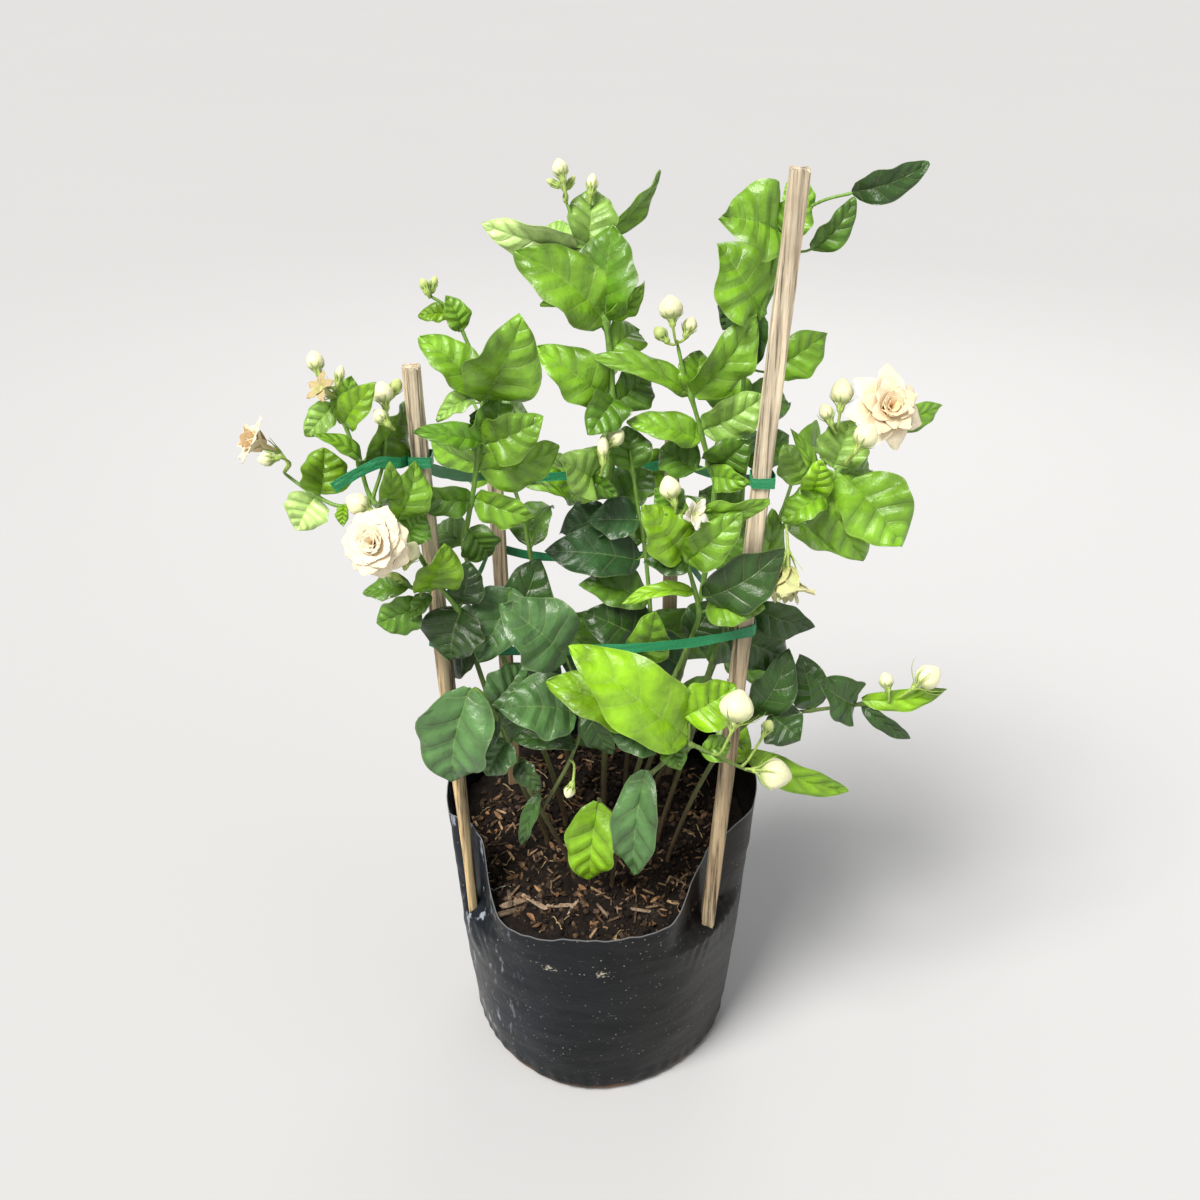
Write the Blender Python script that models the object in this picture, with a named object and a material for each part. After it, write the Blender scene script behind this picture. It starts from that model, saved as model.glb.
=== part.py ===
"""A young jasmine in a black grow bag, propped by four split stakes and two rounds of green raffia.

Lengths are millimetres, turned into metres when a mesh is made. The bag's bottom stands on z = 0, the bag's
axis is the Z axis and the front of the plant faces -Y.

The shoots, leaves, buds and flowers are placed where the photograph shows them. A place is written as the
photograph's pixel column and row, with the depth of the upright plane that it lies in, and sight() turns it
into a point. Widths, lengths and radii are real sizes.
"""

import math
import random
from typing import NamedTuple

import bmesh
import bpy
from mathutils import Matrix, Vector
from mathutils.bvhtree import BVHTree

METRES = 0.001
# The clearance between two pieces
GAP = 0.35
# A skin that encloses less than this, in cubic metres, is a hollow or a crumb
SMALLEST_BODY = 1e-11
# An edge shorter than this, in metres, is a crumb of a union
SHORTEST_EDGE = 5e-5
FLAT_ANGLE = math.radians(1.0)
SEED = 7

# The photograph's viewpoint: the eye, the angle that it looks down at, and its focal length in pixels
EYE = Vector((0.0, -672.0, 703.0))
LOOKS_DOWN = math.radians(28.8)
FOCAL = 1250.0
MIDDLE = 600.0

# Grow bag. Between the ledge's two heights the wall steps inward where a front stake comes out through it,
# and below it bulges round the stake's foot.
BAG_BOTTOM_RADIUS = 86.0
BAG_TOP_RADIUS = 103.0
BAG_TOP_HEIGHT = 195.0
FILM = 1.2
FOOT_CHAMFER = 3.0
FOOT_HEIGHT = 5.0
SLACK_LOW = 1.6
SLACK_HIGH = 1.3
COLUMN_STEP = 24
LEDGE_LOW = 122.0
LEDGE_HIGH = 133.0
LEDGE_STEP = 6.8
LEDGE_HALF_ANGLE = 12.0
LEDGE_FLAT_HALF_ANGLE = 5.5
BULGE_FOOT = 36.0
BULGE_FULL = 74.0
BAG_ROWS = (0.0, FOOT_HEIGHT, BULGE_FOOT, BULGE_FULL, LEDGE_LOW, LEDGE_HIGH)
# The rim's height at each angle about the bag, counted from +X towards the back
RIM_HEIGHTS = (
    (-180, 193), (-152, 189), (-145, 170), (-138, 152), (-126, 142), (-110, 145), (-90, 150), (-70, 152),
    (-57, 155), (-46, 164), (-36, 178), (-20, 192), (0, 198), (60, 190), (120, 186), (180, 193),
)

# Soil, with the shares of the way out from the axis at which its surface has rings of points
SOIL_CENTRE_HEIGHT = 152.0
SOIL_SLOPE = 0.17
SOIL_EDGE_LOWEST = 138.0
SOIL_RINGS = (0.76, 0.48, 0.22)
STEM_DEPTH = 24.0
STEM_HOLE_RADIUS = 2.8
SOIL_CLEAR = 0.5

# Stakes, with the height, width and depth of the uneven stick as shares along it, and the raffia ties, with
# their heights at the left front, right front, left back and right back stake
STAKE_SIDE = 9.8
STAKE_ROWS = ((0.0, 0.55, 0.5), (0.04, 1.0, 0.92), (0.35, 0.96, 1.0), (0.7, 1.03, 0.94), (1.0, 0.94, 0.88))
TAPE_WIDTH = 6.5
TAPE_THICKNESS = 0.9
TAPE_CLEAR = 0.5
LOWER_TIE_HEIGHTS = (334.0, 350.0, 342.0, 338.0)
LOWER_TIE_SAG = 8.0
UPPER_TIE_HEIGHTS = (446.0, 440.0, 392.0, 398.0)
UPPER_TIE_SAG = 4.0
LOOSE_TAIL = ((380, 462, -60), (355, 474, -66), (333, 488, -70))

# Leaves: a blade is ASPECT times as long as it looks wide, and FULLNESS makes up for its few facets
BLADE_THICKNESS = 0.75
FULLNESS = 1.16
PETIOLE_SIDE = 1.4
ASPECT = 1.55
LEAST_LEAN = 14.0
CLEAR = 0.8
LONG_LEAF = 29.0
BOW = 0.10
DROOP = 0.05
FOLD = 0.22
RIPPLE = 0.07

# Buds and flowers
PEDICEL_RADIUS = 0.85
CALYX_HEIGHT = 2.4
CALYX_RADIUS = 1.9
TUBE_RADIUS = 1.3
PETAL_START = 0.7
PETAL_SPREAD = 1.1


class Stake(NamedTuple):
    """A split stick from its foot in the soil to its top."""

    name: str
    foot: tuple
    top: tuple


class Stem(NamedTuple):
    """A stem through (column, row, depth) places, thinning from one radius to the other."""

    places: tuple
    thick: float
    thin: float


class Leaf(NamedTuple):
    """A blade from its base to its tip in the picture. toward is the way that it leans, -1 to the viewer."""

    base: tuple
    tip: tuple
    width: float
    toward: float = 0.0
    roll: float = 0.0


class Bud(NamedTuple):
    """A bud by its middle in the picture, its depth, the way that it points and its size."""

    name: str
    place: tuple
    aim: tuple
    length: float
    width: float


class Flower(NamedTuple):
    """A flower by its middle, the way that it faces (right, away, up), and its layers of petals."""

    name: str
    place: tuple
    face: tuple
    layers: tuple


class Layer(NamedTuple):
    """A ring of petals: how many, how long and wide, and the angle that they open from the axis."""

    count: int
    length: float
    width: float
    opening: float
    rise: float


class Shoot(NamedTuple):
    """Everything that one main stem carries. The first stem leaves the soil at hole."""

    name: str
    hole: tuple
    stems: tuple
    leaves: tuple
    buds: tuple = ()
    flowers: tuple = ()
    green_buds: tuple = ()


STAKES = (
    Stake("stake_front_left", (-84, -45, 82), (-98, -47, 497)),
    Stake("stake_front_right", (68, -58, 82), (94, -62, 598)),
    Stake("stake_back_left", (-58, 50, 66), (-66, 50, 404)),
    Stake("stake_back_right", (50, 56, 66), (45, 60, 418)),
)

DOUBLE = (Layer(7, 18, 12.5, 82, 6), Layer(5, 14, 10.5, 56, 7.4), Layer(3, 11, 8, 26, 8.8))
OPEN_WIDE = (Layer(7, 22, 15, 78, 6), Layer(5, 17, 12, 52, 7.4), Layer(3, 13, 9, 24, 8.8))
HALF_OPEN = (Layer(5, 17, 12, 50, 6), Layer(3, 14, 9, 20, 7.4))
FADED = (Layer(5, 22, 12, 36, 6), Layer(3, 18, 8, 14, 7.4))
SPENT = (Layer(5, 9, 5, 58, 5),)

SHOOTS = (
    Shoot(
        "shoot_tall",
        (2, 8),
        (
            Stem(((606, 700, 4), (608, 560, 0), (612, 470, -4), (612, 375, -8), (605, 322, -6),
                  (598, 300, -4), (581, 250, 0), (574, 222, 2), (566, 202, 4)), 2.1, 1.0),
            Stem(((581, 250, 0), (588, 222, 6), (590, 204, 8)), 1.0, 0.8),
            Stem(((610, 430, -6), (604, 446, -14), (598, 470, -20)), 1.2, 0.9),
        ),
        (
            Leaf((605, 322), (517, 250), 31, -0.5, 20),
            Leaf((606, 320), (612, 224), 31, 0.3, -20),
            Leaf((578, 250), (482, 226), 19, -0.4, -25),
            Leaf((578, 256), (545, 226), 18, 0.6, 15),
            Leaf((589, 250), (595, 187), 23, 0.5, 10),
            Leaf((600, 236), (664, 172), 12, 0.2, 50),
            Leaf((586, 296), (540, 304), 9, -0.3, 30),
            Leaf((608, 318), (644, 284), 11, -0.8, 30),
            Leaf((608, 398), (538, 346), 25, -0.5, 15),
            Leaf((616, 398), (590, 434), 21, -0.8, -10),
            Leaf((618, 402), (652, 374), 22, 0.6, 10),
            Leaf((596, 478), (562, 460), 24, -0.7, 15),
            Leaf((585, 474), (617, 496), 14, -0.8, 20),
            Leaf((612, 520), (560, 532), 24, -0.4, 25),
            Leaf((614, 505), (652, 470), 24, 0.7, -20),
            Leaf((612, 350), (640, 330), 20, 1.0, -10),
            Leaf((606, 690), (560, 652), 26, -0.4, 20),
            Leaf((607, 650), (650, 612), 24, 0.6, 10),
            Leaf((606, 706), (650, 700), 24, -0.6, 20),
            Leaf((612, 452), (570, 500), 24, 0.6, 20),
        ),
        buds=(
            Bud("bud_top", (560, 168, 6), (-0.25, 1.0), 11, 7.6),
            Bud("bud_top_back", (592, 182, 10), (0.1, 1.0), 10, 5.4),
            Bud("bud_centre", (616, 438, -22), (0.8, 0.7), 12, 8.6),
            Bud("bud_centre_long", (603, 447, -30), (0.0, 1.0), 15, 6.0),
        ),
        green_buds=(
            Bud("green", (551, 182, 4), (-1.0, 0.5), 6, 3.2),
            Bud("green", (572, 180, 12), (0.5, 0.8), 6, 3.0),
        ),
    ),
    Shoot(
        "shoot_left",
        (-24, 8),
        (
            Stem(((540, 740, -18), (500, 650, -36), (464, 548, -42), (468, 520, -43), (475, 480, -45),
                  (479, 440, -45), (483, 404, -42), (478, 370, -36), (462, 330, -30)), 1.9, 1.0),
            Stem(((462, 330, -30), (444, 305, -26), (430, 296, -24)), 1.0, 0.8),
        ),
        (
            Leaf((450, 314), (418, 316), 9, 0.0, 20),
            Leaf((462, 330), (446, 296), 12, 0.6, 10),
            Leaf((478, 392), (420, 336), 20, 0.4, 20),
            Leaf((485, 400), (523, 320), 35, -0.4, 25),
            Leaf((475, 396), (436, 420), 11, -0.6, 30),
            Leaf((480, 440), (415, 430), 13, -0.5, 20),
            Leaf((484, 445), (542, 420), 24, -0.6, 15),
            Leaf((476, 452), (505, 392), 22, 0.7, 20),
            Leaf((472, 500), (405, 496), 16, -0.5, -20),
            Leaf((475, 498), (534, 518), 18, -0.6, 25),
            Leaf((480, 470), (560, 448), 23, 0.6, 30),
            Leaf((464, 545), (430, 530), 22, 0.5, 20),
            Leaf((468, 530), (492, 556), 20, 0.3, 10),
            Leaf((500, 640), (540, 560), 30, 0.6, 20),
            Leaf((512, 588), (478, 660), 28, -0.4, 30),
            Leaf((470, 420), (510, 436), 20, 1.0, 0),
            Leaf((518, 700), (560, 664), 26, 0.6, 20),
            Leaf((530, 716), (486, 740), 24, 0.5, 20),
            Leaf((490, 630), (450, 640), 26, 0.6, 10),
        ),
        green_buds=(
            Bud("green", (424, 284, -24), (-0.4, 1.0), 7, 4.4),
            Bud("green", (434, 282, -20), (0.3, 1.0), 7, 4.0),
        ),
    ),
    Shoot(
        "shoot_far_left",
        (-36, -10),
        (
            Stem(((520, 780, -34), (486, 690, -36), (472, 648, -40), (464, 618, -59), (432, 576, -66),
                  (400, 525, -68), (372, 500, -62),
                  (360, 465, -58), (347, 430, -55), (336, 402, -50), (334, 388, -48)), 1.9, 0.9),
            Stem(((372, 500, -62), (340, 506, -56), (318, 497, -50), (300, 485, -44),
                  (284, 473, -40)), 1.2, 0.9),
            Stem(((372, 500, -62), (384, 460, -56), (386, 420, -52)), 1.1, 0.8),
            Stem(((442, 590, -66), (420, 590, -70), (400, 582, -70)), 1.2, 0.9),
        ),
        (
            Leaf((343, 425), (373, 384), 15, -0.3, -20),
            Leaf((340, 420), (352, 376), 14, 0.8, 10),
            Leaf((333, 404), (305, 436), 13, -0.6, 10),
            Leaf((362, 460), (316, 434), 9, -0.2, 30),
            Leaf((364, 462), (410, 404), 28, 0.4, 10),
            Leaf((320, 494), (325, 448), 25, 0.3, 20),
            Leaf((315, 496), (297, 530), 21, -0.6, 0),
            Leaf((345, 505), (343, 526), 7, -0.5, 30),
            Leaf((396, 520), (416, 462), 20, 0.6, 25),
            Leaf((382, 506), (392, 466), 13, -0.3, 30),
            Leaf((410, 586), (362, 592), 14, 0.2, 30),
            Leaf((425, 590), (446, 546), 24, -0.3, 35),
            Leaf((430, 594), (410, 620), 9, -0.8, 20),
            Leaf((420, 606), (377, 624), 20, -0.4, -20),
            Leaf((462, 604), (470, 562), 18, 0.2, 10),
            Leaf((462, 608), (450, 660), 31, -0.3, 15),
            Leaf((478, 640), (430, 668), 26, 0.5, 15),
            Leaf((404, 540), (424, 514), 18, 1.0, 0),
        ),
        buds=(
            Bud("bud_left_pair_a", (315, 361, -48), (-0.3, 1.0), 12, 8.6),
            Bud("bud_left_pair_b", (340, 373, -52), (0.2, 1.0), 9, 4.6),
            Bud("bud_left_large", (383, 393, -54), (-0.2, 1.0), 13, 10.0),
            Bud("bud_left_small", (380, 416, -66), (-0.5, 0.5), 9, 7.0),
            Bud("bud_left_side", (266, 459, -50), (-1.0, -0.1), 10, 7.2),
            Bud("bud_left_round", (358, 504, -80), (-0.5, 0.3), 15, 11.0),
            Bud("bud_left_low", (411, 552, -78), (0.4, 1.0), 13, 9.6),
        ),
        flowers=(
            Flower("flower_left", (373, 543, -100), (-0.15, -0.86, 0.48), DOUBLE),
            Flower("flower_far_left", (258, 443, -34), (-0.82, -0.2, 0.5), HALF_OPEN),
            Flower("flower_dried", (320, 388, -60), (-0.5, -0.5, 0.6), SPENT),
        ),
        green_buds=(
            Bud("green", (396, 386, -46), (0.5, 1.0), 9, 6.4),
            Bud("green", (390, 575, -74), (-1.0, 0.3), 6, 3.2),
        ),
    ),
    Shoot(
        "shoot_low_left",
        (-18, -38),
        (
            Stem(((530, 790, -66), (500, 724, -76), (482, 694, -78), (474, 688, -78)), 1.7, 1.2),
            Stem(((548, 806, -62), (570, 760, -66), (582, 720, -70), (576, 680, -72)), 1.3, 0.9),
        ),
        (
            Leaf((470, 688), (452, 784), 38, -0.1, 10),
            Leaf((566, 656), (504, 604), 35, -0.3, 10),
            Leaf((574, 712), (502, 708), 33, -0.5, 10),
            Leaf((576, 745), (510, 738), 14, -0.3, 30),
            Leaf((508, 740), (488, 776), 20, -0.6, 10),
            Leaf((518, 760), (540, 790), 12, -0.7, 20),
            Leaf((540, 792), (520, 846), 9, -0.2, 25),
            Leaf((586, 706), (612, 756), 16, -0.4, 20),
            Leaf((500, 716), (462, 736), 22, 0.7, -10),
            Leaf((490, 706), (524, 664), 24, 0.5, 15),
        ),
        buds=(Bud("bud_soil", (569, 792, -84), (-0.3, -0.8), 8, 6.2),),
    ),
    Shoot(
        "shoot_middle",
        (12, -16),
        (
            Stem(((640, 760, -26), (668, 690, -44), (684, 655, -47), (692, 636, -53), (699, 612, -76),
                  (692, 580, -82), (686, 560, -84), (680, 530, -84), (672, 508, -82)), 1.8, 1.0),
            Stem(((652, 730, -30), (652, 640, -26), (645, 550, -20), (637, 500, -16),
                  (630, 450, -14)), 1.5, 0.9),
        ),
        (
            Leaf((682, 556), (645, 506), 24, -0.5, 15),
            Leaf((680, 512), (655, 488), 15, 0.4, 20),
            Leaf((688, 512), (770, 504), 15, -0.2, 40),
            Leaf((686, 562), (742, 514), 20, -0.6, 15),
            Leaf((688, 562), (645, 562), 16, -0.6, 20),
            Leaf((705, 598), (784, 550), 26, -0.3, 20),
            Leaf((694, 592), (622, 602), 9, -0.4, 35),
            Leaf((706, 610), (764, 606), 22, -0.5, -15),
            Leaf((690, 640), (716, 600), 22, 0.5, 15),
            Leaf((648, 600), (580, 584), 22, -0.4, 20),
            Leaf((640, 560), (545, 550), 26, -0.2, 15),
            Leaf((646, 640), (586, 612), 30, -0.4, 10),
            Leaf((640, 655), (655, 614), 23, -0.9, 10),
            Leaf((630, 470), (626, 426), 21, 0.5, 10),
            Leaf((640, 520), (588, 520), 22, 0.6, 20),
            Leaf((660, 700), (606, 690), 26, 0.4, 15),
            Leaf((640, 540), (676, 520), 22, 1.0, -20),
        ),
        buds=(Bud("bud_middle", (670, 488, -86), (-0.3, 1.0), 14, 10.4),),
        flowers=(Flower("flower_spent", (695, 514, -98), (0.5, -0.7, 0.4), SPENT),),
    ),
    Shoot(
        "shoot_centre_right",
        (22, 10),
        (
            Stem(((672, 700, 0), (700, 600, -6), (715, 484, -12), (710, 465, -12), (703, 440, -12),
                  (698, 420, -12), (690, 393, -12), (682, 365, -11), (677, 342, -10)), 1.9, 1.0),
            Stem(((710, 466, -12), (716, 446, -4), (722, 424, 2)), 1.1, 0.9),
        ),
        (
            Leaf((690, 393), (590, 354), 14, -0.1, 30),
            Leaf((692, 394), (700, 350), 20, 0.7, 10),
            Leaf((694, 396), (758, 316), 24, 0.2, 30),
            Leaf((700, 440), (628, 420), 17, -0.3, 25),
            Leaf((703, 430), (766, 396), 22, -0.4, 20),
            Leaf((712, 466), (748, 440), 22, 0.4, 20),
            Leaf((712, 476), (748, 482), 14, -0.4, 10),
            Leaf((706, 560), (748, 530), 24, 0.5, 20),
            Leaf((696, 470), (660, 448), 22, 0.6, 20),
            Leaf((724, 430), (762, 450), 16, 0.6, 0),
            Leaf((700, 620), (745, 656), 24, 0.6, 10),
            Leaf((682, 666), (636, 640), 26, 0.5, 15),
            Leaf((676, 690), (720, 700), 24, 0.4, 10),
            Leaf((706, 540), (664, 500), 26, 0.7, 15),
        ),
        buds=(
            Bud("bud_right_large", (671, 308, -10), (-0.1, 1.0), 15, 12.4),
            Bud("bud_right_small", (690, 325, -8), (0.4, 1.0), 10, 7.6),
        ),
        green_buds=(Bud("green", (660, 333, -10), (-0.7, 0.8), 9, 6.6),),
    ),
    Shoot(
        "shoot_right_tall",
        (34, 24),
        (
            Stem(((690, 720, 26), (730, 600, 22), (742, 500, 12), (744, 375, 4), (752, 345, 2),
                  (762, 312, 2), (775, 262, -4), (782, 232, -8)), 1.9, 1.0),
            Stem(((764, 308, 2), (786, 262, 4), (803, 214, 0), (822, 201, -4), (852, 193, -8)), 1.1, 0.8),
        ),
        (
            Leaf((781, 232), (724, 215), 35, -0.4, 28),
            Leaf((760, 312), (720, 245), 38, -0.4, 25),
            Leaf((748, 292), (722, 330), 14, -0.4, 15),
            Leaf((762, 316), (744, 376), 16, -0.4, 15),
            Leaf((772, 372), (828, 334), 22, 0.3, 20),
            Leaf((852, 192), (930, 164), 15, -0.2, 20),
            Leaf((812, 250), (856, 199), 14, -0.3, 26),
            Leaf((806, 214), (790, 178), 14, 0.6, 10),
            Leaf((784, 234), (806, 196), 18, 0.8, 10),
            Leaf((744, 400), (790, 402), 22, 0.7, -15),
            Leaf((742, 460), (790, 436), 22, 0.8, 10),
            Leaf((738, 520), (700, 490), 24, 0.8, 15),
            Leaf((744, 410), (700, 372), 24, 0.8, 15),
        ),
    ),
    Shoot(
        "shoot_right",
        (40, -6),
        (
            Stem(((690, 740, -18), (726, 622, -42), (785, 524, -46), (800, 510, -46), (820, 492, -46),
                  (835, 475, -46), (850, 455, -44)), 1.8, 1.0),
            Stem(((820, 492, -46), (828, 450, -40), (836, 430, -38)), 1.0, 0.8),
        ),
        (
            Leaf((880, 428), (944, 406), 12, 0.6, 20),
            Leaf((833, 468), (850, 420), 24, 0.5, 10),
            Leaf((815, 492), (793, 430), 8, -0.3, 30),
            Leaf((803, 482), (784, 445), 19, 0.4, 10),
            Leaf((812, 492), (822, 462), 16, -0.6, 20),
            Leaf((824, 470), (864, 562), 27, -0.3, 15),
            Leaf((850, 482), (902, 546), 35, -0.3, -10),
            Leaf((825, 494), (781, 520), 17, -0.6, 20),
            Leaf((752, 590), (776, 512), 20, -0.3, 35),
            Leaf((752, 606), (815, 628), 19, -0.3, 20),
            Leaf((730, 636), (790, 660), 24, 0.4, 10),
            Leaf((838, 476), (872, 470), 20, 0.9, 0),
        ),
        buds=(
            Bud("bud_right_high", (842, 392, -40), (0.1, 1.0), 16, 11.6),
            Bud("bud_right_mid", (826, 412, -44), (-0.4, 1.0), 10, 7.4),
            Bud("bud_right_cream", (866, 436, -84), (0.6, 0.9), 15, 12.0),
        ),
        flowers=(
            Flower("flower_right", (888, 408, -48), (0.25, -0.83, 0.5), OPEN_WIDE),
            Flower("flower_faded", (788, 574, -78), (0.0, -0.5, -0.86), FADED),
        ),
    ),
    Shoot(
        "shoot_right_low",
        (46, -26),
        (
            Stem(((714, 760, -40), (757, 716, -46), (790, 713, -46), (830, 708, -44), (875, 702, -42),
                  (898, 697, -40)), 1.7, 0.9),
        ),
        (
            Leaf((812, 708), (800, 656), 21, 0.4, 10),
            Leaf((855, 705), (822, 684), 24, -0.7, 10),
            Leaf((862, 706), (911, 740), 9, -0.3, 15),
            Leaf((862, 700), (948, 690), 12, 0.1, 15),
            Leaf((780, 710), (752, 690), 24, 0.6, 10),
            Leaf((770, 714), (800, 740), 24, -0.5, 10),
            Leaf((745, 752), (850, 792), 16, -0.2, 10),
            Leaf((756, 712), (790, 652), 22, 0.5, 15),
            Leaf((720, 760), (744, 722), 20, 0.6, 10),
        ),
        buds=(
            Bud("bud_low_right", (928, 677, -46), (0.8, 0.6), 18, 14.0),
            Bud("bud_low_right_small", (886, 680, -46), (-0.2, 1.0), 10, 8.0),
        ),
    ),
    Shoot(
        "shoot_front",
        (8, -46),
        (
            Stem(((628, 800, -68), (662, 764, -84), (688, 745, -92), (712, 754, -94), (738, 766, -94),
                  (754, 772, -94)), 1.6, 1.0),
            Stem(((614, 826, -60), (604, 806, -62), (598, 798, -64)), 1.2, 1.0),
        ),
        (
            Leaf((688, 738), (573, 646), 36, -0.2, 10),
            Leaf((652, 716), (548, 680), 28, -0.1, 15),
            Leaf((684, 716), (736, 686), 25, 0.3, 10),
            Leaf((672, 742), (680, 770), 13, -0.7, 10),
            Leaf((645, 770), (632, 878), 24, -0.2, 10),
            Leaf((598, 802), (588, 882), 28, -0.2, 10),
            Leaf((660, 738), (610, 732), 22, -0.5, 10),
            Leaf((702, 752), (730, 742), 14, 0.6, 10),
            Leaf((690, 722), (716, 690), 22, 0.8, 10),
        ),
        buds=(
            Bud("bud_front", (737, 707, -106), (0.2, 0.9), 21, 18.0),
            Bud("bud_front_low", (775, 774, -98), (1.0, -0.2), 21, 17.0),
        ),
        green_buds=(Bud("green", (768, 726, -92), (0.5, 1.0), 8, 6.4),),
    ),
)

# The hidden back of the plant: each stem's hole, its places, which pass between the two tapes and then lean
# out, and how many pairs of leaves it has
BACK_SHOOTS = (
    ("shoot_back_left", (-20, 34), ((-34, 46, 270), (-44, 48, 335), (-50, 52, 370), (-66, 84, 400),
                                    (-84, 114, 420)), 5),
    ("shoot_back_right", (18, 38), ((22, 50, 270), (18, 50, 335), (14, 52, 368), (6, 88, 396),
                                    (-4, 126, 414)), 5),
    ("shoot_back_side", (48, 20), ((74, 34, 260), (104, 50, 330), (122, 72, 372), (132, 92, 398)), 5),
)

# Each try moves a leaf's tip in depth, turns it about its midrib and shortens it, until it is clear
TRIES = tuple(
    (shift, turn, scale)
    for scale in (1.0, 0.88, 0.76, 0.62)
    for turn in (0, 20, -20, 40, -40)
    for shift in (0, -9, 9, -18, 18, -28, 28)
)


def sight(place):
    """The point where the sight line of a pixel meets the upright plane at a depth."""
    column, row, depth = place
    ahead = FOCAL * math.cos(LOOKS_DOWN) - (row - MIDDLE) * math.sin(LOOKS_DOWN)
    rise = -FOCAL * math.sin(LOOKS_DOWN) - (row - MIDDLE) * math.cos(LOOKS_DOWN)
    reach = (depth - EYE.y) / ahead
    return EYE + Vector((column - MIDDLE, ahead, rise)) * reach


def pixel(point):
    """The pixel column and row that a point is seen at."""
    ahead = (point.y - EYE.y) * math.cos(LOOKS_DOWN) - (point.z - EYE.z) * math.sin(LOOKS_DOWN)
    rise = (point.y - EYE.y) * math.sin(LOOKS_DOWN) + (point.z - EYE.z) * math.cos(LOOKS_DOWN)
    return Vector((MIDDLE + FOCAL * point.x / ahead, MIDDLE - FOCAL * rise / ahead))


def between(value, table):
    """A table's value at an angle or height, on straight lines between its rows."""
    for (low, first), (high, second) in zip(table, table[1:]):
        if value <= high:
            return first + (second - first) * (value - low) / (high - low)
    return table[-1][1]


class Solid:
    """A closed mesh in the making: points in millimetres and triangles."""

    def __init__(self):
        self.points = []
        self.faces = []

    def quad(self, a, b, c, d):
        self.faces += [(a, b, c), (a, c, d)]

    def ring(self, points):
        first = len(self.points)
        self.points += points
        return list(range(first, first + len(points)))

    def loft(self, rings):
        """Joins rings of as many points each, and closes both ends."""
        count = len(rings[0])
        numbered = [self.ring(points) for points in rings]
        for low, high in zip(numbered, numbered[1:]):
            for i in range(count):
                j = (i + 1) % count
                self.quad(low[i], low[j], high[j], high[i])
        for i in range(1, count - 1):
            self.faces.append((numbered[0][0], numbered[0][i + 1], numbered[0][i]))
            self.faces.append((numbered[-1][0], numbered[-1][i], numbered[-1][i + 1]))
        return self

    def leaf(self, rings):
        """Joins a leaf's rings: four corners at the petiole and at the tip, and six points, with two of the
        midrib, between them. The underside is split along the same lines as the face, so the two never cross."""
        numbered = [self.ring(points) for points in rings]
        for first, second in zip(numbered, numbered[1:]):
            few, many = (first, second) if len(first) < len(second) else (second, first)
            if len(few) == len(many):
                for i in range(len(few)):
                    j = (i + 1) % len(few)
                    if i < len(few) / 2:
                        self.quad(first[i], first[j], second[j], second[i])
                    else:
                        self.quad(first[j], second[j], second[i], first[i])
                continue
            self.quad(few[0], few[3], many[5], many[0])
            self.quad(few[1], few[2], many[3], many[2])
            for one, two, left, mid, right in ((0, 1, 0, 1, 2), (3, 2, 5, 4, 3)):
                self.faces.append((few[one], few[two], many[mid]))
                self.faces.append((few[one], many[mid], many[left]))
                self.faces.append((few[two], many[mid], many[right]))
        self.quad(*numbered[0])
        self.quad(*numbered[-1])
        return self

    def tree(self):
        return BVHTree.FromPolygons(self.points, self.faces)

    def make(self, name):
        """An object of this solid, its faces pointing out."""
        mesh = bpy.data.meshes.new(name)
        mesh.from_pydata([point * METRES for point in self.points], [], self.faces)
        shape = bmesh.new()
        shape.from_mesh(mesh)
        bmesh.ops.recalc_face_normals(shape, faces=shape.faces)
        shape.to_mesh(mesh)
        shape.free()
        made = bpy.data.objects.new(name, mesh)
        bpy.context.scene.collection.objects.link(made)
        return made


def across(direction):
    """Two directions square to this one and to each other."""
    helper = Vector((0, 0, 1)) if abs(direction.z) < 0.9 else Vector((1, 0, 0))
    first = direction.cross(helper).normalized()
    return first, direction.cross(first).normalized()


def circle(centre, first, second, radius, sides):
    """The points of a circle in the plane of two directions."""
    turns = [math.tau * i / sides for i in range(sides)]
    return [centre + (first * math.cos(a) + second * math.sin(a)) * radius for a in turns]


def tube(stations, sides=5):
    """A round bar through stations of a point, the bar's direction there and its radius. Each ring of points
    is turned no more than the bar bends, so that no stretch between two rings is wrung."""
    first = across(stations[0][1])[0]
    rings = []
    for point, direction, radius in stations:
        first = (first - direction * first.dot(direction)).normalized()
        rings.append(circle(point, first, direction.cross(first), radius, sides))
    return Solid().loft(rings)


def bar(path, thick, thin, sides=5):
    """A round bar along a path, its radius going from thick to thin."""
    stations = []
    for i, point in enumerate(path):
        along = path[min(i + 1, len(path) - 1)] - path[max(i - 1, 0)]
        stations.append((point, along.normalized(), thick + (thin - thick) * i / (len(path) - 1)))
    return tube(stations, sides)


def nearest(paths, wanted):
    """The point of the stems that is seen nearest to a pixel, or lies nearest to a point."""
    best = None
    for path in paths:
        for start, end in zip(path, path[1:]):
            for step in range(5):
                point = start.lerp(end, step / 4)
                away = ((pixel(point) if len(wanted) == 2 else point) - wanted).length
                if best is None or away < best[0]:
                    best = (away, point)
    return best[1]


def blade_frame(base, tip, roll):
    """The way along a blade, across it, and out of the face that the viewer sees."""
    along = (tip - base).normalized()
    look = (EYE - (base + tip) / 2).normalized()
    side = along.cross(look).normalized()
    turn = Matrix.Rotation(math.radians(roll), 3, along)
    side = turn @ side
    return along, side, side.cross(along)


def squared(direction, side):
    """Two directions square to a stretch of the leaf's middle line, the first one nearest to side."""
    flat = side - direction * side.dot(direction)
    if flat.length < 0.3:
        flat = across(direction)[0]
    flat.normalize()
    return flat, flat.cross(direction)


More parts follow.
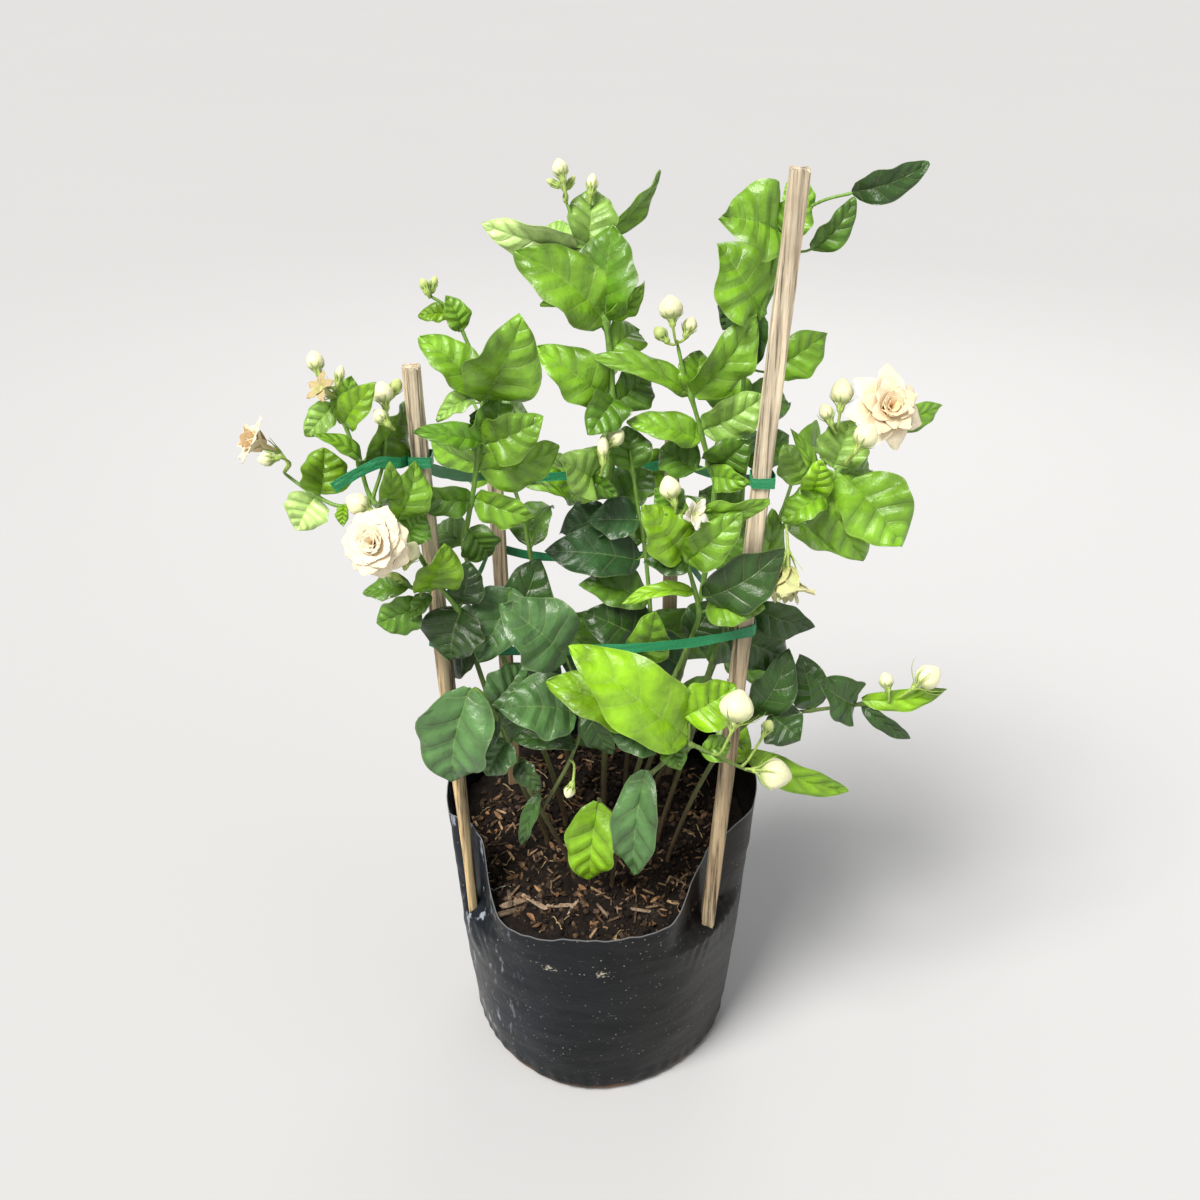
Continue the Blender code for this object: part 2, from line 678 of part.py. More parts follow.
def blade(root, base, tip, width, roll, wave, grow=0.0):
    """A leaf: a petiole from root to base, then a folded blade with a waved edge from base to tip."""
    along, side, normal = blade_frame(base, tip, roll)
    length = (tip - base).length
    stations = (0.3, 0.68) if length > LONG_LEAF else (0.46,)
    half = width / 2
    square = PETIOLE_SIDE / 2 + grow
    flat = BLADE_THICKNESS / 2 + grow
    petiole = base - root
    if petiole.length > 0.12 * length and petiole.normalized().dot(along) > -0.5:
        way = petiole.normalized()
        turned = (way + along).normalized()
        rows = [(root, square, square, 0.0, way), (base, square, square, 0.0, turned)]
    else:
        way = (base.lerp(tip, stations[0]) - root).normalized()
        rows = [(root, square, square, 0.0, way)]
    for t in stations:
        swell = math.sin(math.pi * t ** 0.82) ** 0.75
        bow = BOW * length * math.sin(math.pi * t) - DROOP * length * t * t
        rows.append((base + along * length * t + normal * bow, half * swell + grow, flat, t, along))
    rows.append((tip - normal * DROOP * length, PETIOLE_SIDE / 2 + grow, flat, 1.0, along))
    rings = []
    for middle, reach, thick, t, way in rows:
        flank, rise = squared(way, side)
        lift = FOLD * reach * min(1.0, 5 * t) * (1.2 - t)
        ripple = RIPPLE * half * math.sin(9 * t + wave) if 0 < t < 1 else 0.0
        left = middle - flank * reach + rise * (lift + ripple)
        right = middle + flank * reach + rise * (lift - ripple)
        up = rise * thick
        if 0 < t < 1:
            rings.append([left + up, middle + up, right + up, right - up, middle - up, left - up])
        else:
            rings.append([left + up, right + up, right - up, left - up])
    return Solid().leaf(rings)


def spindle(base, aim, length, width):
    """A bud: a thin tube that swells into a pointed oval."""
    profile = ((0.0, TUBE_RADIUS), (0.12, TUBE_RADIUS * 1.2), (0.42, width * 0.52), (0.76, width * 0.47),
               (1.0, width * 0.1))
    return tube([(base + aim * length * t, aim, radius) for t, radius in profile])


def carried(root, top, aim):
    """A pedicel from its root in a stem, widening into the green cup that ends at top under a bud."""
    foot = top - aim * CALYX_HEIGHT
    bend = root.lerp(foot, 0.55) - aim * min(6.0, 0.25 * (foot - root).length)
    stations = (
        (root, (bend - root).normalized(), PEDICEL_RADIUS * 1.2),
        (bend, (foot - root).normalized(), PEDICEL_RADIUS),
        (foot, aim, PEDICEL_RADIUS),
        (foot + aim * CALYX_HEIGHT * 0.6, aim, CALYX_RADIUS * 1.05),
        (top, aim, CALYX_RADIUS),
    )
    return tube(stations, 4)


def petal(centre, aim, turn, layer, lift):
    """One petal of a layer, from the flower's tube outward. lift sets it apart from the petals beside it."""
    first, second = across(aim)
    out = first * math.cos(turn) + second * math.sin(turn)
    side = aim.cross(out).normalized()
    opening = math.radians(layer.opening)
    start = centre + aim * (layer.rise + lift) + out * PETAL_START
    flat = BLADE_THICKNESS / 2
    rows = ((0.0, 0.3, 0.6), (0.6, 1.0, 0.95), (1.0, 0.35, 1.1))
    rings = []
    for t, wide, bend in rows:
        angle = opening * bend
        way = aim * math.cos(angle) + out * math.sin(angle)
        normal = side.cross(way).normalized()
        middle = start + way * layer.length * t
        reach = side * layer.width / 2 * wide
        up = normal * flat
        rings.append([middle - reach + up, middle + reach + up, middle + reach - up, middle - reach - up])
    return Solid().loft(rings)


def flower_solids(base, aim, layers):
    """A flower's tube and its petals, to be joined in one."""
    top = max(layer.rise for layer in layers)
    parts = [bar([base, base + aim * top * 0.7, base + aim * (top + 2)], TUBE_RADIUS, 2.6)]
    for number, layer in enumerate(layers):
        for i in range(layer.count):
            turn = math.tau * (i + 0.5 * (number % 2)) / layer.count + 0.3 * number
            parts.append(petal(base, aim, turn, layer, PETAL_SPREAD * (i % 2 + 0.15 * (i % 3))))
    return parts


def joined(solids, name):
    """One object of all the solids, by a Boolean union on a collection."""
    first = solids[0].make(name)
    if len(solids) == 1:
        return first
    rest = bpy.data.collections.new(name + "_rest")
    for number, solid in enumerate(solids[1:]):
        other = solid.make(f"{name}_{number}")
        bpy.context.scene.collection.objects.unlink(other)
        rest.objects.link(other)
    union = first.modifiers.new("union", "BOOLEAN")
    union.operation = "UNION"
    union.operand_type = "COLLECTION"
    union.collection = rest
    union.solver = "MANIFOLD"
    bpy.context.view_layer.objects.active = first
    bpy.ops.object.modifier_apply(modifier=union.name)
    for other in list(rest.objects):
        bpy.data.objects.remove(other)
    bpy.data.collections.remove(rest)
    fill_hollows(first)
    return first


def fill_hollows(made):
    """Removes the inner skins that crossing leaves shut in, which face the other way round."""
    shape = bmesh.new()
    shape.from_mesh(made.data)
    left = set(shape.faces)
    while left:
        island = {left.pop()}
        edge_of = list(island)
        while edge_of:
            beside = {f for e in edge_of.pop().edges for f in e.link_faces if f in left}
            left -= beside
            island |= beside
            edge_of += beside
        volume = 0.0
        for face in island:
            corners = [vertex.co for vertex in face.verts]
            for second, third in zip(corners[1:], corners[2:]):
                volume += corners[0].dot(second.cross(third))
        if volume < SMALLEST_BODY:
            bmesh.ops.delete(shape, geom=list(island), context="FACES")
    bmesh.ops.dissolve_limit(shape, angle_limit=FLAT_ANGLE, verts=shape.verts, edges=shape.edges)
    bmesh.ops.triangulate(shape, faces=shape.faces)
    draw_together(shape)
    shape.to_mesh(made.data)
    shape.free()


def draw_together(shape):
    """Makes one point of the two ends of each edge that is too short to matter, where the mesh stays closed."""
    while True:
        merged = {}
        taken = set()
        for edge in sorted(shape.edges, key=lambda edge: edge.calc_length()):
            if edge.calc_length() > SHORTEST_EDGE:
                break
            kept, lost = edge.verts
            if kept in taken or lost in taken:
                continue
            by_kept = {e.other_vert(kept) for e in kept.link_edges}
            by_lost = {e.other_vert(lost) for e in lost.link_edges}
            if len(by_kept & by_lost) == 2:
                merged[lost] = kept
                taken |= by_kept | by_lost
        if not merged:
            return
        bmesh.ops.weld_verts(shape, targetmap=merged)


def cut(target, cutters):
    """Cuts these solids from the object."""
    for number, solid in enumerate(cutters):
        cutter = solid.make(f"{target.name}_cutter_{number}")
        cutter.hide_render = True
        cutter.display_type = "WIRE"
        hole = target.modifiers.new("hole", "BOOLEAN")
        hole.operation = "DIFFERENCE"
        hole.object = cutter
        hole.solver = "EXACT"
        bpy.context.view_layer.objects.active = target
        bpy.ops.object.modifier_apply(modifier=hole.name)
        bpy.data.objects.remove(cutter)


def coat(made, material):
    made.data.materials.clear()
    made.data.materials.append(material)


def finish(name, colour, roughness, metallic=0.0):
    """A plain material of one colour."""
    material = bpy.data.materials.new(name)
    material.use_nodes = True
    shader = material.node_tree.nodes["Principled BSDF"]
    shader.inputs["Base Color"].default_value = (*colour, 1.0)
    shader.inputs["Roughness"].default_value = roughness
    shader.inputs["Metallic"].default_value = metallic
    return material


def bag_angles():
    """The angles of the bag's columns of points, with four more at each stake that pierces the wall."""
    angles = set(range(-180, 180, COLUMN_STEP))
    for turn, _ in pierced():
        angles = {a for a in angles if abs(a - turn) > LEDGE_HALF_ANGLE + 1}
        for half in (LEDGE_HALF_ANGLE, LEDGE_FLAT_HALF_ANGLE):
            angles |= {turn - half, turn + half}
    return sorted(angles)


def pierced():
    """The angle and distance from the axis of the two stakes that pierce the bag, where they do."""
    found = []
    for stake in STAKES[:2]:
        foot, top = Vector(stake.foot), Vector(stake.top)
        level = ((LEDGE_LOW + LEDGE_HIGH) / 2 - foot.z) / (top.z - foot.z)
        place = foot.lerp(top, level)
        found.append((math.degrees(math.atan2(place.y, place.x)), math.hypot(place.x, place.y)))
    return found


def bag_radius(angle, height):
    """The bag's outer radius. Over and under a stake's hole the film is pushed in and out."""
    radius = BAG_BOTTOM_RADIUS + (BAG_TOP_RADIUS - BAG_BOTTOM_RADIUS) * (height / BAG_TOP_HEIGHT) ** 0.75
    turn = math.radians(angle)
    radius += SLACK_LOW * math.cos(4 * turn + 0.6) * (1 - height / BAG_TOP_HEIGHT)
    radius += SLACK_HIGH * math.sin(5 * turn + 1.0) * height / BAG_TOP_HEIGHT
    if height < FOOT_HEIGHT:
        radius -= FOOT_CHAMFER
    for stake_angle, distance in pierced():
        near = max(0.0, min(1.0, (LEDGE_HALF_ANGLE - abs(angle - stake_angle)) / 6))
        if height >= LEDGE_HIGH:
            radius += (distance - LEDGE_STEP - radius) * near
        elif height >= LEDGE_LOW:
            radius += (distance + LEDGE_STEP - radius) * near
        elif height > BULGE_FOOT:
            share = min(1.0, (height - BULGE_FOOT) / (BULGE_FULL - BULGE_FOOT))
            radius += max(0.0, distance + LEDGE_STEP - radius) * near * share
    return radius


def bag_point(angle, height, inset=0.0):
    radius = bag_radius(angle, height) - inset
    turn = math.radians(angle)
    return Vector((radius * math.cos(turn), radius * math.sin(turn), height))


def bag_solid():
    """The bag: a thin wall with an open top and a flat bottom."""
    solid = Solid()
    angles = bag_angles()
    count = len(angles)
    outer = []
    inner = []
    for row in BAG_ROWS:
        outer.append(solid.ring([bag_point(a, row) for a in angles]))
        inner.append(solid.ring([bag_point(a, max(row, FILM), FILM) for a in angles]))
    for share in (0.5, 1.0):
        heights = [LEDGE_HIGH + (between(a, RIM_HEIGHTS) - LEDGE_HIGH) * share for a in angles]
        outer.append(solid.ring([bag_point(a, h) for a, h in zip(angles, heights)]))
        inner.append(solid.ring([bag_point(a, h, FILM) for a, h in zip(angles, heights)]))
    for i in range(count):
        j = (i + 1) % count
        for low, high in zip(outer, outer[1:]):
            solid.quad(low[i], low[j], high[j], high[i])
        for low, high in zip(inner, inner[1:]):
            solid.quad(low[i], low[j], high[j], high[i])
        solid.quad(outer[-1][i], outer[-1][j], inner[-1][j], inner[-1][i])
    under, floor = solid.ring([Vector((0, 0, 0)), Vector((0, 0, FILM))])
    for i in range(count):
        j = (i + 1) % count
        solid.faces.append((under, outer[0][j], outer[0][i]))
        solid.faces.append((floor, inner[0][i], inner[0][j]))
    return solid


def soil_height(x, y):
    """The soil's surface: higher at the back, lumpy, and never below the lowest height of its edge."""
    lumps = 1.6 * math.sin(0.11 * x + 0.7) * math.cos(0.13 * y) + 1.1 * math.sin(0.21 * x - 0.17 * y)
    return max(SOIL_EDGE_LOWEST, SOIL_CENTRE_HEIGHT + SOIL_SLOPE * y + lumps)


def soil_solid():
    """The soil: fills the bag up to its surface."""
    solid = Solid()
    angles = bag_angles()
    count = len(angles)
    inset = FILM + SOIL_CLEAR
    rows = [FILM + GAP] + list(BAG_ROWS[1:])
    rings = [solid.ring([bag_point(a, row, inset) for a in angles]) for row in rows]
    edge = []
    for a in angles:
        level = bag_point(a, SOIL_EDGE_LOWEST + 4, inset)
        edge.append(bag_point(a, soil_height(level.x, level.y), inset))
    rings.append(solid.ring(edge))
    for share in SOIL_RINGS:
        inside = [Vector((p.x * share, p.y * share, 0)) for p in edge]
        for point in inside:
            point.z = soil_height(point.x, point.y)
        rings.append(solid.ring(inside))
    for low, high in zip(rings, rings[1:]):
        for i in range(count):
            j = (i + 1) % count
            solid.quad(low[i], low[j], high[j], high[i])
    bottom, top = solid.ring([Vector((0, 0, FILM + GAP)), Vector((0, 0, soil_height(0, 0)))])
    for i in range(count):
        j = (i + 1) % count
        solid.faces.append((bottom, rings[0][j], rings[0][i]))
        solid.faces.append((top, rings[-1][i], rings[-1][j]))
    return solid


def stake_solid(stake, grow=0.0):
    """A split stick: four uneven sides, chamfered at its foot."""
    foot, top = Vector(stake.foot), Vector(stake.top)
    along = (top - foot).normalized()
    foot = foot - along * grow
    front = Vector((0, -1, 0)).cross(along).normalized()
    side = along.cross(front)
    half = STAKE_SIDE / 2
    rings = []
    for t, wide, deep in STAKE_ROWS:
        x = front * (half * wide + grow)
        y = side * (half * deep + grow)
        centre = foot.lerp(top, t)
        rings.append([centre - x - y, centre + x - y * 0.9, centre + x * 0.92 + y, centre - x + y])
    return Solid().loft(rings)


def tape(path, closed=True):
    """A flat strip on edge along a path, closed in a ring or cut off at its ends."""
    solid = Solid()
    count = len(path)
    rings = []
    for i, point in enumerate(path):
        before = path[i - 1] if closed or i else point
        after = path[(i + 1) % count] if closed or i < count - 1 else point
        along = (after - before).normalized()
        out = Vector((along.y, -along.x, 0)).normalized() * TAPE_THICKNESS / 2
        up = out.cross(along).normalized() * TAPE_WIDTH / 2
        if up.z < 0:
            up = -up
        rings.append([point - out - up, point + out - up, point + out + up, point - out + up])
    if not closed:
        return solid.loft(rings)
    numbered = [solid.ring(points) for points in rings]
    for i in range(count):
        low, high = numbered[i], numbered[(i + 1) % count]
        for k in range(4):
            solid.quad(low[k], low[(k + 1) % 4], high[(k + 1) % 4], high[k])
    return solid


def stake_at(stake, height):
    foot, top = Vector(stake.foot), Vector(stake.top)
    return foot.lerp(top, (height - foot.z) / (top.z - foot.z))


def beside(number, height, x, y):
    """The point at a stake's height that clears its side or corner in the X and Y senses given."""
    reach = STAKE_SIDE / 2 + TAPE_THICKNESS / 2 + GAP + TAPE_CLEAR
    return stake_at(STAKES[number], height) + Vector((x * reach, y * reach, 0))


def hung(corners, sag):
    """The corners with two more points on each long stretch, which sags between them."""
    path = []
    for start, end in zip(corners, corners[1:]):
        path.append(start)
        if (end - start).length > 3 * STAKE_SIDE:
            path += [start.lerp(end, share) - Vector((0, 0, sag)) for share in (0.3, 0.7)]
    return path + [corners[-1]]


def make_ties():
    """The lower tape goes round all four stakes. The upper one runs from the left front stake round the back
    ones to the right front stake, with a turn round each front stake and a loose tail at the left."""
    left, right, back_left, back_right = LOWER_TIE_HEIGHTS
    ring = [beside(0, left, -1, -1), beside(1, right, 1, -1), beside(1, right, 1, 1),
            beside(3, back_right, 1, 1), beside(2, back_left, -1, 1), beside(0, left, -1, 1)]
    lower = [tape(hung(ring + ring[:1], LOWER_TIE_SAG)[:-1])]
    left, right, back_left, back_right = UPPER_TIE_HEIGHTS
    turn = ((-1, -1), (1, -1), (1, 1), (-1, 1))
    upper = [
        tape([beside(0, left, x, y) for x, y in turn]),
        tape([beside(1, right, x, y) for x, y in turn]),
        tape(hung([beside(0, left, -1, 0.7), beside(0, left - 3, -1, 1.1), beside(2, back_left, -1, 1),
                   beside(3, back_right, 1, 1), beside(1, right - 3, 1, 1.1), beside(1, right, 1, 0.7)],
                  UPPER_TIE_SAG), closed=False),
        tape([beside(0, left, -1, -0.5), beside(0, left + 1, -1.5, -1.4)]
             + [sight(place) for place in LOOSE_TAIL], closed=False),
    ]
    return {"tie_lower": lower, "tie_upper": upper}


class Growth:
    """Places the shoots' solids one after another, each leaf bent clear of what is already there."""

    def __init__(self, fixed):
        self.trees = [(None, solid.tree()) for solid in fixed]
        self.blades = []
        self.random = random.Random(SEED)
        self.stems = {}
        self.solids = {}
        self.white = {}

    def touches(self, name, tree):
        return any(owner != name and other.overlap(tree) for owner, other in self.trees)

    def keep(self, name, solid):
        self.solids.setdefault(name, []).append(solid)
        self.trees.append((name, solid.tree()))

    def rooted(self, name, wanted):
        """The stem's nearest point, set a little apart from the other roots there."""
        apart = Vector([self.random.uniform(-0.4, 0.4) for _ in range(3)])
        return nearest(self.stems[name], wanted) + apart

    def add_stems(self, name, hole, paths):
        """The main stem from the soil, straight up through its hole, then its side stems."""
        x, y = hole
        level = soil_height(x, y)
        rise = [Vector((x, y, level - STEM_DEPTH)), Vector((x, y, level + 6))]
        for number, (points, thick, thin) in enumerate(paths):
            path = rise + points if number == 0 else list(points)
            if number:
                path[0] = self.rooted(name, path[0])
            self.stems.setdefault(name, []).append(path)
            self.keep(name, bar(path, thick, thin))

    def add_bud(self, name, bud, white):
        """A bud in its calyx, and the pedicel that carries it."""
        middle = sight(bud.place)
        up = Vector((0, math.sin(LOOKS_DOWN), math.cos(LOOKS_DOWN)))
        aim = (Vector((bud.aim[0], 0, 0)) + up * bud.aim[1]).normalized()
        base = middle - aim * bud.length * 0.54
        if white:
            self.white[bud.name] = [spindle(base, aim, bud.length, bud.width)]
            self.trees.append((bud.name, self.white[bud.name][0].tree()))
        else:
            self.keep(name, spindle(base - aim, aim, bud.length, bud.width))
        self.add_pedicel(name, base - aim * GAP, aim)

    def add_flower(self, name, flower):
        aim = Vector(flower.face).normalized()
        base = sight(flower.place) - aim * (max(layer.rise for layer in flower.layers) + 3)
        self.white[flower.name] = flower_solids(base, aim, flower.layers)
        for solid in self.white[flower.name]:
            self.trees.append((flower.name, solid.tree()))
        self.add_pedicel(name, base - aim * GAP, aim)

    def add_pedicel(self, name, top, aim):
        root = self.rooted(name, top - aim * CALYX_HEIGHT)
        self.keep(name, carried(root, top, aim))

    def add_leaf(self, name, base, tip, width, roll):
        """Tries the leaf as drawn, then bent further, and keeps the first that is clear of other pieces and
        blades. One that finds no room is left out."""
        wave = self.random.uniform(0, math.tau)
        root = self.rooted(name, base)
        best = None
        for shift, turn, scale in TRIES:
            moved = base.lerp(tip, scale)
            if shift:
                away = (moved - EYE) / (moved.y - EYE.y)
                moved = moved + away * shift
            shape = (base, moved, width * (0.5 + scale / 2), roll + turn, wave)
            if self.touches(name, blade(root, *shape, grow=CLEAR).tree()):
                continue
            free = blade(base.lerp(moved, 0.16), base.lerp(moved, 0.2), *shape[1:], grow=0.3).tree()
            crossed = sum(1 for other in self.blades if other.overlap(free))
            if best is None or crossed < best[0]:
                best = (crossed, shape, free)
            if crossed == 0:
                break
        if best is None:
            return
        self.blades.append(best[2])
        self.keep(name, blade(root, *best[1]))

    def add_drawn_leaf(self, name, leaf):
        """A leaf from the picture: as long as its width makes it, so it leans as far as it looks short."""
        seen = nearest(self.stems[name], Vector(leaf.base))
        base = sight((*leaf.base, seen.y))
        flat_tip = sight((*leaf.tip, seen.y))
        shown = (flat_tip - base).length
        lean = math.sqrt(max(0.0, (ASPECT * leaf.width) ** 2 - shown ** 2))
        tip = sight((*leaf.tip, seen.y + leaf.toward * max(lean, LEAST_LEAN)))
        self.add_leaf(name, base, tip, leaf.width * FULLNESS, leaf.roll)

    def add_back_leaves(self, name, path, count):
        """Pairs of leaves up a stem of the hidden back, each pair a quarter turn from the one below."""
        for number in range(count):
            spot = point_along(path, 0.3 + 0.68 * number / (count - 1))
            turn = 1.2 + number * math.pi / 2 + self.random.uniform(-0.3, 0.3)
            for side in (0, math.pi):
                angle = turn + side
                out = Vector((math.cos(angle), math.sin(angle) * 0.9, 0))
                if out.y < -0.75:
                    continue
                width = self.random.uniform(27, 36)
                length = width * self.random.uniform(1.5, 1.8)
                base = spot + out * 7 + Vector((0, 0, 3))
                rise = self.random.uniform(-0.5, 0.35) * length
                tip = base + out * length + Vector((0, 0, rise))
                self.add_leaf(name, base, tip, width, self.random.uniform(-60, -20))


def point_along(path, share):
    """The point at this share of a path's length."""
    total = sum((b - a).length for a, b in zip(path, path[1:]))
    left = share * total
    for a, b in zip(path, path[1:]):
        step = (b - a).length
        if left <= step:
            return a.lerp(b, left / step)
        left -= step
    return path[-1]


def grow_all(fixed):
    """Stems first, then buds and flowers, then leaves, so that each kind makes way for the ones before."""
    growth = Growth(fixed)
    for shoot in SHOOTS:
        paths = [([sight(place) for place in stem.places], stem.thick, stem.thin) for stem in shoot.stems]
        growth.add_stems(shoot.name, shoot.hole, paths)
    for name, hole, points, _ in BACK_SHOOTS:
        growth.add_stems(name, hole, [([Vector(point) for point in points], 1.9, 1.0)])
    for shoot in SHOOTS:
        for bud in shoot.buds:
            growth.add_bud(shoot.name, bud, True)
        for bud in shoot.green_buds:
            growth.add_bud(shoot.name, bud, False)
        for flower in shoot.flowers:
            growth.add_flower(shoot.name, flower)
    for shoot in SHOOTS:
        for leaf in shoot.leaves:
            growth.add_drawn_leaf(shoot.name, leaf)
    for name, _, _, count in BACK_SHOOTS:
        growth.add_back_leaves(name, growth.stems[name][0], count)
    return growth


def main():
    for old in list(bpy.data.objects):
        bpy.data.objects.remove(old)
    film = finish("film", (0.012, 0.013, 0.016), 0.38)
    earth = finish("earth", (0.035, 0.02, 0.012), 0.95)
    wood = finish("wood", (0.52, 0.33, 0.16), 0.75)
    raffia = finish("raffia", (0.06, 0.42, 0.16), 0.35)
    green = finish("green", (0.08, 0.3, 0.04), 0.45)
    cream = finish("cream", (0.9, 0.86, 0.7), 0.6)

    film_solid = bag_solid()
    bag = film_solid.make("grow_bag")
    cut(bag, [stake_solid(stake, GAP) for stake in STAKES[:2]])
    coat(bag, film)

    fixed = [stake_solid(stake) for stake in STAKES]
    for stake, solid in zip(STAKES, fixed):
        coat(solid.make(stake.name), wood)
    for name, solids in make_ties().items():
        coat(joined(solids, name), raffia)
        fixed += solids
    mix_solid = soil_solid()

    growth = grow_all(fixed + [film_solid, mix_solid])
    for name, solids in growth.solids.items():
        coat(joined(solids, name), green)
    for name, solids in growth.white.items():
        coat(joined(solids, name), cream)

    holes = [stake_solid(stake, GAP) for stake in STAKES]
    for name in growth.solids:
        stem = growth.stems[name][0]
        below = Vector((0, 0, GAP + 1))
        holes.append(bar([stem[0] - below, stem[1] + below], STEM_HOLE_RADIUS, STEM_HOLE_RADIUS, 6))
    soil = mix_solid.make("soil")
    cut(soil, holes)
    coat(soil, earth)


main()
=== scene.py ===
"""The looks of a young potted jasmine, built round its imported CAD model.

Lengths are millimetres until a mesh is written. A place in the plan is the photograph's pixel column and row,
with the depth of the upright plane that it lies in, and each piece then sits on the stem that carries it. The
CAD model holds the same plan: each fine blade takes the bend that its own CAD blade has.
"""

import logging
import math
import random
from dataclasses import dataclass, field
from enum import Enum
from typing import Sequence

import bpy
import numpy as np
from bpy.types import Material, Mesh, Node, NodeSocket, Object
from mathutils import Matrix, Vector
from mathutils.kdtree import KDTree


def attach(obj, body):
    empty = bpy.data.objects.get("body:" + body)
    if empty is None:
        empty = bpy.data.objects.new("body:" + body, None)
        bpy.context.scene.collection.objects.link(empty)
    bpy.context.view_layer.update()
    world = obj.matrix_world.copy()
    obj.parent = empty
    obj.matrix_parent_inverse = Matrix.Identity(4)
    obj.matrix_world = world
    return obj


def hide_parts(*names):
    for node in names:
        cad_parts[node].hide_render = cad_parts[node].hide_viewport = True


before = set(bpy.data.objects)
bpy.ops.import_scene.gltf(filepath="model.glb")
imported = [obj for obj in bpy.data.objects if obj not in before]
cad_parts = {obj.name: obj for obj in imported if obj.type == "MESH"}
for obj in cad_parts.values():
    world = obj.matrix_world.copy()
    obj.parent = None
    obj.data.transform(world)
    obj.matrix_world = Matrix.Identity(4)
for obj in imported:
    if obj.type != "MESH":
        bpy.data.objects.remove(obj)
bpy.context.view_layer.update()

log = logging.getLogger("jasmine")

METRES = 0.001
# What the CAD model draws its own numbers from, and the gap that it leaves under each bud and flower
SEED = 7
GAP = 0.35
UP = Vector((0.0, 0.0, 1.0))


class Tone(Enum):
    """The greens of the leaves, as linear colours of the face that the blade turns to the light."""

    LIME = (0.210, 0.425, 0.006)
    FRESH = (0.164, 0.348, 0.016)
    MID = (0.086, 0.210, 0.010)
    DARK = (0.026, 0.080, 0.008)
    BLUE = (0.026, 0.090, 0.022)
    GREY = (0.074, 0.172, 0.048)
    MINT = (0.280, 0.500, 0.080)
    PALE = (0.450, 0.640, 0.200)


@dataclass(frozen=True)
class StakePlan:
    """A split stick from its foot in the soil to its top."""

    name: str
    foot: tuple
    top: tuple

    def at(self, height: float) -> Vector:
        """The point of the stick's axis at a height."""
        foot, top = Vector(self.foot), Vector(self.top)
        return foot.lerp(top, (height - foot.z) / (top.z - foot.z))


@dataclass(frozen=True)
class StemPlan:
    """A stem through (column, row, depth) places, thinning from one radius to the other."""

    places: tuple
    thick: float
    thin: float


@dataclass(frozen=True)
class LeafPlan:
    """A blade from its base to its tip in the picture, its lean to or from the viewer, its roll and green."""

    base: tuple
    tip: tuple
    width: float
    toward: float
    roll: float
    tone: Tone


@dataclass(frozen=True)
class BudPlan:
    """A bud by its middle in the picture, its depth, the way that it points and its size."""

    name: str
    place: tuple
    aim: tuple
    length: float
    width: float

    @property
    def is_green(self) -> bool:
        """Whether it is one of the small green buds, which belong to their shoot's own node."""
        return self.name == "green"


@dataclass(frozen=True)
class PetalRing:
    """A ring of petals: how many, how long and wide, and the angle that they open from the axis."""

    count: int
    length: float
    width: float
    opening: float
    rise: float


@dataclass(frozen=True)
class FlowerPlan:
    """A flower by its middle, the way that it faces (right, away, up), and its rings of petals."""

    name: str
    place: tuple
    face: tuple
    layers: tuple

    @property
    def is_worn(self) -> bool:
        """Whether it is faded or spent."""
        return self.layers is SPENT or self.layers is FADED


@dataclass(frozen=True)
class BackPlan:
    """A shoot of the hidden back: its hole, its stem's points over the soil and its pairs of leaves."""

    name: str
    hole: tuple
    points: tuple
    pairs: int
    thick: float = 1.9
    thin: float = 1.0


@dataclass(frozen=True)
class ShootPlan:
    """Everything that one main stem carries. The first stem leaves the soil at hole."""

    name: str
    hole: tuple
    stems: tuple
    leaves: tuple
    buds: tuple = ()
    flowers: tuple = ()
    green_buds: tuple = ()


LIME, FRESH, MID, DARK, BLUE, GREY, MINT, PALE = Tone


def plans(kind: type, *rows: tuple) -> tuple:
    """Plans of one kind, each from a row with the values of its fields in their order."""
    return tuple(kind(*row) for row in rows)


STAKES = (
    StakePlan("stake_front_left", (-84, -45, 82), (-98, -47, 497)),
    StakePlan("stake_front_right", (68, -58, 82), (94, -62, 598)),
    StakePlan("stake_back_left", (-58, 50, 66), (-66, 50, 404)),
    StakePlan("stake_back_right", (50, 56, 66), (45, 60, 418)),
)

DOUBLE = (PetalRing(7, 18, 12.5, 82, 6), PetalRing(5, 14, 10.5, 56, 7.4), PetalRing(3, 11, 8, 26, 8.8))
OPEN_WIDE = (PetalRing(7, 22, 15, 78, 6), PetalRing(5, 17, 12, 52, 7.4), PetalRing(3, 13, 9, 24, 8.8))
HALF_OPEN = (PetalRing(5, 17, 12, 50, 6), PetalRing(3, 14, 9, 20, 7.4))
FADED = (PetalRing(5, 22, 12, 36, 6), PetalRing(3, 18, 8, 14, 7.4))
SPENT = (PetalRing(5, 9, 5, 58, 5),)

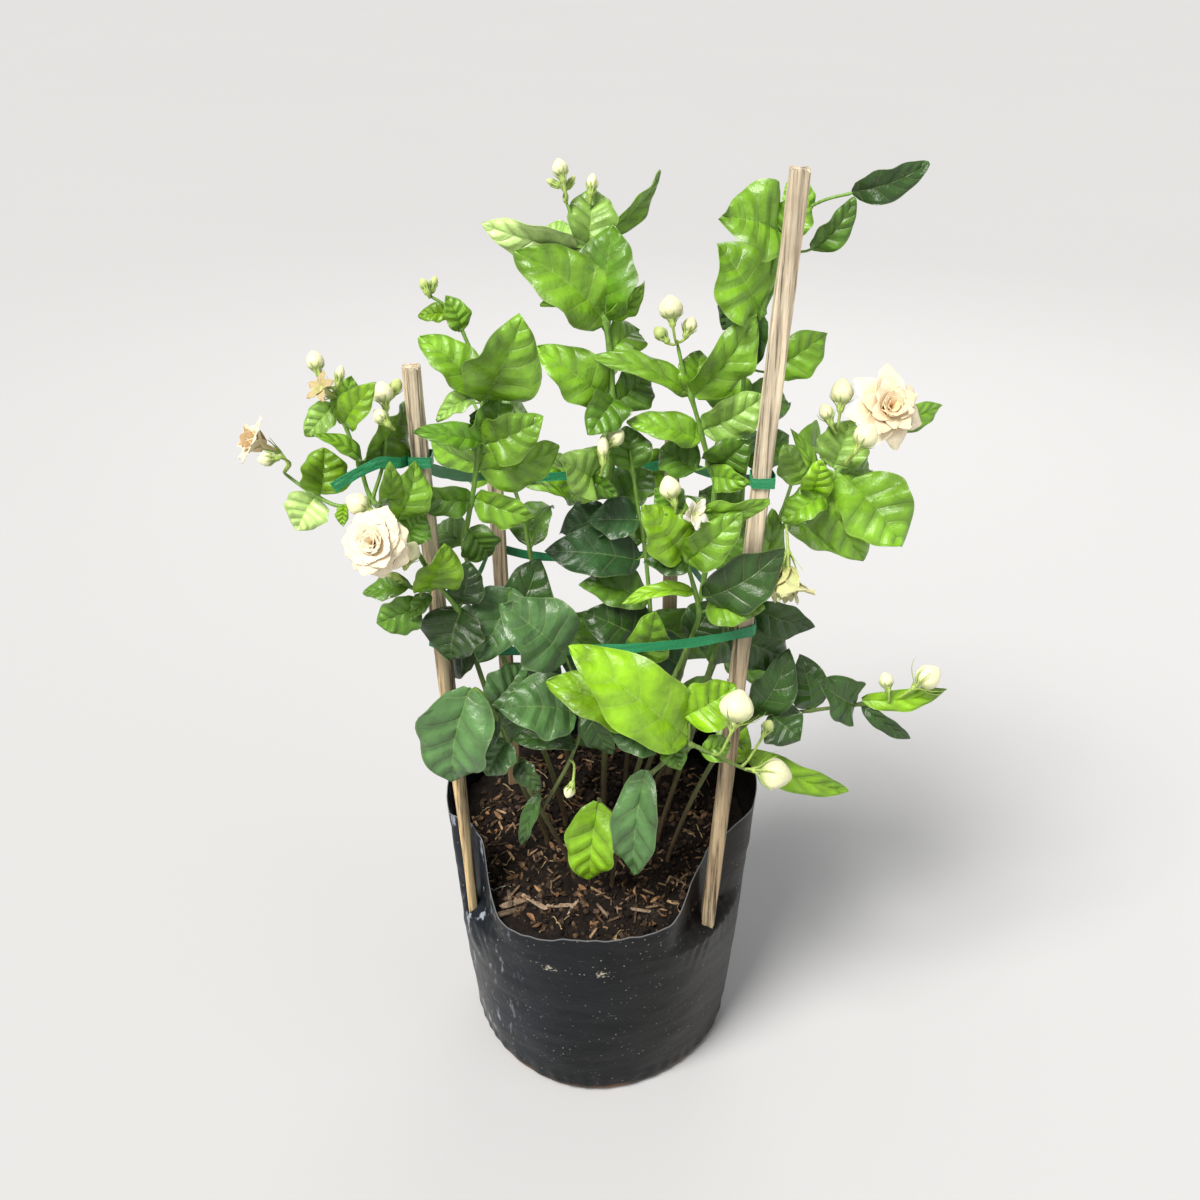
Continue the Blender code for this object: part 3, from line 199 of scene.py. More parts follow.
SHOOTS = (
    ShootPlan(
        "shoot_tall",
        (2, 8),
        (
            StemPlan(((606, 700, 4), (608, 560, 0), (612, 470, -4), (612, 375, -8), (605, 322, -6),
                      (598, 300, -4), (581, 250, 0), (574, 222, 2), (566, 202, 4)), 2.1, 1.0),
            StemPlan(((581, 250, 0), (588, 222, 6), (590, 204, 8)), 1.0, 0.8),
            StemPlan(((610, 430, -6), (604, 446, -14), (598, 470, -20)), 1.2, 0.9),
        ),
        plans(LeafPlan,
              ((605, 322), (517, 250), 31, -0.5, 20, FRESH), ((606, 320), (612, 224), 31, 0.3, -20, MID),
              ((578, 250), (482, 226), 19, -0.4, -25, PALE), ((578, 256), (545, 226), 18, 0.6, 15, MINT),
              ((589, 250), (595, 187), 23, 0.5, 10, MINT), ((600, 236), (664, 172), 12, 0.2, 50, FRESH),
              ((586, 296), (540, 304), 9, -0.3, 30, FRESH), ((608, 318), (644, 284), 11, -0.8, 30, FRESH),
              ((608, 398), (538, 346), 25, -0.5, 15, FRESH), ((616, 398), (590, 434), 21, -0.8, -10, MID),
              ((618, 402), (652, 374), 22, 0.6, 10, MID), ((596, 478), (562, 460), 24, -0.7, 15, MINT),
              ((585, 474), (617, 496), 14, -0.8, 20, MID), ((612, 520), (560, 532), 24, -0.4, 25, BLUE),
              ((614, 505), (652, 470), 24, 0.7, -20, MID), ((612, 350), (640, 330), 20, 1.0, -10, FRESH),
              ((606, 690), (560, 652), 26, -0.4, 20, BLUE), ((607, 650), (650, 612), 24, 0.6, 10, BLUE),
              ((606, 706), (650, 700), 24, -0.6, 20, LIME), ((612, 452), (570, 500), 24, 0.6, 20, FRESH)),
        buds=(
            BudPlan("bud_top", (560, 168, 6), (-0.25, 1.0), 11, 7.6),
            BudPlan("bud_top_back", (592, 182, 10), (0.1, 1.0), 10, 5.4),
            BudPlan("bud_centre", (616, 438, -22), (0.8, 0.7), 12, 8.6),
            BudPlan("bud_centre_long", (603, 447, -30), (0.0, 1.0), 15, 6.0),
        ),
        green_buds=(
            BudPlan("green", (551, 182, 4), (-1.0, 0.5), 6, 3.2),
            BudPlan("green", (572, 180, 12), (0.5, 0.8), 6, 3.0),
        ),
    ),
    ShootPlan(
        "shoot_left",
        (-24, 8),
        (
            StemPlan(((540, 740, -18), (500, 650, -36), (464, 548, -42), (468, 520, -43), (475, 480, -45),
                      (479, 440, -45), (483, 404, -42), (478, 370, -36), (462, 330, -30)), 1.9, 1.0),
            StemPlan(((462, 330, -30), (444, 305, -26), (430, 296, -24)), 1.0, 0.8),
        ),
        plans(LeafPlan,
              ((450, 314), (418, 316), 9, 0.0, 20, LIME), ((462, 330), (446, 296), 12, 0.6, 10, FRESH),
              ((478, 392), (420, 336), 20, 0.4, 20, FRESH), ((485, 400), (523, 320), 35, -0.4, 25, FRESH),
              ((475, 396), (436, 420), 11, -0.6, 30, MINT), ((480, 440), (415, 430), 13, -0.5, 20, MID),
              ((484, 445), (542, 420), 24, -0.6, 15, FRESH), ((476, 452), (505, 392), 22, 0.7, 20, MID),
              ((472, 500), (405, 496), 16, -0.5, -20, MID), ((475, 498), (534, 518), 18, -0.6, 25, FRESH),
              ((480, 470), (560, 448), 23, 0.6, 30, FRESH), ((464, 545), (430, 530), 22, 0.5, 20, MID),
              ((468, 530), (492, 556), 20, 0.3, 10, MID), ((500, 640), (540, 560), 30, 0.6, 20, DARK),
              ((512, 588), (478, 660), 28, -0.4, 30, GREY), ((470, 420), (510, 436), 20, 1.0, 0, MID),
              ((518, 700), (560, 664), 26, 0.6, 20, BLUE), ((530, 716), (486, 740), 24, 0.5, 20, DARK),
              ((490, 630), (450, 640), 26, 0.6, 10, DARK)),
        green_buds=(
            BudPlan("green", (424, 284, -24), (-0.4, 1.0), 7, 4.4),
            BudPlan("green", (434, 282, -20), (0.3, 1.0), 7, 4.0),
        ),
    ),
    ShootPlan(
        "shoot_far_left",
        (-36, -10),
        (
            StemPlan(((520, 780, -34), (486, 690, -36), (472, 648, -40), (464, 618, -59), (432, 576, -66),
                      (400, 525, -68), (372, 500, -62),
                      (360, 465, -58), (347, 430, -55), (336, 402, -50), (334, 388, -48)), 1.9, 0.9),
            StemPlan(((372, 500, -62), (340, 506, -56), (318, 497, -50), (300, 485, -44),
                      (284, 473, -40)), 1.2, 0.9),
            StemPlan(((372, 500, -62), (384, 460, -56), (386, 420, -52)), 1.1, 0.8),
            StemPlan(((442, 590, -66), (420, 590, -70), (400, 582, -70)), 1.2, 0.9),
        ),
        plans(LeafPlan,
              ((343, 425), (373, 384), 15, -0.3, -20, LIME), ((340, 420), (352, 376), 14, 0.8, 10, FRESH),
              ((333, 404), (305, 436), 13, -0.6, 10, MINT), ((362, 460), (316, 434), 9, -0.2, 30, FRESH),
              ((364, 462), (410, 404), 28, 0.4, 10, FRESH), ((320, 494), (325, 448), 25, 0.3, 20, LIME),
              ((315, 496), (297, 530), 21, -0.6, 0, PALE), ((345, 505), (343, 526), 7, -0.5, 30, LIME),
              ((396, 520), (416, 462), 20, 0.6, 25, FRESH), ((382, 506), (392, 466), 13, -0.3, 30, FRESH),
              ((410, 586), (362, 592), 14, 0.2, 30, MID), ((425, 590), (446, 546), 24, -0.3, 35, LIME),
              ((430, 594), (410, 620), 9, -0.8, 20, MID), ((420, 606), (377, 624), 20, -0.4, -20, MID),
              ((462, 604), (470, 562), 18, 0.2, 10, DARK), ((462, 608), (450, 660), 31, -0.3, 15, DARK),
              ((478, 640), (430, 668), 26, 0.5, 15, DARK), ((404, 540), (424, 514), 18, 1.0, 0, MID)),
        buds=(
            BudPlan("bud_left_pair_a", (315, 361, -48), (-0.3, 1.0), 12, 8.6),
            BudPlan("bud_left_pair_b", (340, 373, -52), (0.2, 1.0), 9, 4.6),
            BudPlan("bud_left_large", (383, 393, -54), (-0.2, 1.0), 13, 10.0),
            BudPlan("bud_left_small", (380, 416, -66), (-0.5, 0.5), 9, 7.0),
            BudPlan("bud_left_side", (266, 459, -50), (-1.0, -0.1), 10, 7.2),
            BudPlan("bud_left_round", (358, 504, -80), (-0.5, 0.3), 15, 11.0),
            BudPlan("bud_left_low", (411, 552, -78), (0.4, 1.0), 13, 9.6),
        ),
        flowers=(
            FlowerPlan("flower_left", (373, 543, -100), (-0.15, -0.86, 0.48), DOUBLE),
            FlowerPlan("flower_far_left", (258, 443, -34), (-0.82, -0.2, 0.5), HALF_OPEN),
            FlowerPlan("flower_dried", (320, 388, -60), (-0.5, -0.5, 0.6), SPENT),
        ),
        green_buds=(
            BudPlan("green", (396, 386, -46), (0.5, 1.0), 9, 6.4),
            BudPlan("green", (390, 575, -74), (-1.0, 0.3), 6, 3.2),
        ),
    ),
    ShootPlan(
        "shoot_low_left",
        (-18, -38),
        (
            StemPlan(((530, 790, -66), (500, 724, -76), (482, 694, -78), (474, 688, -78)), 1.7, 1.2),
            StemPlan(((548, 806, -62), (570, 760, -66), (582, 720, -70), (576, 680, -72)), 1.3, 0.9),
        ),
        plans(LeafPlan,
              ((470, 688), (452, 784), 38, -0.1, 10, GREY), ((566, 656), (504, 604), 35, -0.3, 10, GREY),
              ((574, 712), (502, 708), 33, -0.5, 10, GREY), ((576, 745), (510, 738), 14, -0.3, 30, DARK),
              ((508, 740), (488, 776), 20, -0.6, 10, GREY), ((518, 760), (540, 790), 12, -0.7, 20, DARK),
              ((540, 792), (520, 846), 9, -0.2, 25, DARK), ((586, 706), (612, 756), 16, -0.4, 20, DARK),
              ((500, 716), (462, 736), 22, 0.7, -10, GREY), ((490, 706), (524, 664), 24, 0.5, 15, GREY)),
        buds=(BudPlan("bud_soil", (569, 792, -84), (-0.3, -0.8), 8, 6.2),),
    ),
    ShootPlan(
        "shoot_middle",
        (12, -16),
        (
            StemPlan(((640, 760, -26), (668, 690, -44), (684, 655, -47), (692, 636, -53), (699, 612, -76),
                      (692, 580, -82), (686, 560, -84), (680, 530, -84), (672, 508, -82)), 1.8, 1.0),
            StemPlan(((652, 730, -30), (652, 640, -26), (645, 550, -20), (637, 500, -16),
                      (630, 450, -14)), 1.5, 0.9),
        ),
        plans(LeafPlan,
              ((682, 556), (645, 506), 24, -0.5, 15, LIME), ((680, 512), (655, 488), 15, 0.4, 20, MID),
              ((688, 512), (770, 504), 15, -0.2, 40, FRESH), ((686, 562), (742, 514), 20, -0.6, 15, FRESH),
              ((688, 562), (645, 562), 16, -0.6, 20, DARK), ((705, 598), (784, 550), 26, -0.3, 20, DARK),
              ((694, 592), (622, 602), 9, -0.4, 35, LIME), ((706, 610), (764, 606), 22, -0.5, -15, FRESH),
              ((690, 640), (716, 600), 22, 0.5, 15, DARK), ((648, 600), (580, 584), 22, -0.4, 20, MID),
              ((640, 560), (545, 550), 26, -0.2, 15, BLUE), ((646, 640), (586, 612), 30, -0.4, 10, DARK),
              ((640, 655), (655, 614), 23, -0.9, 10, FRESH), ((630, 470), (626, 426), 21, 0.5, 10, MID),
              ((640, 520), (588, 520), 22, 0.6, 20, BLUE), ((660, 700), (606, 690), 26, 0.4, 15, BLUE),
              ((640, 540), (676, 520), 22, 1.0, -20, FRESH)),
        buds=(BudPlan("bud_middle", (670, 488, -86), (-0.3, 1.0), 14, 10.4),),
        flowers=(FlowerPlan("flower_spent", (695, 514, -98), (0.5, -0.7, 0.4), SPENT),),
    ),
    ShootPlan(
        "shoot_centre_right",
        (22, 10),
        (
            StemPlan(((672, 700, 0), (700, 600, -6), (715, 484, -12), (710, 465, -12), (703, 440, -12),
                      (698, 420, -12), (690, 393, -12), (682, 365, -11), (677, 342, -10)), 1.9, 1.0),
            StemPlan(((710, 466, -12), (716, 446, -4), (722, 424, 2)), 1.1, 0.9),
        ),
        plans(LeafPlan,
              ((690, 393), (590, 354), 14, -0.1, 30, FRESH), ((692, 394), (700, 350), 20, 0.7, 10, FRESH),
              ((694, 396), (758, 316), 24, 0.2, 30, FRESH), ((700, 440), (628, 420), 17, -0.3, 25, FRESH),
              ((703, 430), (766, 396), 22, -0.4, 20, MINT), ((712, 466), (748, 440), 22, 0.4, 20, MID),
              ((712, 476), (748, 482), 14, -0.4, 10, FRESH), ((706, 560), (748, 530), 24, 0.5, 20, MID),
              ((696, 470), (660, 448), 22, 0.6, 20, MID), ((724, 430), (762, 450), 16, 0.6, 0, GREY),
              ((700, 620), (745, 656), 24, 0.6, 10, DARK), ((682, 666), (636, 640), 26, 0.5, 15, BLUE),
              ((676, 690), (720, 700), 24, 0.4, 10, MID), ((706, 540), (664, 500), 26, 0.7, 15, MID)),
        buds=(
            BudPlan("bud_right_large", (671, 308, -10), (-0.1, 1.0), 15, 12.4),
            BudPlan("bud_right_small", (690, 325, -8), (0.4, 1.0), 10, 7.6),
        ),
        green_buds=(BudPlan("green", (660, 333, -10), (-0.7, 0.8), 9, 6.6),),
    ),
    ShootPlan(
        "shoot_right_tall",
        (34, 24),
        (
            StemPlan(((690, 720, 26), (730, 600, 22), (742, 500, 12), (744, 375, 4), (752, 345, 2),
                      (762, 312, 2), (775, 262, -4), (782, 232, -8)), 1.9, 1.0),
            StemPlan(((764, 308, 2), (786, 262, 4), (803, 214, 0), (822, 201, -4), (852, 193, -8)), 1.1, 0.8),
        ),
        plans(LeafPlan,
              ((781, 232), (724, 215), 35, -0.4, 28, FRESH), ((760, 312), (720, 245), 38, -0.4, 25, FRESH),
              ((748, 292), (722, 330), 14, -0.4, 15, DARK), ((762, 316), (744, 376), 16, -0.4, 15, DARK),
              ((772, 372), (828, 334), 22, 0.3, 20, FRESH), ((852, 192), (930, 164), 15, -0.2, 20, DARK),
              ((812, 250), (856, 199), 14, -0.3, 26, MID), ((806, 214), (790, 178), 14, 0.6, 10, FRESH),
              ((784, 234), (806, 196), 18, 0.8, 10, FRESH), ((744, 400), (790, 402), 22, 0.7, -15, MID),
              ((742, 460), (790, 436), 22, 0.8, 10, MID), ((738, 520), (700, 490), 24, 0.8, 15, MID),
              ((744, 410), (700, 372), 24, 0.8, 15, FRESH)),
    ),
    ShootPlan(
        "shoot_right",
        (40, -6),
        (
            StemPlan(((690, 740, -18), (726, 622, -42), (785, 524, -46), (800, 510, -46), (820, 492, -46),
                      (835, 475, -46), (850, 455, -44)), 1.8, 1.0),
            StemPlan(((820, 492, -46), (828, 450, -40), (836, 430, -38)), 1.0, 0.8),
        ),
        plans(LeafPlan,
              ((880, 428), (944, 406), 12, 0.6, 20, FRESH), ((833, 468), (850, 420), 24, 0.5, 10, MINT),
              ((815, 492), (793, 430), 8, -0.3, 30, FRESH), ((803, 482), (784, 445), 19, 0.4, 10, MINT),
              ((812, 492), (822, 462), 16, -0.6, 20, LIME), ((824, 470), (864, 562), 27, -0.3, 15, FRESH),
              ((850, 482), (902, 546), 35, -0.3, -10, FRESH), ((825, 494), (781, 520), 17, -0.6, 20, FRESH),
              ((752, 590), (776, 512), 20, -0.3, 35, FRESH), ((752, 606), (815, 628), 19, -0.3, 20, DARK),
              ((730, 636), (790, 660), 24, 0.4, 10, DARK), ((838, 476), (872, 470), 20, 0.9, 0, FRESH)),
        buds=(
            BudPlan("bud_right_high", (842, 392, -40), (0.1, 1.0), 16, 11.6),
            BudPlan("bud_right_mid", (826, 412, -44), (-0.4, 1.0), 10, 7.4),
            BudPlan("bud_right_cream", (866, 436, -84), (0.6, 0.9), 15, 12.0),
        ),
        flowers=(
            FlowerPlan("flower_right", (888, 408, -48), (0.25, -0.83, 0.5), OPEN_WIDE),
            FlowerPlan("flower_faded", (788, 574, -78), (0.0, -0.5, -0.86), FADED),
        ),
    ),
    ShootPlan(
        "shoot_right_low",
        (46, -26),
        (
            StemPlan(((714, 760, -40), (757, 716, -46), (790, 713, -46), (830, 708, -44), (875, 702, -42),
                      (898, 697, -40)), 1.7, 0.9),
        ),
        plans(LeafPlan,
              ((812, 708), (800, 656), 21, 0.4, 10, DARK), ((855, 705), (822, 684), 24, -0.7, 10, DARK),
              ((862, 706), (911, 740), 9, -0.3, 15, DARK), ((862, 700), (948, 690), 12, 0.1, 15, LIME),
              ((780, 710), (752, 690), 24, 0.6, 10, DARK), ((770, 714), (800, 740), 24, -0.5, 10, DARK),
              ((745, 752), (850, 792), 16, -0.2, 10, LIME), ((756, 712), (790, 652), 22, 0.5, 15, DARK),
              ((720, 760), (744, 722), 20, 0.6, 10, LIME)),
        buds=(
            BudPlan("bud_low_right", (928, 677, -46), (0.8, 0.6), 18, 14.0),
            BudPlan("bud_low_right_small", (886, 680, -46), (-0.2, 1.0), 10, 8.0),
        ),
    ),
    ShootPlan(
        "shoot_front",
        (8, -46),
        (
            StemPlan(((628, 800, -68), (662, 764, -84), (688, 745, -92), (712, 754, -94), (738, 766, -94),
                      (754, 772, -94)), 1.6, 1.0),
            StemPlan(((614, 826, -60), (604, 806, -62), (598, 798, -64)), 1.2, 1.0),
        ),
        plans(LeafPlan,
              ((688, 738), (573, 646), 36, -0.2, 10, LIME), ((652, 716), (548, 680), 28, -0.1, 15, LIME),
              ((684, 716), (736, 686), 25, 0.3, 10, LIME), ((672, 742), (680, 770), 13, -0.7, 10, MID),
              ((645, 770), (632, 878), 24, -0.2, 10, GREY), ((598, 802), (588, 882), 28, -0.2, 10, LIME),
              ((660, 738), (610, 732), 22, -0.5, 10, GREY), ((702, 752), (730, 742), 14, 0.6, 10, FRESH),
              ((690, 722), (716, 690), 22, 0.8, 10, LIME)),
        buds=(
            BudPlan("bud_front", (737, 707, -106), (0.2, 0.9), 21, 18.0),
            BudPlan("bud_front_low", (775, 774, -98), (1.0, -0.2), 21, 17.0),
        ),
        green_buds=(BudPlan("green", (768, 726, -92), (0.5, 1.0), 8, 6.4),),
    ),
)

# The stems of the hidden back pass between the two tapes and then lean out
BACK_SHOOTS = (
    BackPlan("shoot_back_left", (-20, 34),
             ((-34, 46, 270), (-44, 48, 335), (-50, 52, 370), (-66, 84, 400), (-84, 114, 420)), 5),
    BackPlan("shoot_back_right", (18, 38),
             ((22, 50, 270), (18, 50, 335), (14, 52, 368), (6, 88, 396), (-4, 126, 414)), 5),
    BackPlan("shoot_back_side", (48, 20),
             ((74, 34, 260), (104, 50, 330), (122, 72, 372), (132, 92, 398)), 5),
)


@dataclass(frozen=True)
class Viewpoint:
    """Where the photograph was taken from, with the focal length and the middle of the frame in pixels."""

    eye: Vector = Vector((0.0, -672.0, 703.0))
    looks_down: float = math.radians(28.8)
    focal: float = 1250.0
    middle: float = 600.0

    def sight(self, place: Sequence[float]) -> Vector:
        """The point where the sight line of a pixel meets the upright plane at a depth.

        Args:
            place: pixel column, pixel row and depth in millimetres.

        Returns:
            The point in millimetres.
        """
        column, row, depth = place
        cosine, sine = math.cos(self.looks_down), math.sin(self.looks_down)
        ahead = self.focal * cosine - (row - self.middle) * sine
        rise = -self.focal * sine - (row - self.middle) * cosine
        return self.eye + Vector((column - self.middle, ahead, rise)) * ((depth - self.eye.y) / ahead)

    def pixel(self, point: Vector) -> Vector:
        """The pixel column and row that a point is seen at.

        Args:
            point: a point in millimetres.

        Returns:
            The column and row.
        """
        cosine, sine = math.cos(self.looks_down), math.sin(self.looks_down)
        ahead = (point.y - self.eye.y) * cosine - (point.z - self.eye.z) * sine
        rise = (point.y - self.eye.y) * sine + (point.z - self.eye.z) * cosine
        return Vector((self.middle + self.focal * point.x / ahead, self.middle - self.focal * rise / ahead))


VIEW = Viewpoint()


def across(direction: Vector) -> tuple[Vector, Vector]:
    """Two directions square to this one and to each other.

    Args:
        direction: the direction.

    Returns:
        The two directions.
    """
    helper = Vector((0, 0, 1)) if abs(direction.z) < 0.9 else Vector((1, 0, 0))
    first = direction.cross(helper).normalized()
    return first, direction.cross(first).normalized()


def smoothstep(value: np.ndarray | float, low: float, high: float) -> np.ndarray:
    """0 below low, 1 above high, and a soft slope between them."""
    share = np.clip((np.asarray(value, float) - low) / (high - low), 0.0, 1.0)
    return share * share * (3 - 2 * share)


def lumps(points: np.ndarray, scale: float, seed: int, octaves: int = 3) -> np.ndarray:
    """Smooth, repeatable noise about 0 at each point, 1.3 at most either way, as a sum of crossed waves.

    Args:
        points: an (n, 3) or (n, 2) array.
        scale: the size of the largest lumps.
        seed: which noise.
        octaves: how many times finer lumps are added.

    Returns:
        One value for each point.
    """
    draw = np.random.default_rng(seed)
    total = np.zeros(len(points))
    weight = 1.0
    for octave in range(octaves):
        for _ in range(5):
            way = draw.normal(size=points.shape[1])
            way *= math.tau / (scale * 0.5 ** octave) / np.linalg.norm(way) * draw.uniform(0.6, 1.4)
            total += weight * np.sin(points @ way + draw.uniform(0, math.tau)) / 3
        weight *= 0.5
    return np.clip(total / 1.6, -1.3, 1.3)


def smooth_path(points: Sequence[Vector], step: float, closed: bool = False) -> tuple[np.ndarray, np.ndarray]:
    """A smooth line through the points.

    Args:
        points: what the line passes through.
        step: about how far apart its own points are.
        closed: whether it runs in a ring.

    Returns:
        The line's points, and where each lies as a fractional index among the given points.
    """
    given = [np.array(p, float) for p in points]
    count = len(given)
    line, marks = [], []
    for i in range(count if closed else count - 1):
        p1, p2 = given[i], given[(i + 1) % count]
        p0 = given[i - 1] if closed or i else 2 * p1 - p2
        p3 = given[(i + 2) % count] if closed or i + 2 < count else 2 * p2 - p1
        span = np.linalg.norm(p2 - p1)
        m1 = (p2 - p0) * span / max(1e-6, np.linalg.norm(p1 - p0) + span)
        m2 = (p3 - p1) * span / max(1e-6, np.linalg.norm(p3 - p2) + span)
        for t in np.arange(0, 1, 1 / max(1, round(span / step))):
            a, b = 2 * t ** 3 - 3 * t ** 2 + 1, t ** 3 - 2 * t ** 2 + t
            line.append(a * p1 + b * m1 + (1 - a) * p2 + (t ** 3 - t ** 2) * m2)
            marks.append(i + t)
    if not closed:
        line.append(given[-1])
        marks.append(count - 1.0)
    return np.array(line), np.array(marks)


def carried_frames(line: np.ndarray, start: np.ndarray | None = None) -> tuple[np.ndarray, np.ndarray]:
    """Two directions square to a line at each of its points, which turn no more than it does.

    Args:
        line: the line's points.
        start: the way that the first of the two points at the line's start.

    Returns:
        The two directions as arrays.
    """
    ways = np.gradient(line, axis=0)
    ways /= np.linalg.norm(ways, axis=1)[:, None]
    first = np.array(across(Vector(ways[0]))[0]) if start is None else np.array(start, float)
    firsts, seconds = [], []
    for way in ways:
        first = first - way * first.dot(way)
        first /= np.linalg.norm(first)
        firsts.append(first)
        seconds.append(np.cross(way, first))
    return np.array(firsts), np.array(seconds)


def deselect() -> None:
    """Leaves edit mode and selects nothing."""
    if bpy.context.mode != "OBJECT":
        bpy.ops.object.mode_set(mode="OBJECT")
    bpy.ops.object.select_all(action="DESELECT")


def pick(made: Object) -> None:
    """Selects one object and makes it the active one.

    Args:
        made: the object.
    """
    deselect()
    made.select_set(True)
    bpy.context.view_layer.objects.active = made


def added(name: str) -> Object:
    """The primitive that was just added, under its new name.

    Args:
        name: its new name.

    Returns:
        The object.
    """
    made = bpy.context.object
    made.name = made.data.name = name
    return made


def points_of(mesh: Mesh) -> np.ndarray:
    """A mesh's vertices as an array.

    Args:
        mesh: the mesh.

    Returns:
        An (n, 3) array.
    """
    flat = np.empty(len(mesh.vertices) * 3)
    mesh.vertices.foreach_get("co", flat)
    return flat.reshape(-1, 3)


def set_points(mesh: Mesh, points: np.ndarray) -> None:
    """Moves a mesh's vertices to these points in millimetres."""
    mesh.vertices.foreach_set("co", (np.asarray(points) * METRES).astype(np.float32).ravel())
    mesh.update()


def paint(mesh: Mesh, name: str, values: np.ndarray) -> None:
    """Writes a colour or other three numbers into a named attribute of the vertices.

    Args:
        mesh: the mesh.
        name: the attribute's name.
        values: three numbers for all vertices, or for each.
    """
    found = mesh.attributes.get(name) or mesh.attributes.new(name, "FLOAT_VECTOR", "POINT")
    wide = np.broadcast_to(np.asarray(values, np.float32), (len(mesh.vertices), 3))
    found.data.foreach_set("vector", np.ascontiguousarray(wide).ravel())


@dataclass
class Template:
    """A small mesh that is modelled once. Each copy has its own mesh, shaped from these coordinates."""

    source: Object
    grid: np.ndarray = field(init=False)

    def __post_init__(self) -> None:
        """Keeps the coordinates and takes the model out of the scene."""
        self.grid = points_of(self.source.data)
        for home in self.source.users_collection:
            home.objects.unlink(self.source)

    def turns(self) -> np.ndarray:
        """Each vertex's angle about the z axis, in radians."""
        return np.arctan2(self.grid[:, 1], self.grid[:, 0])

    def copy(self, name: str, points: np.ndarray, tone: Sequence[float] = (1, 1, 1),
             chance: float = 0.0) -> Object:
        """One shaped copy, which carries its template coordinates and its colour as attributes.

        Args:
            name: the copy's name.
            points: where its vertices go, in millimetres.
            tone: its linear colour.
            chance: a number from 0 to 1 that sets it apart from the other copies.

        Returns:
            The new object.
        """
        mesh = self.source.data.copy()
        set_points(mesh, points)
        place = self.grid.copy()
        place[:, 2] = chance
        paint(mesh, "place", place)
        paint(mesh, "tone", tone)
        made = bpy.data.objects.new(name, mesh)
        bpy.context.scene.collection.objects.link(made)
        return made


def strip_template(name: str, columns: int, rows: int, squeeze: float) -> Template:
    """A flat strip, x from -1 to 1 across it and y from 0 to 1 along it.

    Args:
        name: the model's name.
        columns: faces across it.
        rows: faces along it.
        squeeze: over 1, columns stand closer at the middle.

    Returns:
        The template.
    """
    deselect()
    bpy.ops.mesh.primitive_grid_add(x_subdivisions=columns, y_subdivisions=rows, size=2)
    made = added(name)
    points = points_of(made.data)
    points[:, 0] = np.sign(points[:, 0]) * np.abs(points[:, 0]) ** squeeze
    points[:, 1] = (points[:, 1] + 1) / 2
    made.data.vertices.foreach_set("co", points.astype(np.float32).ravel())
    return Template(made)


def rod_template(name: str, sides: int, rings: int, capped: bool = True) -> Template:
    """A round bar of radius 1, z from 0 to 1 along it.

    Args:
        name: the model's name.
        sides: faces round it.
        rings: faces along it.
        capped: whether its ends are closed.

    Returns:
        The template.
    """
    deselect()
    ends = "NGON" if capped else "NOTHING"
    bpy.ops.mesh.primitive_cylinder_add(vertices=sides, radius=1, depth=1, end_fill_type=ends,
                                        location=(0, 0, 0.5))
    made = added(name)
    bpy.ops.object.transform_apply(location=True)
    mesh = made.data
    for edge in mesh.edges:
        low, high = (mesh.vertices[i].co.z for i in edge.vertices)
        edge.select = abs(high - low) > 0.5
    for part in (*mesh.vertices, *mesh.polygons):
        part.select = False
    bpy.context.tool_settings.mesh_select_mode = (False, True, False)
    bpy.ops.object.mode_set(mode="EDIT")
    if rings > 1:
        bpy.ops.mesh.subdivide(number_cuts=rings - 1)
    bpy.ops.object.mode_set(mode="OBJECT")
    return Template(made)


def crumb_template(name: str, subdivisions: int) -> Template:
    """A rough ball of radius 1.

    Args:
        name: the model's name.
        subdivisions: how fine the ball is.

    Returns:
        The template.
    """
    deselect()
    bpy.ops.mesh.primitive_ico_sphere_add(subdivisions=subdivisions, radius=1)
    made = added(name)
    points = points_of(made.data)
    points *= 1 + 0.16 * lumps(points, 1.6, SEED)[:, None]
    made.data.vertices.foreach_set("co", points.astype(np.float32).ravel())
    return Template(made)


def spread_along(values: np.ndarray, share: np.ndarray) -> np.ndarray:
    """Rows of values read at fractional indices."""
    index = np.arange(len(values))
    return np.stack([np.interp(share, index, column) for column in values.T], axis=1)


def rod_points(grid: np.ndarray, line: np.ndarray, radii: np.ndarray, flat: float = 1.0,
               start: np.ndarray | None = None) -> np.ndarray:
    """Lays a round bar along a line.

    Args:
        grid: the rod template's coordinates.
        line: the points of its middle line.
        radii: the radius at each of them.
        flat: the second radius as a share of the first.
        start: the way of the first radius at the line's start.

    Returns:
        The bar's points.
    """
    firsts, seconds = carried_frames(line, start)
    share = grid[:, 2] * (len(line) - 1)
    middle, first, second = (spread_along(values, share) for values in (line, firsts, seconds))
    radius = np.interp(share, np.arange(len(line)), radii)[:, None]
    return middle + radius * (grid[:, :1] * first + flat * grid[:, 1:2] * second)


def fused(parts: Sequence[Object], name: str) -> Object:
    """Joins the copies of a piece in one object.

    Args:
        parts: the copies.
        name: the piece's name.

    Returns:
        The piece.
    """
    deselect()
    for part in parts:
        part.select_set(True)
    bpy.context.view_layer.objects.active = parts[0]
    if len(parts) > 1:
        bpy.ops.object.join()
    return added(name)


def thicken(made: Object, thickness: float, offset: float = 0.0, under: int = 0) -> None:
    """Gives a sheet its thickness.

    Args:
        made: the sheet.
        thickness: its thickness in millimetres.
        offset: -1 to grow inwards, 0 both ways.
        under: the material slot of its other face.
    """
    pick(made)
    wall = made.modifiers.new("thickness", "SOLIDIFY")
    wall.thickness = thickness * METRES
    wall.offset = offset
    wall.material_offset = under
    bpy.ops.object.modifier_apply(modifier=wall.name)


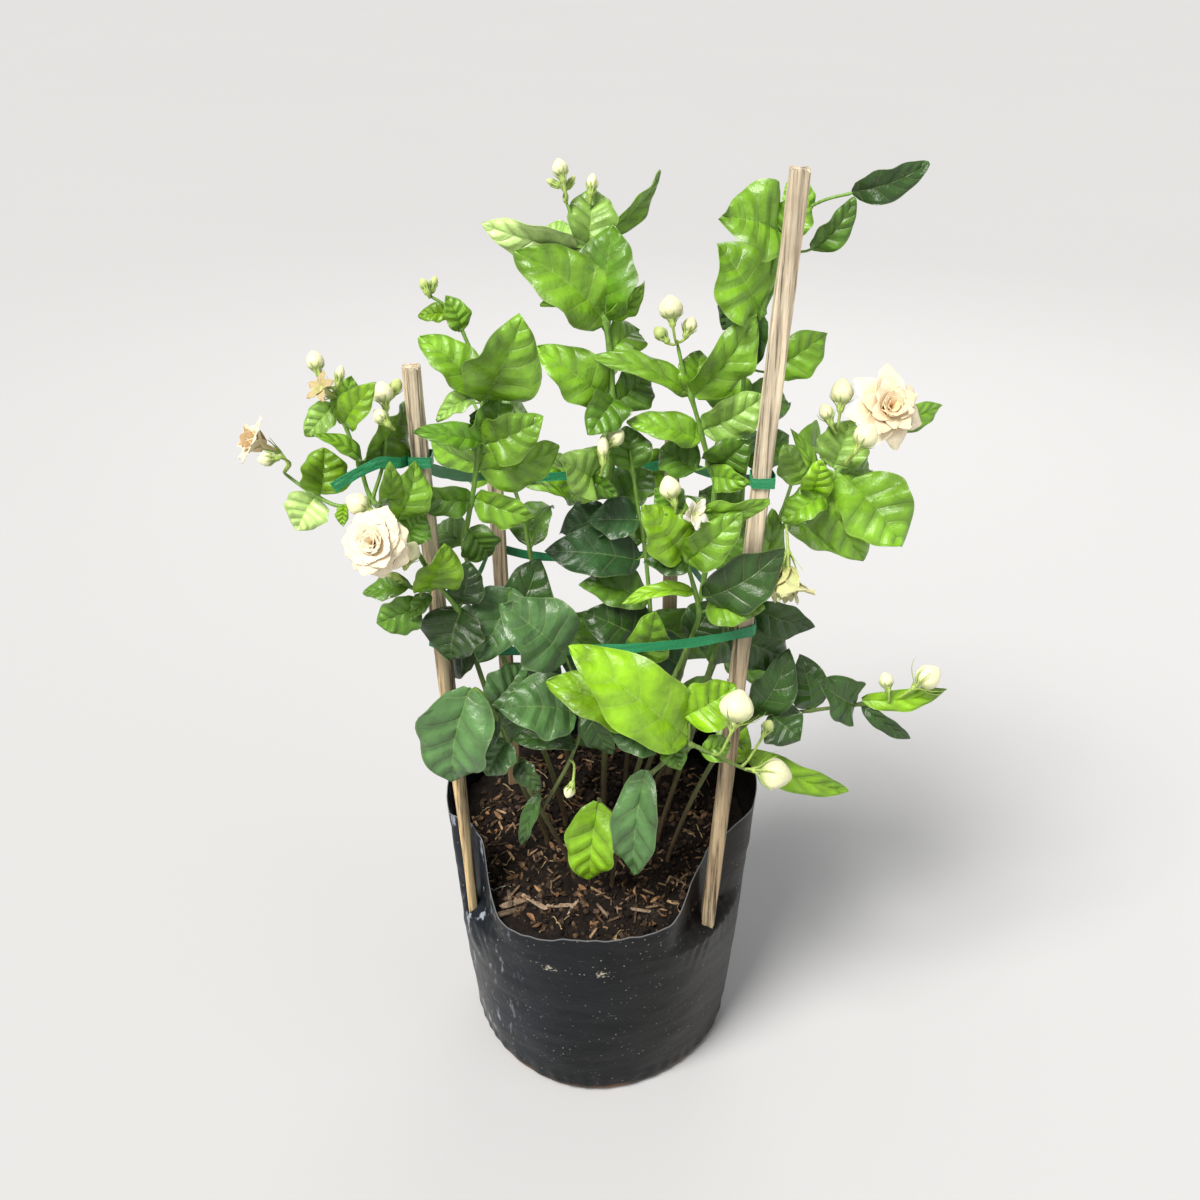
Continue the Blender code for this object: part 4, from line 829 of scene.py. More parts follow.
def smooth_faces(made: Object, degrees: float = 50) -> None:
    """Shades a piece smooth apart from its sharp edges."""
    pick(made)
    bpy.ops.object.shade_smooth_by_angle(angle=math.radians(degrees))


def merge_doubles(made: Object) -> None:
    """Closes seams and poles, and turns all faces outwards.

    Args:
        made: the piece.
    """
    pick(made)
    bpy.ops.object.mode_set(mode="EDIT")
    bpy.ops.mesh.select_all(action="SELECT")
    bpy.ops.mesh.remove_doubles(threshold=0.02 * METRES)
    bpy.ops.mesh.normals_make_consistent(inside=False)
    bpy.ops.object.mode_set(mode="OBJECT")


def settle(made: Object, slot: str, finishes: Sequence[Material], *nodes: str) -> None:
    """Args:
        made: the piece.
        slot: a material slot's name, which is not used.
        finishes: its materials.
        nodes: the CAD nodes that it stands for.
    """
    made.data.materials.clear()
    for finish in finishes:
        made.data.materials.append(finish)
    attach(made, "root")
    if nodes:
        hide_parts(*nodes)
    log.info("%s: %d faces", made.name, len(made.data.polygons))


class Finish:
    """Builds the nodes of one material, with the plain settings on the shader's own sockets."""

    def __init__(self, name: str, roughness: float = 0.5, **sockets: float | tuple) -> None:
        """Starts a material.

        Args:
            name: the material's name.
            roughness: the shader's roughness.
            sockets: other settings of the shader, with _ for each space in the socket's name.
        """
        self.material = bpy.data.materials.new(name)
        self.material.use_nodes = True
        self.tree = self.material.node_tree
        self.shader = self.tree.nodes["Principled BSDF"]
        self.shader.inputs["Roughness"].default_value = roughness
        for socket, value in sockets.items():
            self.shader.inputs[socket.replace("_", " ")].default_value = value

    def node(self, kind: str, inputs: dict | None = None, **settings: object) -> Node:
        """Adds a node.

        Args:
            kind: the node's type.
            inputs: what goes into its sockets.
            settings: its other settings.

        Returns:
            The new node.
        """
        made = self.tree.nodes.new(kind)
        for key, value in settings.items():
            setattr(made, key, value)
        for socket, value in (inputs or {}).items():
            self.feed(made.inputs[socket], value)
        return made

    def feed(self, socket: NodeSocket, value: object) -> None:
        """Fills a socket.

        Args:
            socket: where the value goes.
            value: an output to link, or a number or colour to set.
        """
        if isinstance(value, NodeSocket):
            self.tree.links.new(value, socket)
        elif isinstance(value, tuple) and len(value) == 3 and socket.type == "RGBA":
            socket.default_value = (*value, 1.0)
        else:
            socket.default_value = value

    def attribute(self, name: str) -> NodeSocket:
        """One of the piece's own attributes."""
        return self.node("ShaderNodeAttribute", attribute_name=name).outputs["Vector"]

    def parts(self, vector: NodeSocket) -> Sequence[NodeSocket]:
        """The three numbers of a vector."""
        return self.node("ShaderNodeSeparateXYZ", {"Vector": vector}).outputs

    def place(self, scale: tuple = (1, 1, 1), turn: tuple = (0, 0, 0)) -> NodeSocket:
        """Object coordinates in metres, scaled and turned."""
        at = self.node("ShaderNodeTexCoord").outputs["Object"]
        return self.node("ShaderNodeMapping", {"Vector": at, "Scale": scale, "Rotation": turn}).outputs[0]

    def noise(self, scale: float, detail: float = 4.0, vector: NodeSocket | None = None,
              rough: float = 0.55) -> NodeSocket:
        """Noise from 0 to 1. scale counts its lumps in each metre."""
        inputs = {"Scale": scale, "Detail": detail, "Roughness": rough, "Vector": vector or self.place()}
        return self.node("ShaderNodeTexNoise", inputs).outputs["Fac"]

    def cells(self, scale: float, feature: str = "F1") -> NodeSocket:
        """The distance to the nearest of scattered points, or to the edge between their cells."""
        inputs = {"Vector": self.place(), "Scale": scale}
        return self.node("ShaderNodeTexVoronoi", inputs, feature=feature).outputs["Distance"]

    def ramp(self, factor: NodeSocket, *stops: tuple) -> NodeSocket:
        """A colour or grey for each value.

        Args:
            factor: the value.
            stops: pairs of a value and its grey or colour.

        Returns:
            The colour between the stops.
        """
        made = self.node("ShaderNodeValToRGB", {"Fac": factor})
        elements = made.color_ramp.elements
        while len(elements) < len(stops):
            elements.new(0.5)
        for element, (where, shade) in zip(elements, stops):
            element.position = where
            element.color = (*shade, 1) if isinstance(shade, tuple) else (shade, shade, shade, 1)
        return made.outputs["Color"]

    def sums(self, operation: str, *values: object) -> NodeSocket:
        """One step of arithmetic."""
        return self.node("ShaderNodeMath", dict(enumerate(values)), operation=operation).outputs[0]

    def times(self, first: object, second: object) -> NodeSocket:
        """The product of two values."""
        return self.sums("MULTIPLY", first, second)

    def blend(self, factor: object, first: object, second: object, kind: str = "MIX") -> NodeSocket:
        """Mixes two colours.

        Args:
            factor: the second colour's share.
            first: the first colour.
            second: the second colour.
            kind: the way of mixing.

        Returns:
            The mixed colour.
        """
        made = self.node("ShaderNodeMix", data_type="RGBA", blend_type=kind)
        for socket, value in zip((made.inputs[0], made.inputs[6], made.inputs[7]), (factor, first, second)):
            self.feed(socket, value)
        return made.outputs[2]

    def shaded(self, colour: object, grey: NodeSocket) -> NodeSocket:
        """A colour made darker or lighter by a grey."""
        return self.blend(1.0, colour, grey, "MULTIPLY")

    def band(self, value: NodeSocket, middle: float, half: float) -> NodeSocket:
        """A soft band of 1 in a value.

        Args:
            value: the value.
            middle: where the band's middle lies.
            half: how far from its middle it ends.

        Returns:
            1 at the middle, falling to 0.
        """
        away = self.sums("ABSOLUTE", self.sums("SUBTRACT", value, middle))
        inputs = {"Value": away, "From Min": 0.0, "From Max": half, "To Min": 1.0, "To Max": 0.0}
        return self.node("ShaderNodeMapRange", inputs, interpolation_type="SMOOTHSTEP").outputs[0]

    def dress(self, colour: NodeSocket, roughness: NodeSocket | None = None,
              height: NodeSocket | None = None, depth: float = 0.3) -> Material:
        """Feeds the shader.

        Args:
            colour: the base colour.
            roughness: the roughness, where it changes over the surface.
            height: the relief from 0 to 1.
            depth: the relief's depth in millimetres.

        Returns:
            The finished material.
        """
        self.feed(self.shader.inputs["Base Color"], colour)
        if roughness is not None:
            self.feed(self.shader.inputs["Roughness"], roughness)
        if height is not None:
            inputs = {"Height": height, "Distance": depth * METRES, "Strength": 1.0}
            self.feed(self.shader.inputs["Normal"], self.node("ShaderNodeBump", inputs).outputs["Normal"])
        return self.material


@dataclass(frozen=True)
class BladeFinish:
    """A leaf's face: its own green, paler veins that sweep to the tip, painted shade along the side veins,
    fine netting and a waxy sheen.
    """

    name: str
    veins: float
    paler: float
    roughness: tuple = (0.27, 0.44)
    back_green: tuple = (0.26, 0.40, 0.13)
    vein_green: tuple = (0.55, 0.68, 0.25)
    spot_brown: tuple = (0.30, 0.27, 0.09)
    midrib_half: float = 0.040
    vein_half: float = 0.075
    margin_half: float = 0.07
    relief: float = 1.25

    def build(self) -> Material:
        """Builds the nodes.

        Returns:
            The material.
        """
        f = Finish(self.name, Specular_IOR_Level=0.50, Coat_Weight=0.06, Coat_Roughness=0.22)
        aside, along, chance = f.parts(f.attribute("place"))
        tone = f.attribute("tone")
        aside = f.sums("ABSOLUTE", aside)
        along = f.sums("MULTIPLY_ADD", f.noise(45, 2), 0.06, along)
        midrib = f.band(aside, 0.0, self.midrib_half)
        lateral = f.band(f.sums("FRACT", f.times(along, VEIN_PAIRS)), 0.5, self.vein_half)
        fading = f.ramp(aside, (0.0, 1.0), (0.75, 0.8), (0.95, 0.0))
        lateral = f.times(lateral, fading)
        netting = f.ramp(f.cells(900, "DISTANCE_TO_EDGE"), (0.0, 1.0), (0.09, 0.0))
        veins = f.sums("MAXIMUM", midrib, f.times(lateral, 0.55))
        veins = f.sums("MAXIMUM", veins, f.times(netting, 0.16))
        patches = f.noise(60, 3)
        shade = f.shaded(tone, f.ramp(patches, (0.3, 0.62), (0.55, 1.0), (0.78, 1.25)))
        between = f.sums("SUBTRACT", f.sums("FRACT", f.times(along, VEIN_PAIRS)), 0.5)
        puff = f.times(f.sums("ABSOLUTE", between), 2.0)
        puff = f.times(f.sums("POWER", puff, 0.75), fading)
        # Painted shade and light: darker in the hollows along the side veins and lighter on the puffed ridges
        # between them, where the noise lets it through
        uneven = f.noise(75, 2)
        shade = f.blend(uneven, shade, f.shaded(shade, f.ramp(puff, (0.0, 0.58), (0.7, 1.12))))
        shade = f.blend(self.paler, shade, self.back_green)
        light = f.blend(0.28, shade, self.vein_green)
        colour = f.blend(f.times(veins, self.veins), shade, light)
        colour = f.blend(f.times(f.band(aside, 1.0, self.margin_half), 0.35), colour, light)
        spots = f.ramp(f.noise(420, 2), (0.70, 0.0), (0.76, 1.0))
        colour = f.blend(f.times(spots, f.times(chance, 0.35)), colour, self.spot_brown)
        low, high = self.roughness
        gloss = f.ramp(f.noise(240, 3), (0.3, low), (0.7, high))
        crumple = f.noise(260, 3)
        height = f.sums("ADD", f.times(puff, 0.62), f.times(crumple, 0.50))
        height = f.sums("SUBTRACT", height, f.times(veins, 0.14))
        return f.dress(colour, gloss, height, self.relief)


@dataclass(frozen=True)
class StemFinish:
    """A young stem: green, browner near the soil, with fine lengthwise lines."""

    name: str
    young: tuple
    old: tuple
    relief: float = 0.12

    def build(self) -> Material:
        """Builds the nodes.

        Returns:
            The material.
        """
        f = Finish(self.name, 0.55)
        height = f.parts(f.place())[2]
        age = f.ramp(f.times(height, 1.6), (0.30, 1.0), (0.58, 0.0))
        colour = f.blend(age, self.young, self.old)
        fine = f.noise(900, 4, f.place((1, 1, 0.18)))
        colour = f.shaded(colour, f.ramp(fine, (0.3, 0.62), (0.7, 1.25)))
        return f.dress(colour, None, fine, self.relief)


@dataclass(frozen=True)
class PetalFinish:
    """Soft petals: their own tone, with a warm or green foot and fine lengthwise lines."""

    name: str
    foot: tuple
    edge: tuple
    reach: float = 0.5
    relief: float = 0.10

    def build(self) -> Material:
        """Builds the nodes.

        Returns:
            The material.
        """
        f = Finish(self.name, 0.6, Subsurface_Weight=0.12, Subsurface_Scale=0.003, Sheen_Weight=0.15)
        aside, along, _ = f.parts(f.attribute("place"))
        tone = f.attribute("tone")
        foot = f.ramp(along, (0.0, 1.0), (self.reach, 0.0))
        colour = f.blend(f.times(foot, 0.85), tone, self.foot)
        rim = f.band(f.sums("ABSOLUTE", aside), 1.0, 0.25)
        colour = f.blend(f.times(rim, 0.45), colour, self.edge)
        fine = f.noise(700, 3)
        colour = f.shaded(colour, f.ramp(fine, (0.3, 0.90), (0.7, 1.06)))
        lines = f.sums("FRACT", f.times(aside, 4.5))
        return f.dress(colour, None, f.blend(0.5, fine, f.band(lines, 0.5, 0.5)), self.relief)


@dataclass(frozen=True)
class FilmFinish:
    """Black polythene: a soft uneven painted sheen and painted side reflections, fine creases, pale
    scratches, dust, and a pale cut edge.
    """

    name: str
    cool: tuple = (0.0050, 0.0072, 0.0105)
    black: tuple = (0.0036, 0.0042, 0.0048)
    warm: tuple = (0.0068, 0.0056, 0.0044)
    dust: tuple = (0.13, 0.12, 0.115)
    scratch: tuple = (0.30, 0.33, 0.38)
    hair: tuple = (0.25, 0.25, 0.25)
    peeled: tuple = (0.42, 0.38, 0.29)
    speck: tuple = (0.36, 0.33, 0.27)
    soil_stain: tuple = (0.22, 0.10, 0.035)
    cut_edge: tuple = (0.17, 0.175, 0.18)
    relief: float = 0.55

    def build(self) -> Material:
        """Builds the nodes.

        Returns:
            The material.
        """
        f = Finish(self.name, 0.4, Specular_IOR_Level=0.20)
        across_x, across_y, height = f.parts(f.place())
        # Painted reflections and sheen: the film is lighter and cool on the left, black in the middle and
        # lighter and warm on the right, and brightens and dims with soft clouds
        clouds = f.noise(16, 4)
        sideways = f.sums("MULTIPLY_ADD", across_x, 5.0, 0.5)
        sheen = f.ramp(sideways, (0.2, self.cool), (0.55, self.black), (0.95, self.warm))
        colour = f.shaded(sheen, f.ramp(clouds, (0.36, 0.40), (0.64, 1.75)))
        film_dust = f.ramp(f.noise(75, 6, rough=0.75), (0.54, 0.0), (0.85, 0.10))
        colour = f.blend(film_dust, colour, self.dust)
        streaks = f.noise(170, 6, f.place((1.0, 1.0, 0.36), (0.2, 0.55, 0.0)))
        left = f.ramp(f.sums("MULTIPLY_ADD", across_x, -8.0, 0.0), (0.38, 0.0), (0.62, 1.0))
        front = f.ramp(f.sums("MULTIPLY_ADD", across_y, -8.0, 0.4), (0.30, 0.0), (0.55, 1.0))
        scratches = f.times(f.ramp(streaks, (0.585, 0.0), (0.65, 1.0)), f.times(left, front))
        hairs = f.ramp(f.noise(260, 3, f.place((0.25, 0.25, 1.0))), (0.69, 0.0), (0.75, 0.5))
        colour = f.blend(f.times(scratches, 0.75), colour, self.scratch)
        colour = f.blend(f.times(hairs, 0.35), colour, self.hair)
        colour = f.blend(self.peeled_mask(f, across_x, height, front), colour, self.peeled)
        specks = f.ramp(f.cells(250), (0.0, 1.0), (0.17, 0.0))
        some = f.ramp(f.noise(55, 3), (0.42, 0.0), (0.60, 1.0))
        colour = f.blend(f.times(specks, some), colour, self.speck)
        foot = f.ramp(f.times(height, 100.0), (0.15, 1.0), (0.75, 0.0))
        soiled = f.times(foot, f.ramp(f.noise(45, 3), (0.42, 0.0), (0.60, 1.0)))
        colour = f.blend(soiled, colour, self.soil_stain)
        edge = f.parts(f.attribute("place"))[2]
        colour = f.blend(f.ramp(edge, (0.72, 0.0), (0.96, 0.8)), colour, self.cut_edge)
        gloss = f.ramp(clouds, (0.25, 0.27), (0.75, 0.50))
        creases = f.noise(34, 4, f.place((0.6, 0.6, 3.4)))
        crinkles = f.blend(0.35, creases, f.noise(420, 3))
        return f.dress(colour, f.blend(film_dust, gloss, (0.8, 0.8, 0.8)), crinkles, self.relief)

    @staticmethod
    def peeled_mask(f: Finish, across_x: NodeSocket, height: NodeSocket, front: NodeSocket) -> NodeSocket:
        """Where the film is scuffed pale, in two ragged marks under the front of the rim.

        Args:
            f: the finish being built.
            across_x: the place from left to right.
            height: the height over the floor.
            front: 1 on the front of the bag.

        Returns:
            1 in the marks and 0 elsewhere.
        """
        pair = f.band(f.sums("ABSOLUTE", f.sums("ADD", across_x, 0.0155)), 0.0165, 0.016)
        peeling = f.times(pair, f.band(height, 0.119, 0.010))
        peeling = f.times(peeling, front)
        ragged = f.noise(420, 5, f.place((1.0, 1.0, 1.8)))
        return f.ramp(f.times(peeling, ragged), (0.44, 0.0), (0.54, 0.9))


@dataclass(frozen=True)
class GrainFinish:
    """Split wood: a face's own tone, with grain, dark checks and weathered patches along the stick."""

    name: str
    split: tuple
    bark: tuple
    paler_up_tone: tuple = (0.80, 0.68, 0.50)
    check: tuple = (0.055, 0.032, 0.018)
    weathered: tuple = (0.27, 0.21, 0.14)
    relief: float = 0.55

    def build(self) -> Material:
        """Builds the nodes.

        Returns:
            The material.
        """
        f = Finish(self.name, 0.75, Specular_IOR_Level=0.2)
        grain = f.noise(380, 5, f.place((1.0, 1.0, 0.030)), 0.65)
        fine = f.noise(900, 4, f.place((1.0, 1.0, 0.03)))
        tone = f.attribute("tone")
        colour = f.blend(f.parts(tone)[0], self.split, self.bark)
        # Paler towards the stick's top, from 0.26 m to 0.44 m over the floor
        paler_up_share = f.ramp(f.parts(f.place())[2], (0.26, 0.0), (0.44, 0.75))
        colour = f.blend(paler_up_share, colour, self.paler_up_tone)
        colour = f.shaded(colour, f.ramp(grain, (0.36, 0.16), (0.46, 0.80), (0.64, 1.30)))
        checks = f.ramp(fine, (0.30, 1.0), (0.44, 0.0))
        colour = f.blend(f.times(checks, 0.7), colour, self.check)
        weather = f.ramp(f.noise(26, 4), (0.45, 0.0), (0.70, 0.5))
        colour = f.blend(weather, colour, self.weathered)
        return f.dress(colour, None, f.blend(0.5, grain, fine), self.relief)


@dataclass(frozen=True)
class FibreFinish:
    """Green raffia tape: ribs along it, streaks of paler green and a plastic shine."""

    name: str
    deep: tuple = (0.006, 0.15, 0.050)
    green: tuple = (0.015, 0.29, 0.105)
    pale: tuple = (0.07, 0.46, 0.22)
    relief: float = 0.3

    def build(self) -> Material:
        """Builds the nodes.

        Returns:
            The material.
        """
        f = Finish(self.name, 0.32, Transmission_Weight=0.12, Coat_Weight=0.15)
        aside, along, _ = f.parts(f.attribute("place"))
        ribs = f.node("ShaderNodeCombineXYZ", {"X": f.times(aside, 3.0), "Y": along}).outputs[0]
        streak = f.noise(5.0, 3, ribs)
        colour = f.ramp(streak, (0.25, self.deep), (0.5, self.green), (0.75, self.pale))
        return f.dress(colour, None, streak, self.relief)


@dataclass(frozen=True)
class CrumbFinish:
    """Potting mix and its bits: a copy's own tone, mottled and dull. spread is how fine the mottling is."""

    name: str
    spread: float = 1.0
    roughness: float = 0.9
    peat: tuple = (0.045, 0.028, 0.017)
    relief: float = 1.1

    def build(self) -> Material:
        """Builds the nodes.

        Returns:
            The material.
        """
        f = Finish(self.name, self.roughness, Specular_IOR_Level=0.15)
        coarse = f.noise(170 * self.spread, 6, rough=0.7)
        fine = f.noise(1300 * self.spread, 4, rough=0.7)
        tone = f.attribute("tone")
        colour = f.shaded(tone, f.ramp(coarse, (0.3, 0.30), (0.5, 0.90), (0.72, 1.9)))
        colour = f.blend(f.ramp(fine, (0.62, 0.0), (0.75, 0.30)), colour, self.peat)
        return f.dress(colour, None, f.blend(0.5, coarse, fine), self.relief / self.spread)


@dataclass(frozen=True)
class FloorFinish:
    """A plain pale floor."""

    name: str
    tone: tuple
    mottle: float = 1.01

    def build(self) -> Material:
        """Builds the nodes.

        Returns:
            The material.
        """
        f = Finish(self.name, 0.85, Specular_IOR_Level=0.1)
        lighter = tuple(self.mottle * channel for channel in self.tone)
        return f.dress(f.ramp(f.noise(0.8, 2), (0.3, self.tone), (0.7, lighter)))


# The order in which the CAD model tries to turn, shorten and shift a blade until it is clear
TRIES = tuple(
    (shift, turn, scale)
    for scale in (1.0, 0.88, 0.76, 0.62)
    for turn in (0, 20, -20, 40, -40)
    for shift in (0, -9, 9, -18, 18, -28, 28)
)
# How near a point of the CAD blade has to be, in millimetres, to count as the same point
SAME_POINT = 0.03

# A blade as the CAD model bends it: lengths in millimetres, the rest as shares of its length or width
BLADE_THICKNESS = 0.75
FULLNESS = 1.16
PETIOLE_SIDE = 1.4
ASPECT = 1.55
LEAST_LEAN = 14.0
LONG_LEAF = 29.0
BOW = 0.10
DROOP = 0.05
FOLD = 0.22
RIPPLE = 0.07

# How many pairs of side veins a blade shows
VEIN_PAIRS = 5.0

# The green cups and the tubes of the buds and flowers, in millimetres
CALYX_HEIGHT = 2.4
CALYX_RADIUS = 1.9
TUBE_RADIUS = 1.3
PETAL_START = 0.7
PETAL_SPREAD = 1.1

# How deep a stem stands in the soil, and the soil's height near its middle, in millimetres
STEM_DEPTH = 24.0
MID_SOIL = 150.0


@dataclass
class GrownLeaf:
    """One blade as the CAD model holds it."""

    root: Vector
    base: Vector
    tip: Vector
    width: float
    roll: float
    wave: float
    tone: Tone


@dataclass
class GrownStem:
    """One stem's points and its radius at each."""

    points: list
    radii: list

    @classmethod
    def tapered(cls, points: list[Vector], thick: float, thin: float) -> "GrownStem":
        """A stem that thins evenly from its first point to its last."""
        steps = len(points) - 1
        return cls(points, [thick + (thin - thick) * i / steps for i in range(len(points))])


@dataclass(frozen=True)
class Head:
    """A bud or flower with the foot of its tube, the way it points and where its pedicel leaves the stem."""

    plan: BudPlan | FlowerPlan
    base: Vector
    aim: Vector
    root: Vector

    @property
    def is_bud(self) -> bool:
        """Whether it is a bud."""
        return isinstance(self.plan, BudPlan)

    @property
    def lip(self) -> Vector:
        """The middle of the lip of its green cup."""
        return self.base - self.aim * GAP


def nearest(stems: Sequence[Sequence[Vector]], wanted: Vector) -> Vector:
    """The point of the stems that is seen nearest to a pixel, or lies nearest to a point.

    Args:
        stems: the points of each stem.
        wanted: a pixel's column and row, or a point.

    Returns:
        The nearest of the points at quarters of each stretch.
    """
    best, found = None, None
    for path in stems:
        for start, end in zip(path, path[1:]):
            for step in range(5):
                point = start.lerp(end, step / 4)
                away = ((VIEW.pixel(point) if len(wanted) == 2 else point) - wanted).length
                if best is None or away < best:
                    best, found = away, point
    return found


def point_along(path: Sequence[Vector], share: float) -> Vector:
    """The point at a share of a path's length.

    Args:
        path: the path's points.
        share: the share, from 0 to 1.

    Returns:
        The point.
    """
    left = share * sum((b - a).length for a, b in zip(path, path[1:]))
    for a, b in zip(path, path[1:]):
        step = (b - a).length
        if left <= step:
            return a.lerp(b, left / step)
        left -= step
    return path[-1]


def blade_frame(base: Vector, tip: Vector, roll: float) -> tuple[Vector, Vector, Vector]:
    """The directions of a blade whose face is seen.

    Args:
        base: where the blade starts.
        tip: where it ends.
        roll: its turn about its midrib, in degrees.

    Returns:
        The way along the blade, across it, and out of its face.
    """
    along = (tip - base).normalized()
    side = along.cross((VIEW.eye - (base + tip) / 2).normalized()).normalized()
    side = Matrix.Rotation(math.radians(roll), 3, along) @ side
    return along, side, side.cross(along)


def cad_blade(base: Vector, tip: Vector, width: float, roll: float, wave: float) -> list[Vector]:
    """The corners of the CAD blade between its petiole and its tip.

    Args:
        base: where the blade starts.
        tip: where it ends.
        width: its width.
        roll: its turn about its midrib, in degrees.
        wave: the phase of its margin's wave.

    Returns:
        The corners of its middle rings and of its tip.
    """
    along, side, normal = blade_frame(base, tip, roll)
    length = (tip - base).length
    corners = []
    for t in ((0.3, 0.68, 1.0) if length > LONG_LEAF else (0.46, 1.0)):
        at_tip = t == 1.0
        bow = BOW * length * math.sin(math.pi * t) - DROOP * length * t * t
        middle = tip - normal * DROOP * length if at_tip else base + along * length * t + normal * bow
        reach = PETIOLE_SIDE / 2 if at_tip else width / 2 * math.sin(math.pi * t ** 0.82) ** 0.75
        lift = FOLD * reach * min(1.0, 5 * t) * (1.2 - t)
        ripple = 0.0 if at_tip else RIPPLE * width / 2 * math.sin(9 * t + wave)
        for sense in (-1, 1):
            edge = middle + side * sense * reach + normal * (lift - sense * ripple)
            corners += [edge + normal * BLADE_THICKNESS / 2, edge - normal * BLADE_THICKNESS / 2]
    return corners


class Plant:
    """Repeats the plan in the CAD model's own order and reads from its nodes how each blade was bent."""

    def __init__(self) -> None:
        """Grows the stems, then draws for buds and flowers, then places the leaves."""
        self.chance = random.Random(SEED)
        self.stems: dict[str, list[GrownStem]] = {}
        self.leaves: dict[str, list[GrownLeaf]] = {}
        self.carried: dict[str, list[Head]] = {}
        self.trees: dict[str, KDTree] = {}
        for shoot in SHOOTS:
            self.add_stems(shoot)
        for back in BACK_SHOOTS:
            points = [Vector(point) for point in back.points]
            self.add_main(back.name, back.hole, points, back.thick, back.thin)
        for shoot in SHOOTS:
            self.add_heads(shoot)
        for shoot in SHOOTS:
            for leaf in shoot.leaves:
                self.add_drawn_leaf(shoot.name, leaf)
        for back in BACK_SHOOTS:
            self.add_back_leaves(back)

    def tree(self, name: str) -> KDTree:
        """A CAD node's points in millimetres, for finding the nearest.

        Args:
            name: the node.

        Returns:
            The search tree, which is kept for the next call.
        """
        if name not in self.trees:
            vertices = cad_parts[name].data.vertices
            self.trees[name] = KDTree(len(vertices))
            for number, vertex in enumerate(vertices):
                self.trees[name].insert(vertex.co / METRES, number)
            self.trees[name].balance()
        return self.trees[name]

    def paths(self, name: str) -> list[list[Vector]]:
        """The points of a shoot's stems."""
        return [stem.points for stem in self.stems[name]]

    def rooted(self, name: str, wanted: Vector) -> Vector:
        """The stem's nearest point, set a little apart from the other roots there."""
        apart = Vector([self.chance.uniform(-0.4, 0.4) for _ in range(3)])
        return nearest(self.paths(name), wanted) + apart

    def add_main(self, name: str, hole: tuple, points: list[Vector], thick: float, thin: float) -> None:
        """Adds a main stem, straight up through its hole in the soil.

        Args:
            name: the shoot.
            hole: the hole's x and y.
            points: the stem's points over the soil.
            thick: its radius at the soil.
            thin: its radius at its top.
        """
        x, y = hole
        level = float(PottingMix.level(x, y))
        path = [Vector((x, y, level - STEM_DEPTH)), Vector((x, y, level + 6)), *points]
        self.stems[name] = [GrownStem.tapered(path, thick, thin)]

    def add_stems(self, shoot: ShootPlan) -> None:
        """Adds a shoot's main stem, then its side stems.

        Args:
            shoot: the shoot's plan.
        """
        for number, stem in enumerate(shoot.stems):
            path = [VIEW.sight(place) for place in stem.places]
            if number == 0:
                self.add_main(shoot.name, shoot.hole, path, stem.thick, stem.thin)
                continue
            path[0] = self.rooted(shoot.name, path[0])
            self.stems[shoot.name].append(GrownStem.tapered(path, stem.thick, stem.thin))

    def add_heads(self, shoot: ShootPlan) -> None:
        """Places a shoot's buds and flowers.

        Args:
            shoot: the shoot's plan.
        """
        heads = self.carried.setdefault(shoot.name, [])
        up = Vector((0, math.sin(VIEW.looks_down), math.cos(VIEW.looks_down)))
        for plan in (*shoot.buds, *shoot.green_buds, *shoot.flowers):
            if isinstance(plan, BudPlan):
                aim = (Vector((plan.aim[0], 0, 0)) + up * plan.aim[1]).normalized()
                base = VIEW.sight(plan.place) - aim * plan.length * 0.54
            else:
                aim = Vector(plan.face).normalized()
                base = VIEW.sight(plan.place) - aim * (max(ring.rise for ring in plan.layers) + 3)
            root = self.rooted(shoot.name, base - aim * (GAP + CALYX_HEIGHT))
            heads.append(Head(plan, base, aim, root))

    def add_leaf(self, name: str, base: Vector, tip: Vector, width: float, roll: float, tone: Tone) -> None:
        """Keeps the try whose corners the CAD node has. A blade with no match was left out there.

        Args:
            name: the shoot.
            base: where the planned blade starts.
            tip: where it ends.
            width: its width.
            roll: its turn about its midrib, in degrees.
            tone: its green.
        """
        wave = self.chance.uniform(0, math.tau)
        root = self.rooted(name, base)
        tree = self.tree(name)
        best, found = 2, None
        for shift, turn, scale in TRIES:
            moved = base.lerp(tip, scale)
            if shift:
                away = (moved - VIEW.eye) / (moved.y - VIEW.eye.y)
                moved = moved + away * shift
            shape = (base, moved, width * (0.5 + scale / 2), roll + turn, wave)
            corners = cad_blade(*shape)
            matched = sum(tree.find(corner)[2] < SAME_POINT for corner in corners)
            if matched > best:
                best, found = matched, shape
            if matched > 0.8 * len(corners):
                break
        if found is None:
            log.info("%s: a blade at %s has no CAD blade", name, [round(v) for v in base])
            return
        self.leaves.setdefault(name, []).append(GrownLeaf(root, *found, tone))

    def add_drawn_leaf(self, name: str, leaf: LeafPlan) -> None:
        """Adds a leaf from the picture: as long as its width makes it, so it leans as far as it looks short.

        Args:
            name: the shoot.
            leaf: the leaf's plan.
        """
        depth = nearest(self.paths(name), Vector(leaf.base)).y
        base = VIEW.sight((*leaf.base, depth))
        shown = (VIEW.sight((*leaf.tip, depth)) - base).length
        lean = math.sqrt(max(0.0, (ASPECT * leaf.width) ** 2 - shown ** 2))
        tip = VIEW.sight((*leaf.tip, depth + leaf.toward * max(lean, LEAST_LEAN)))
        self.add_leaf(name, base, tip, leaf.width * FULLNESS, leaf.roll, leaf.tone)

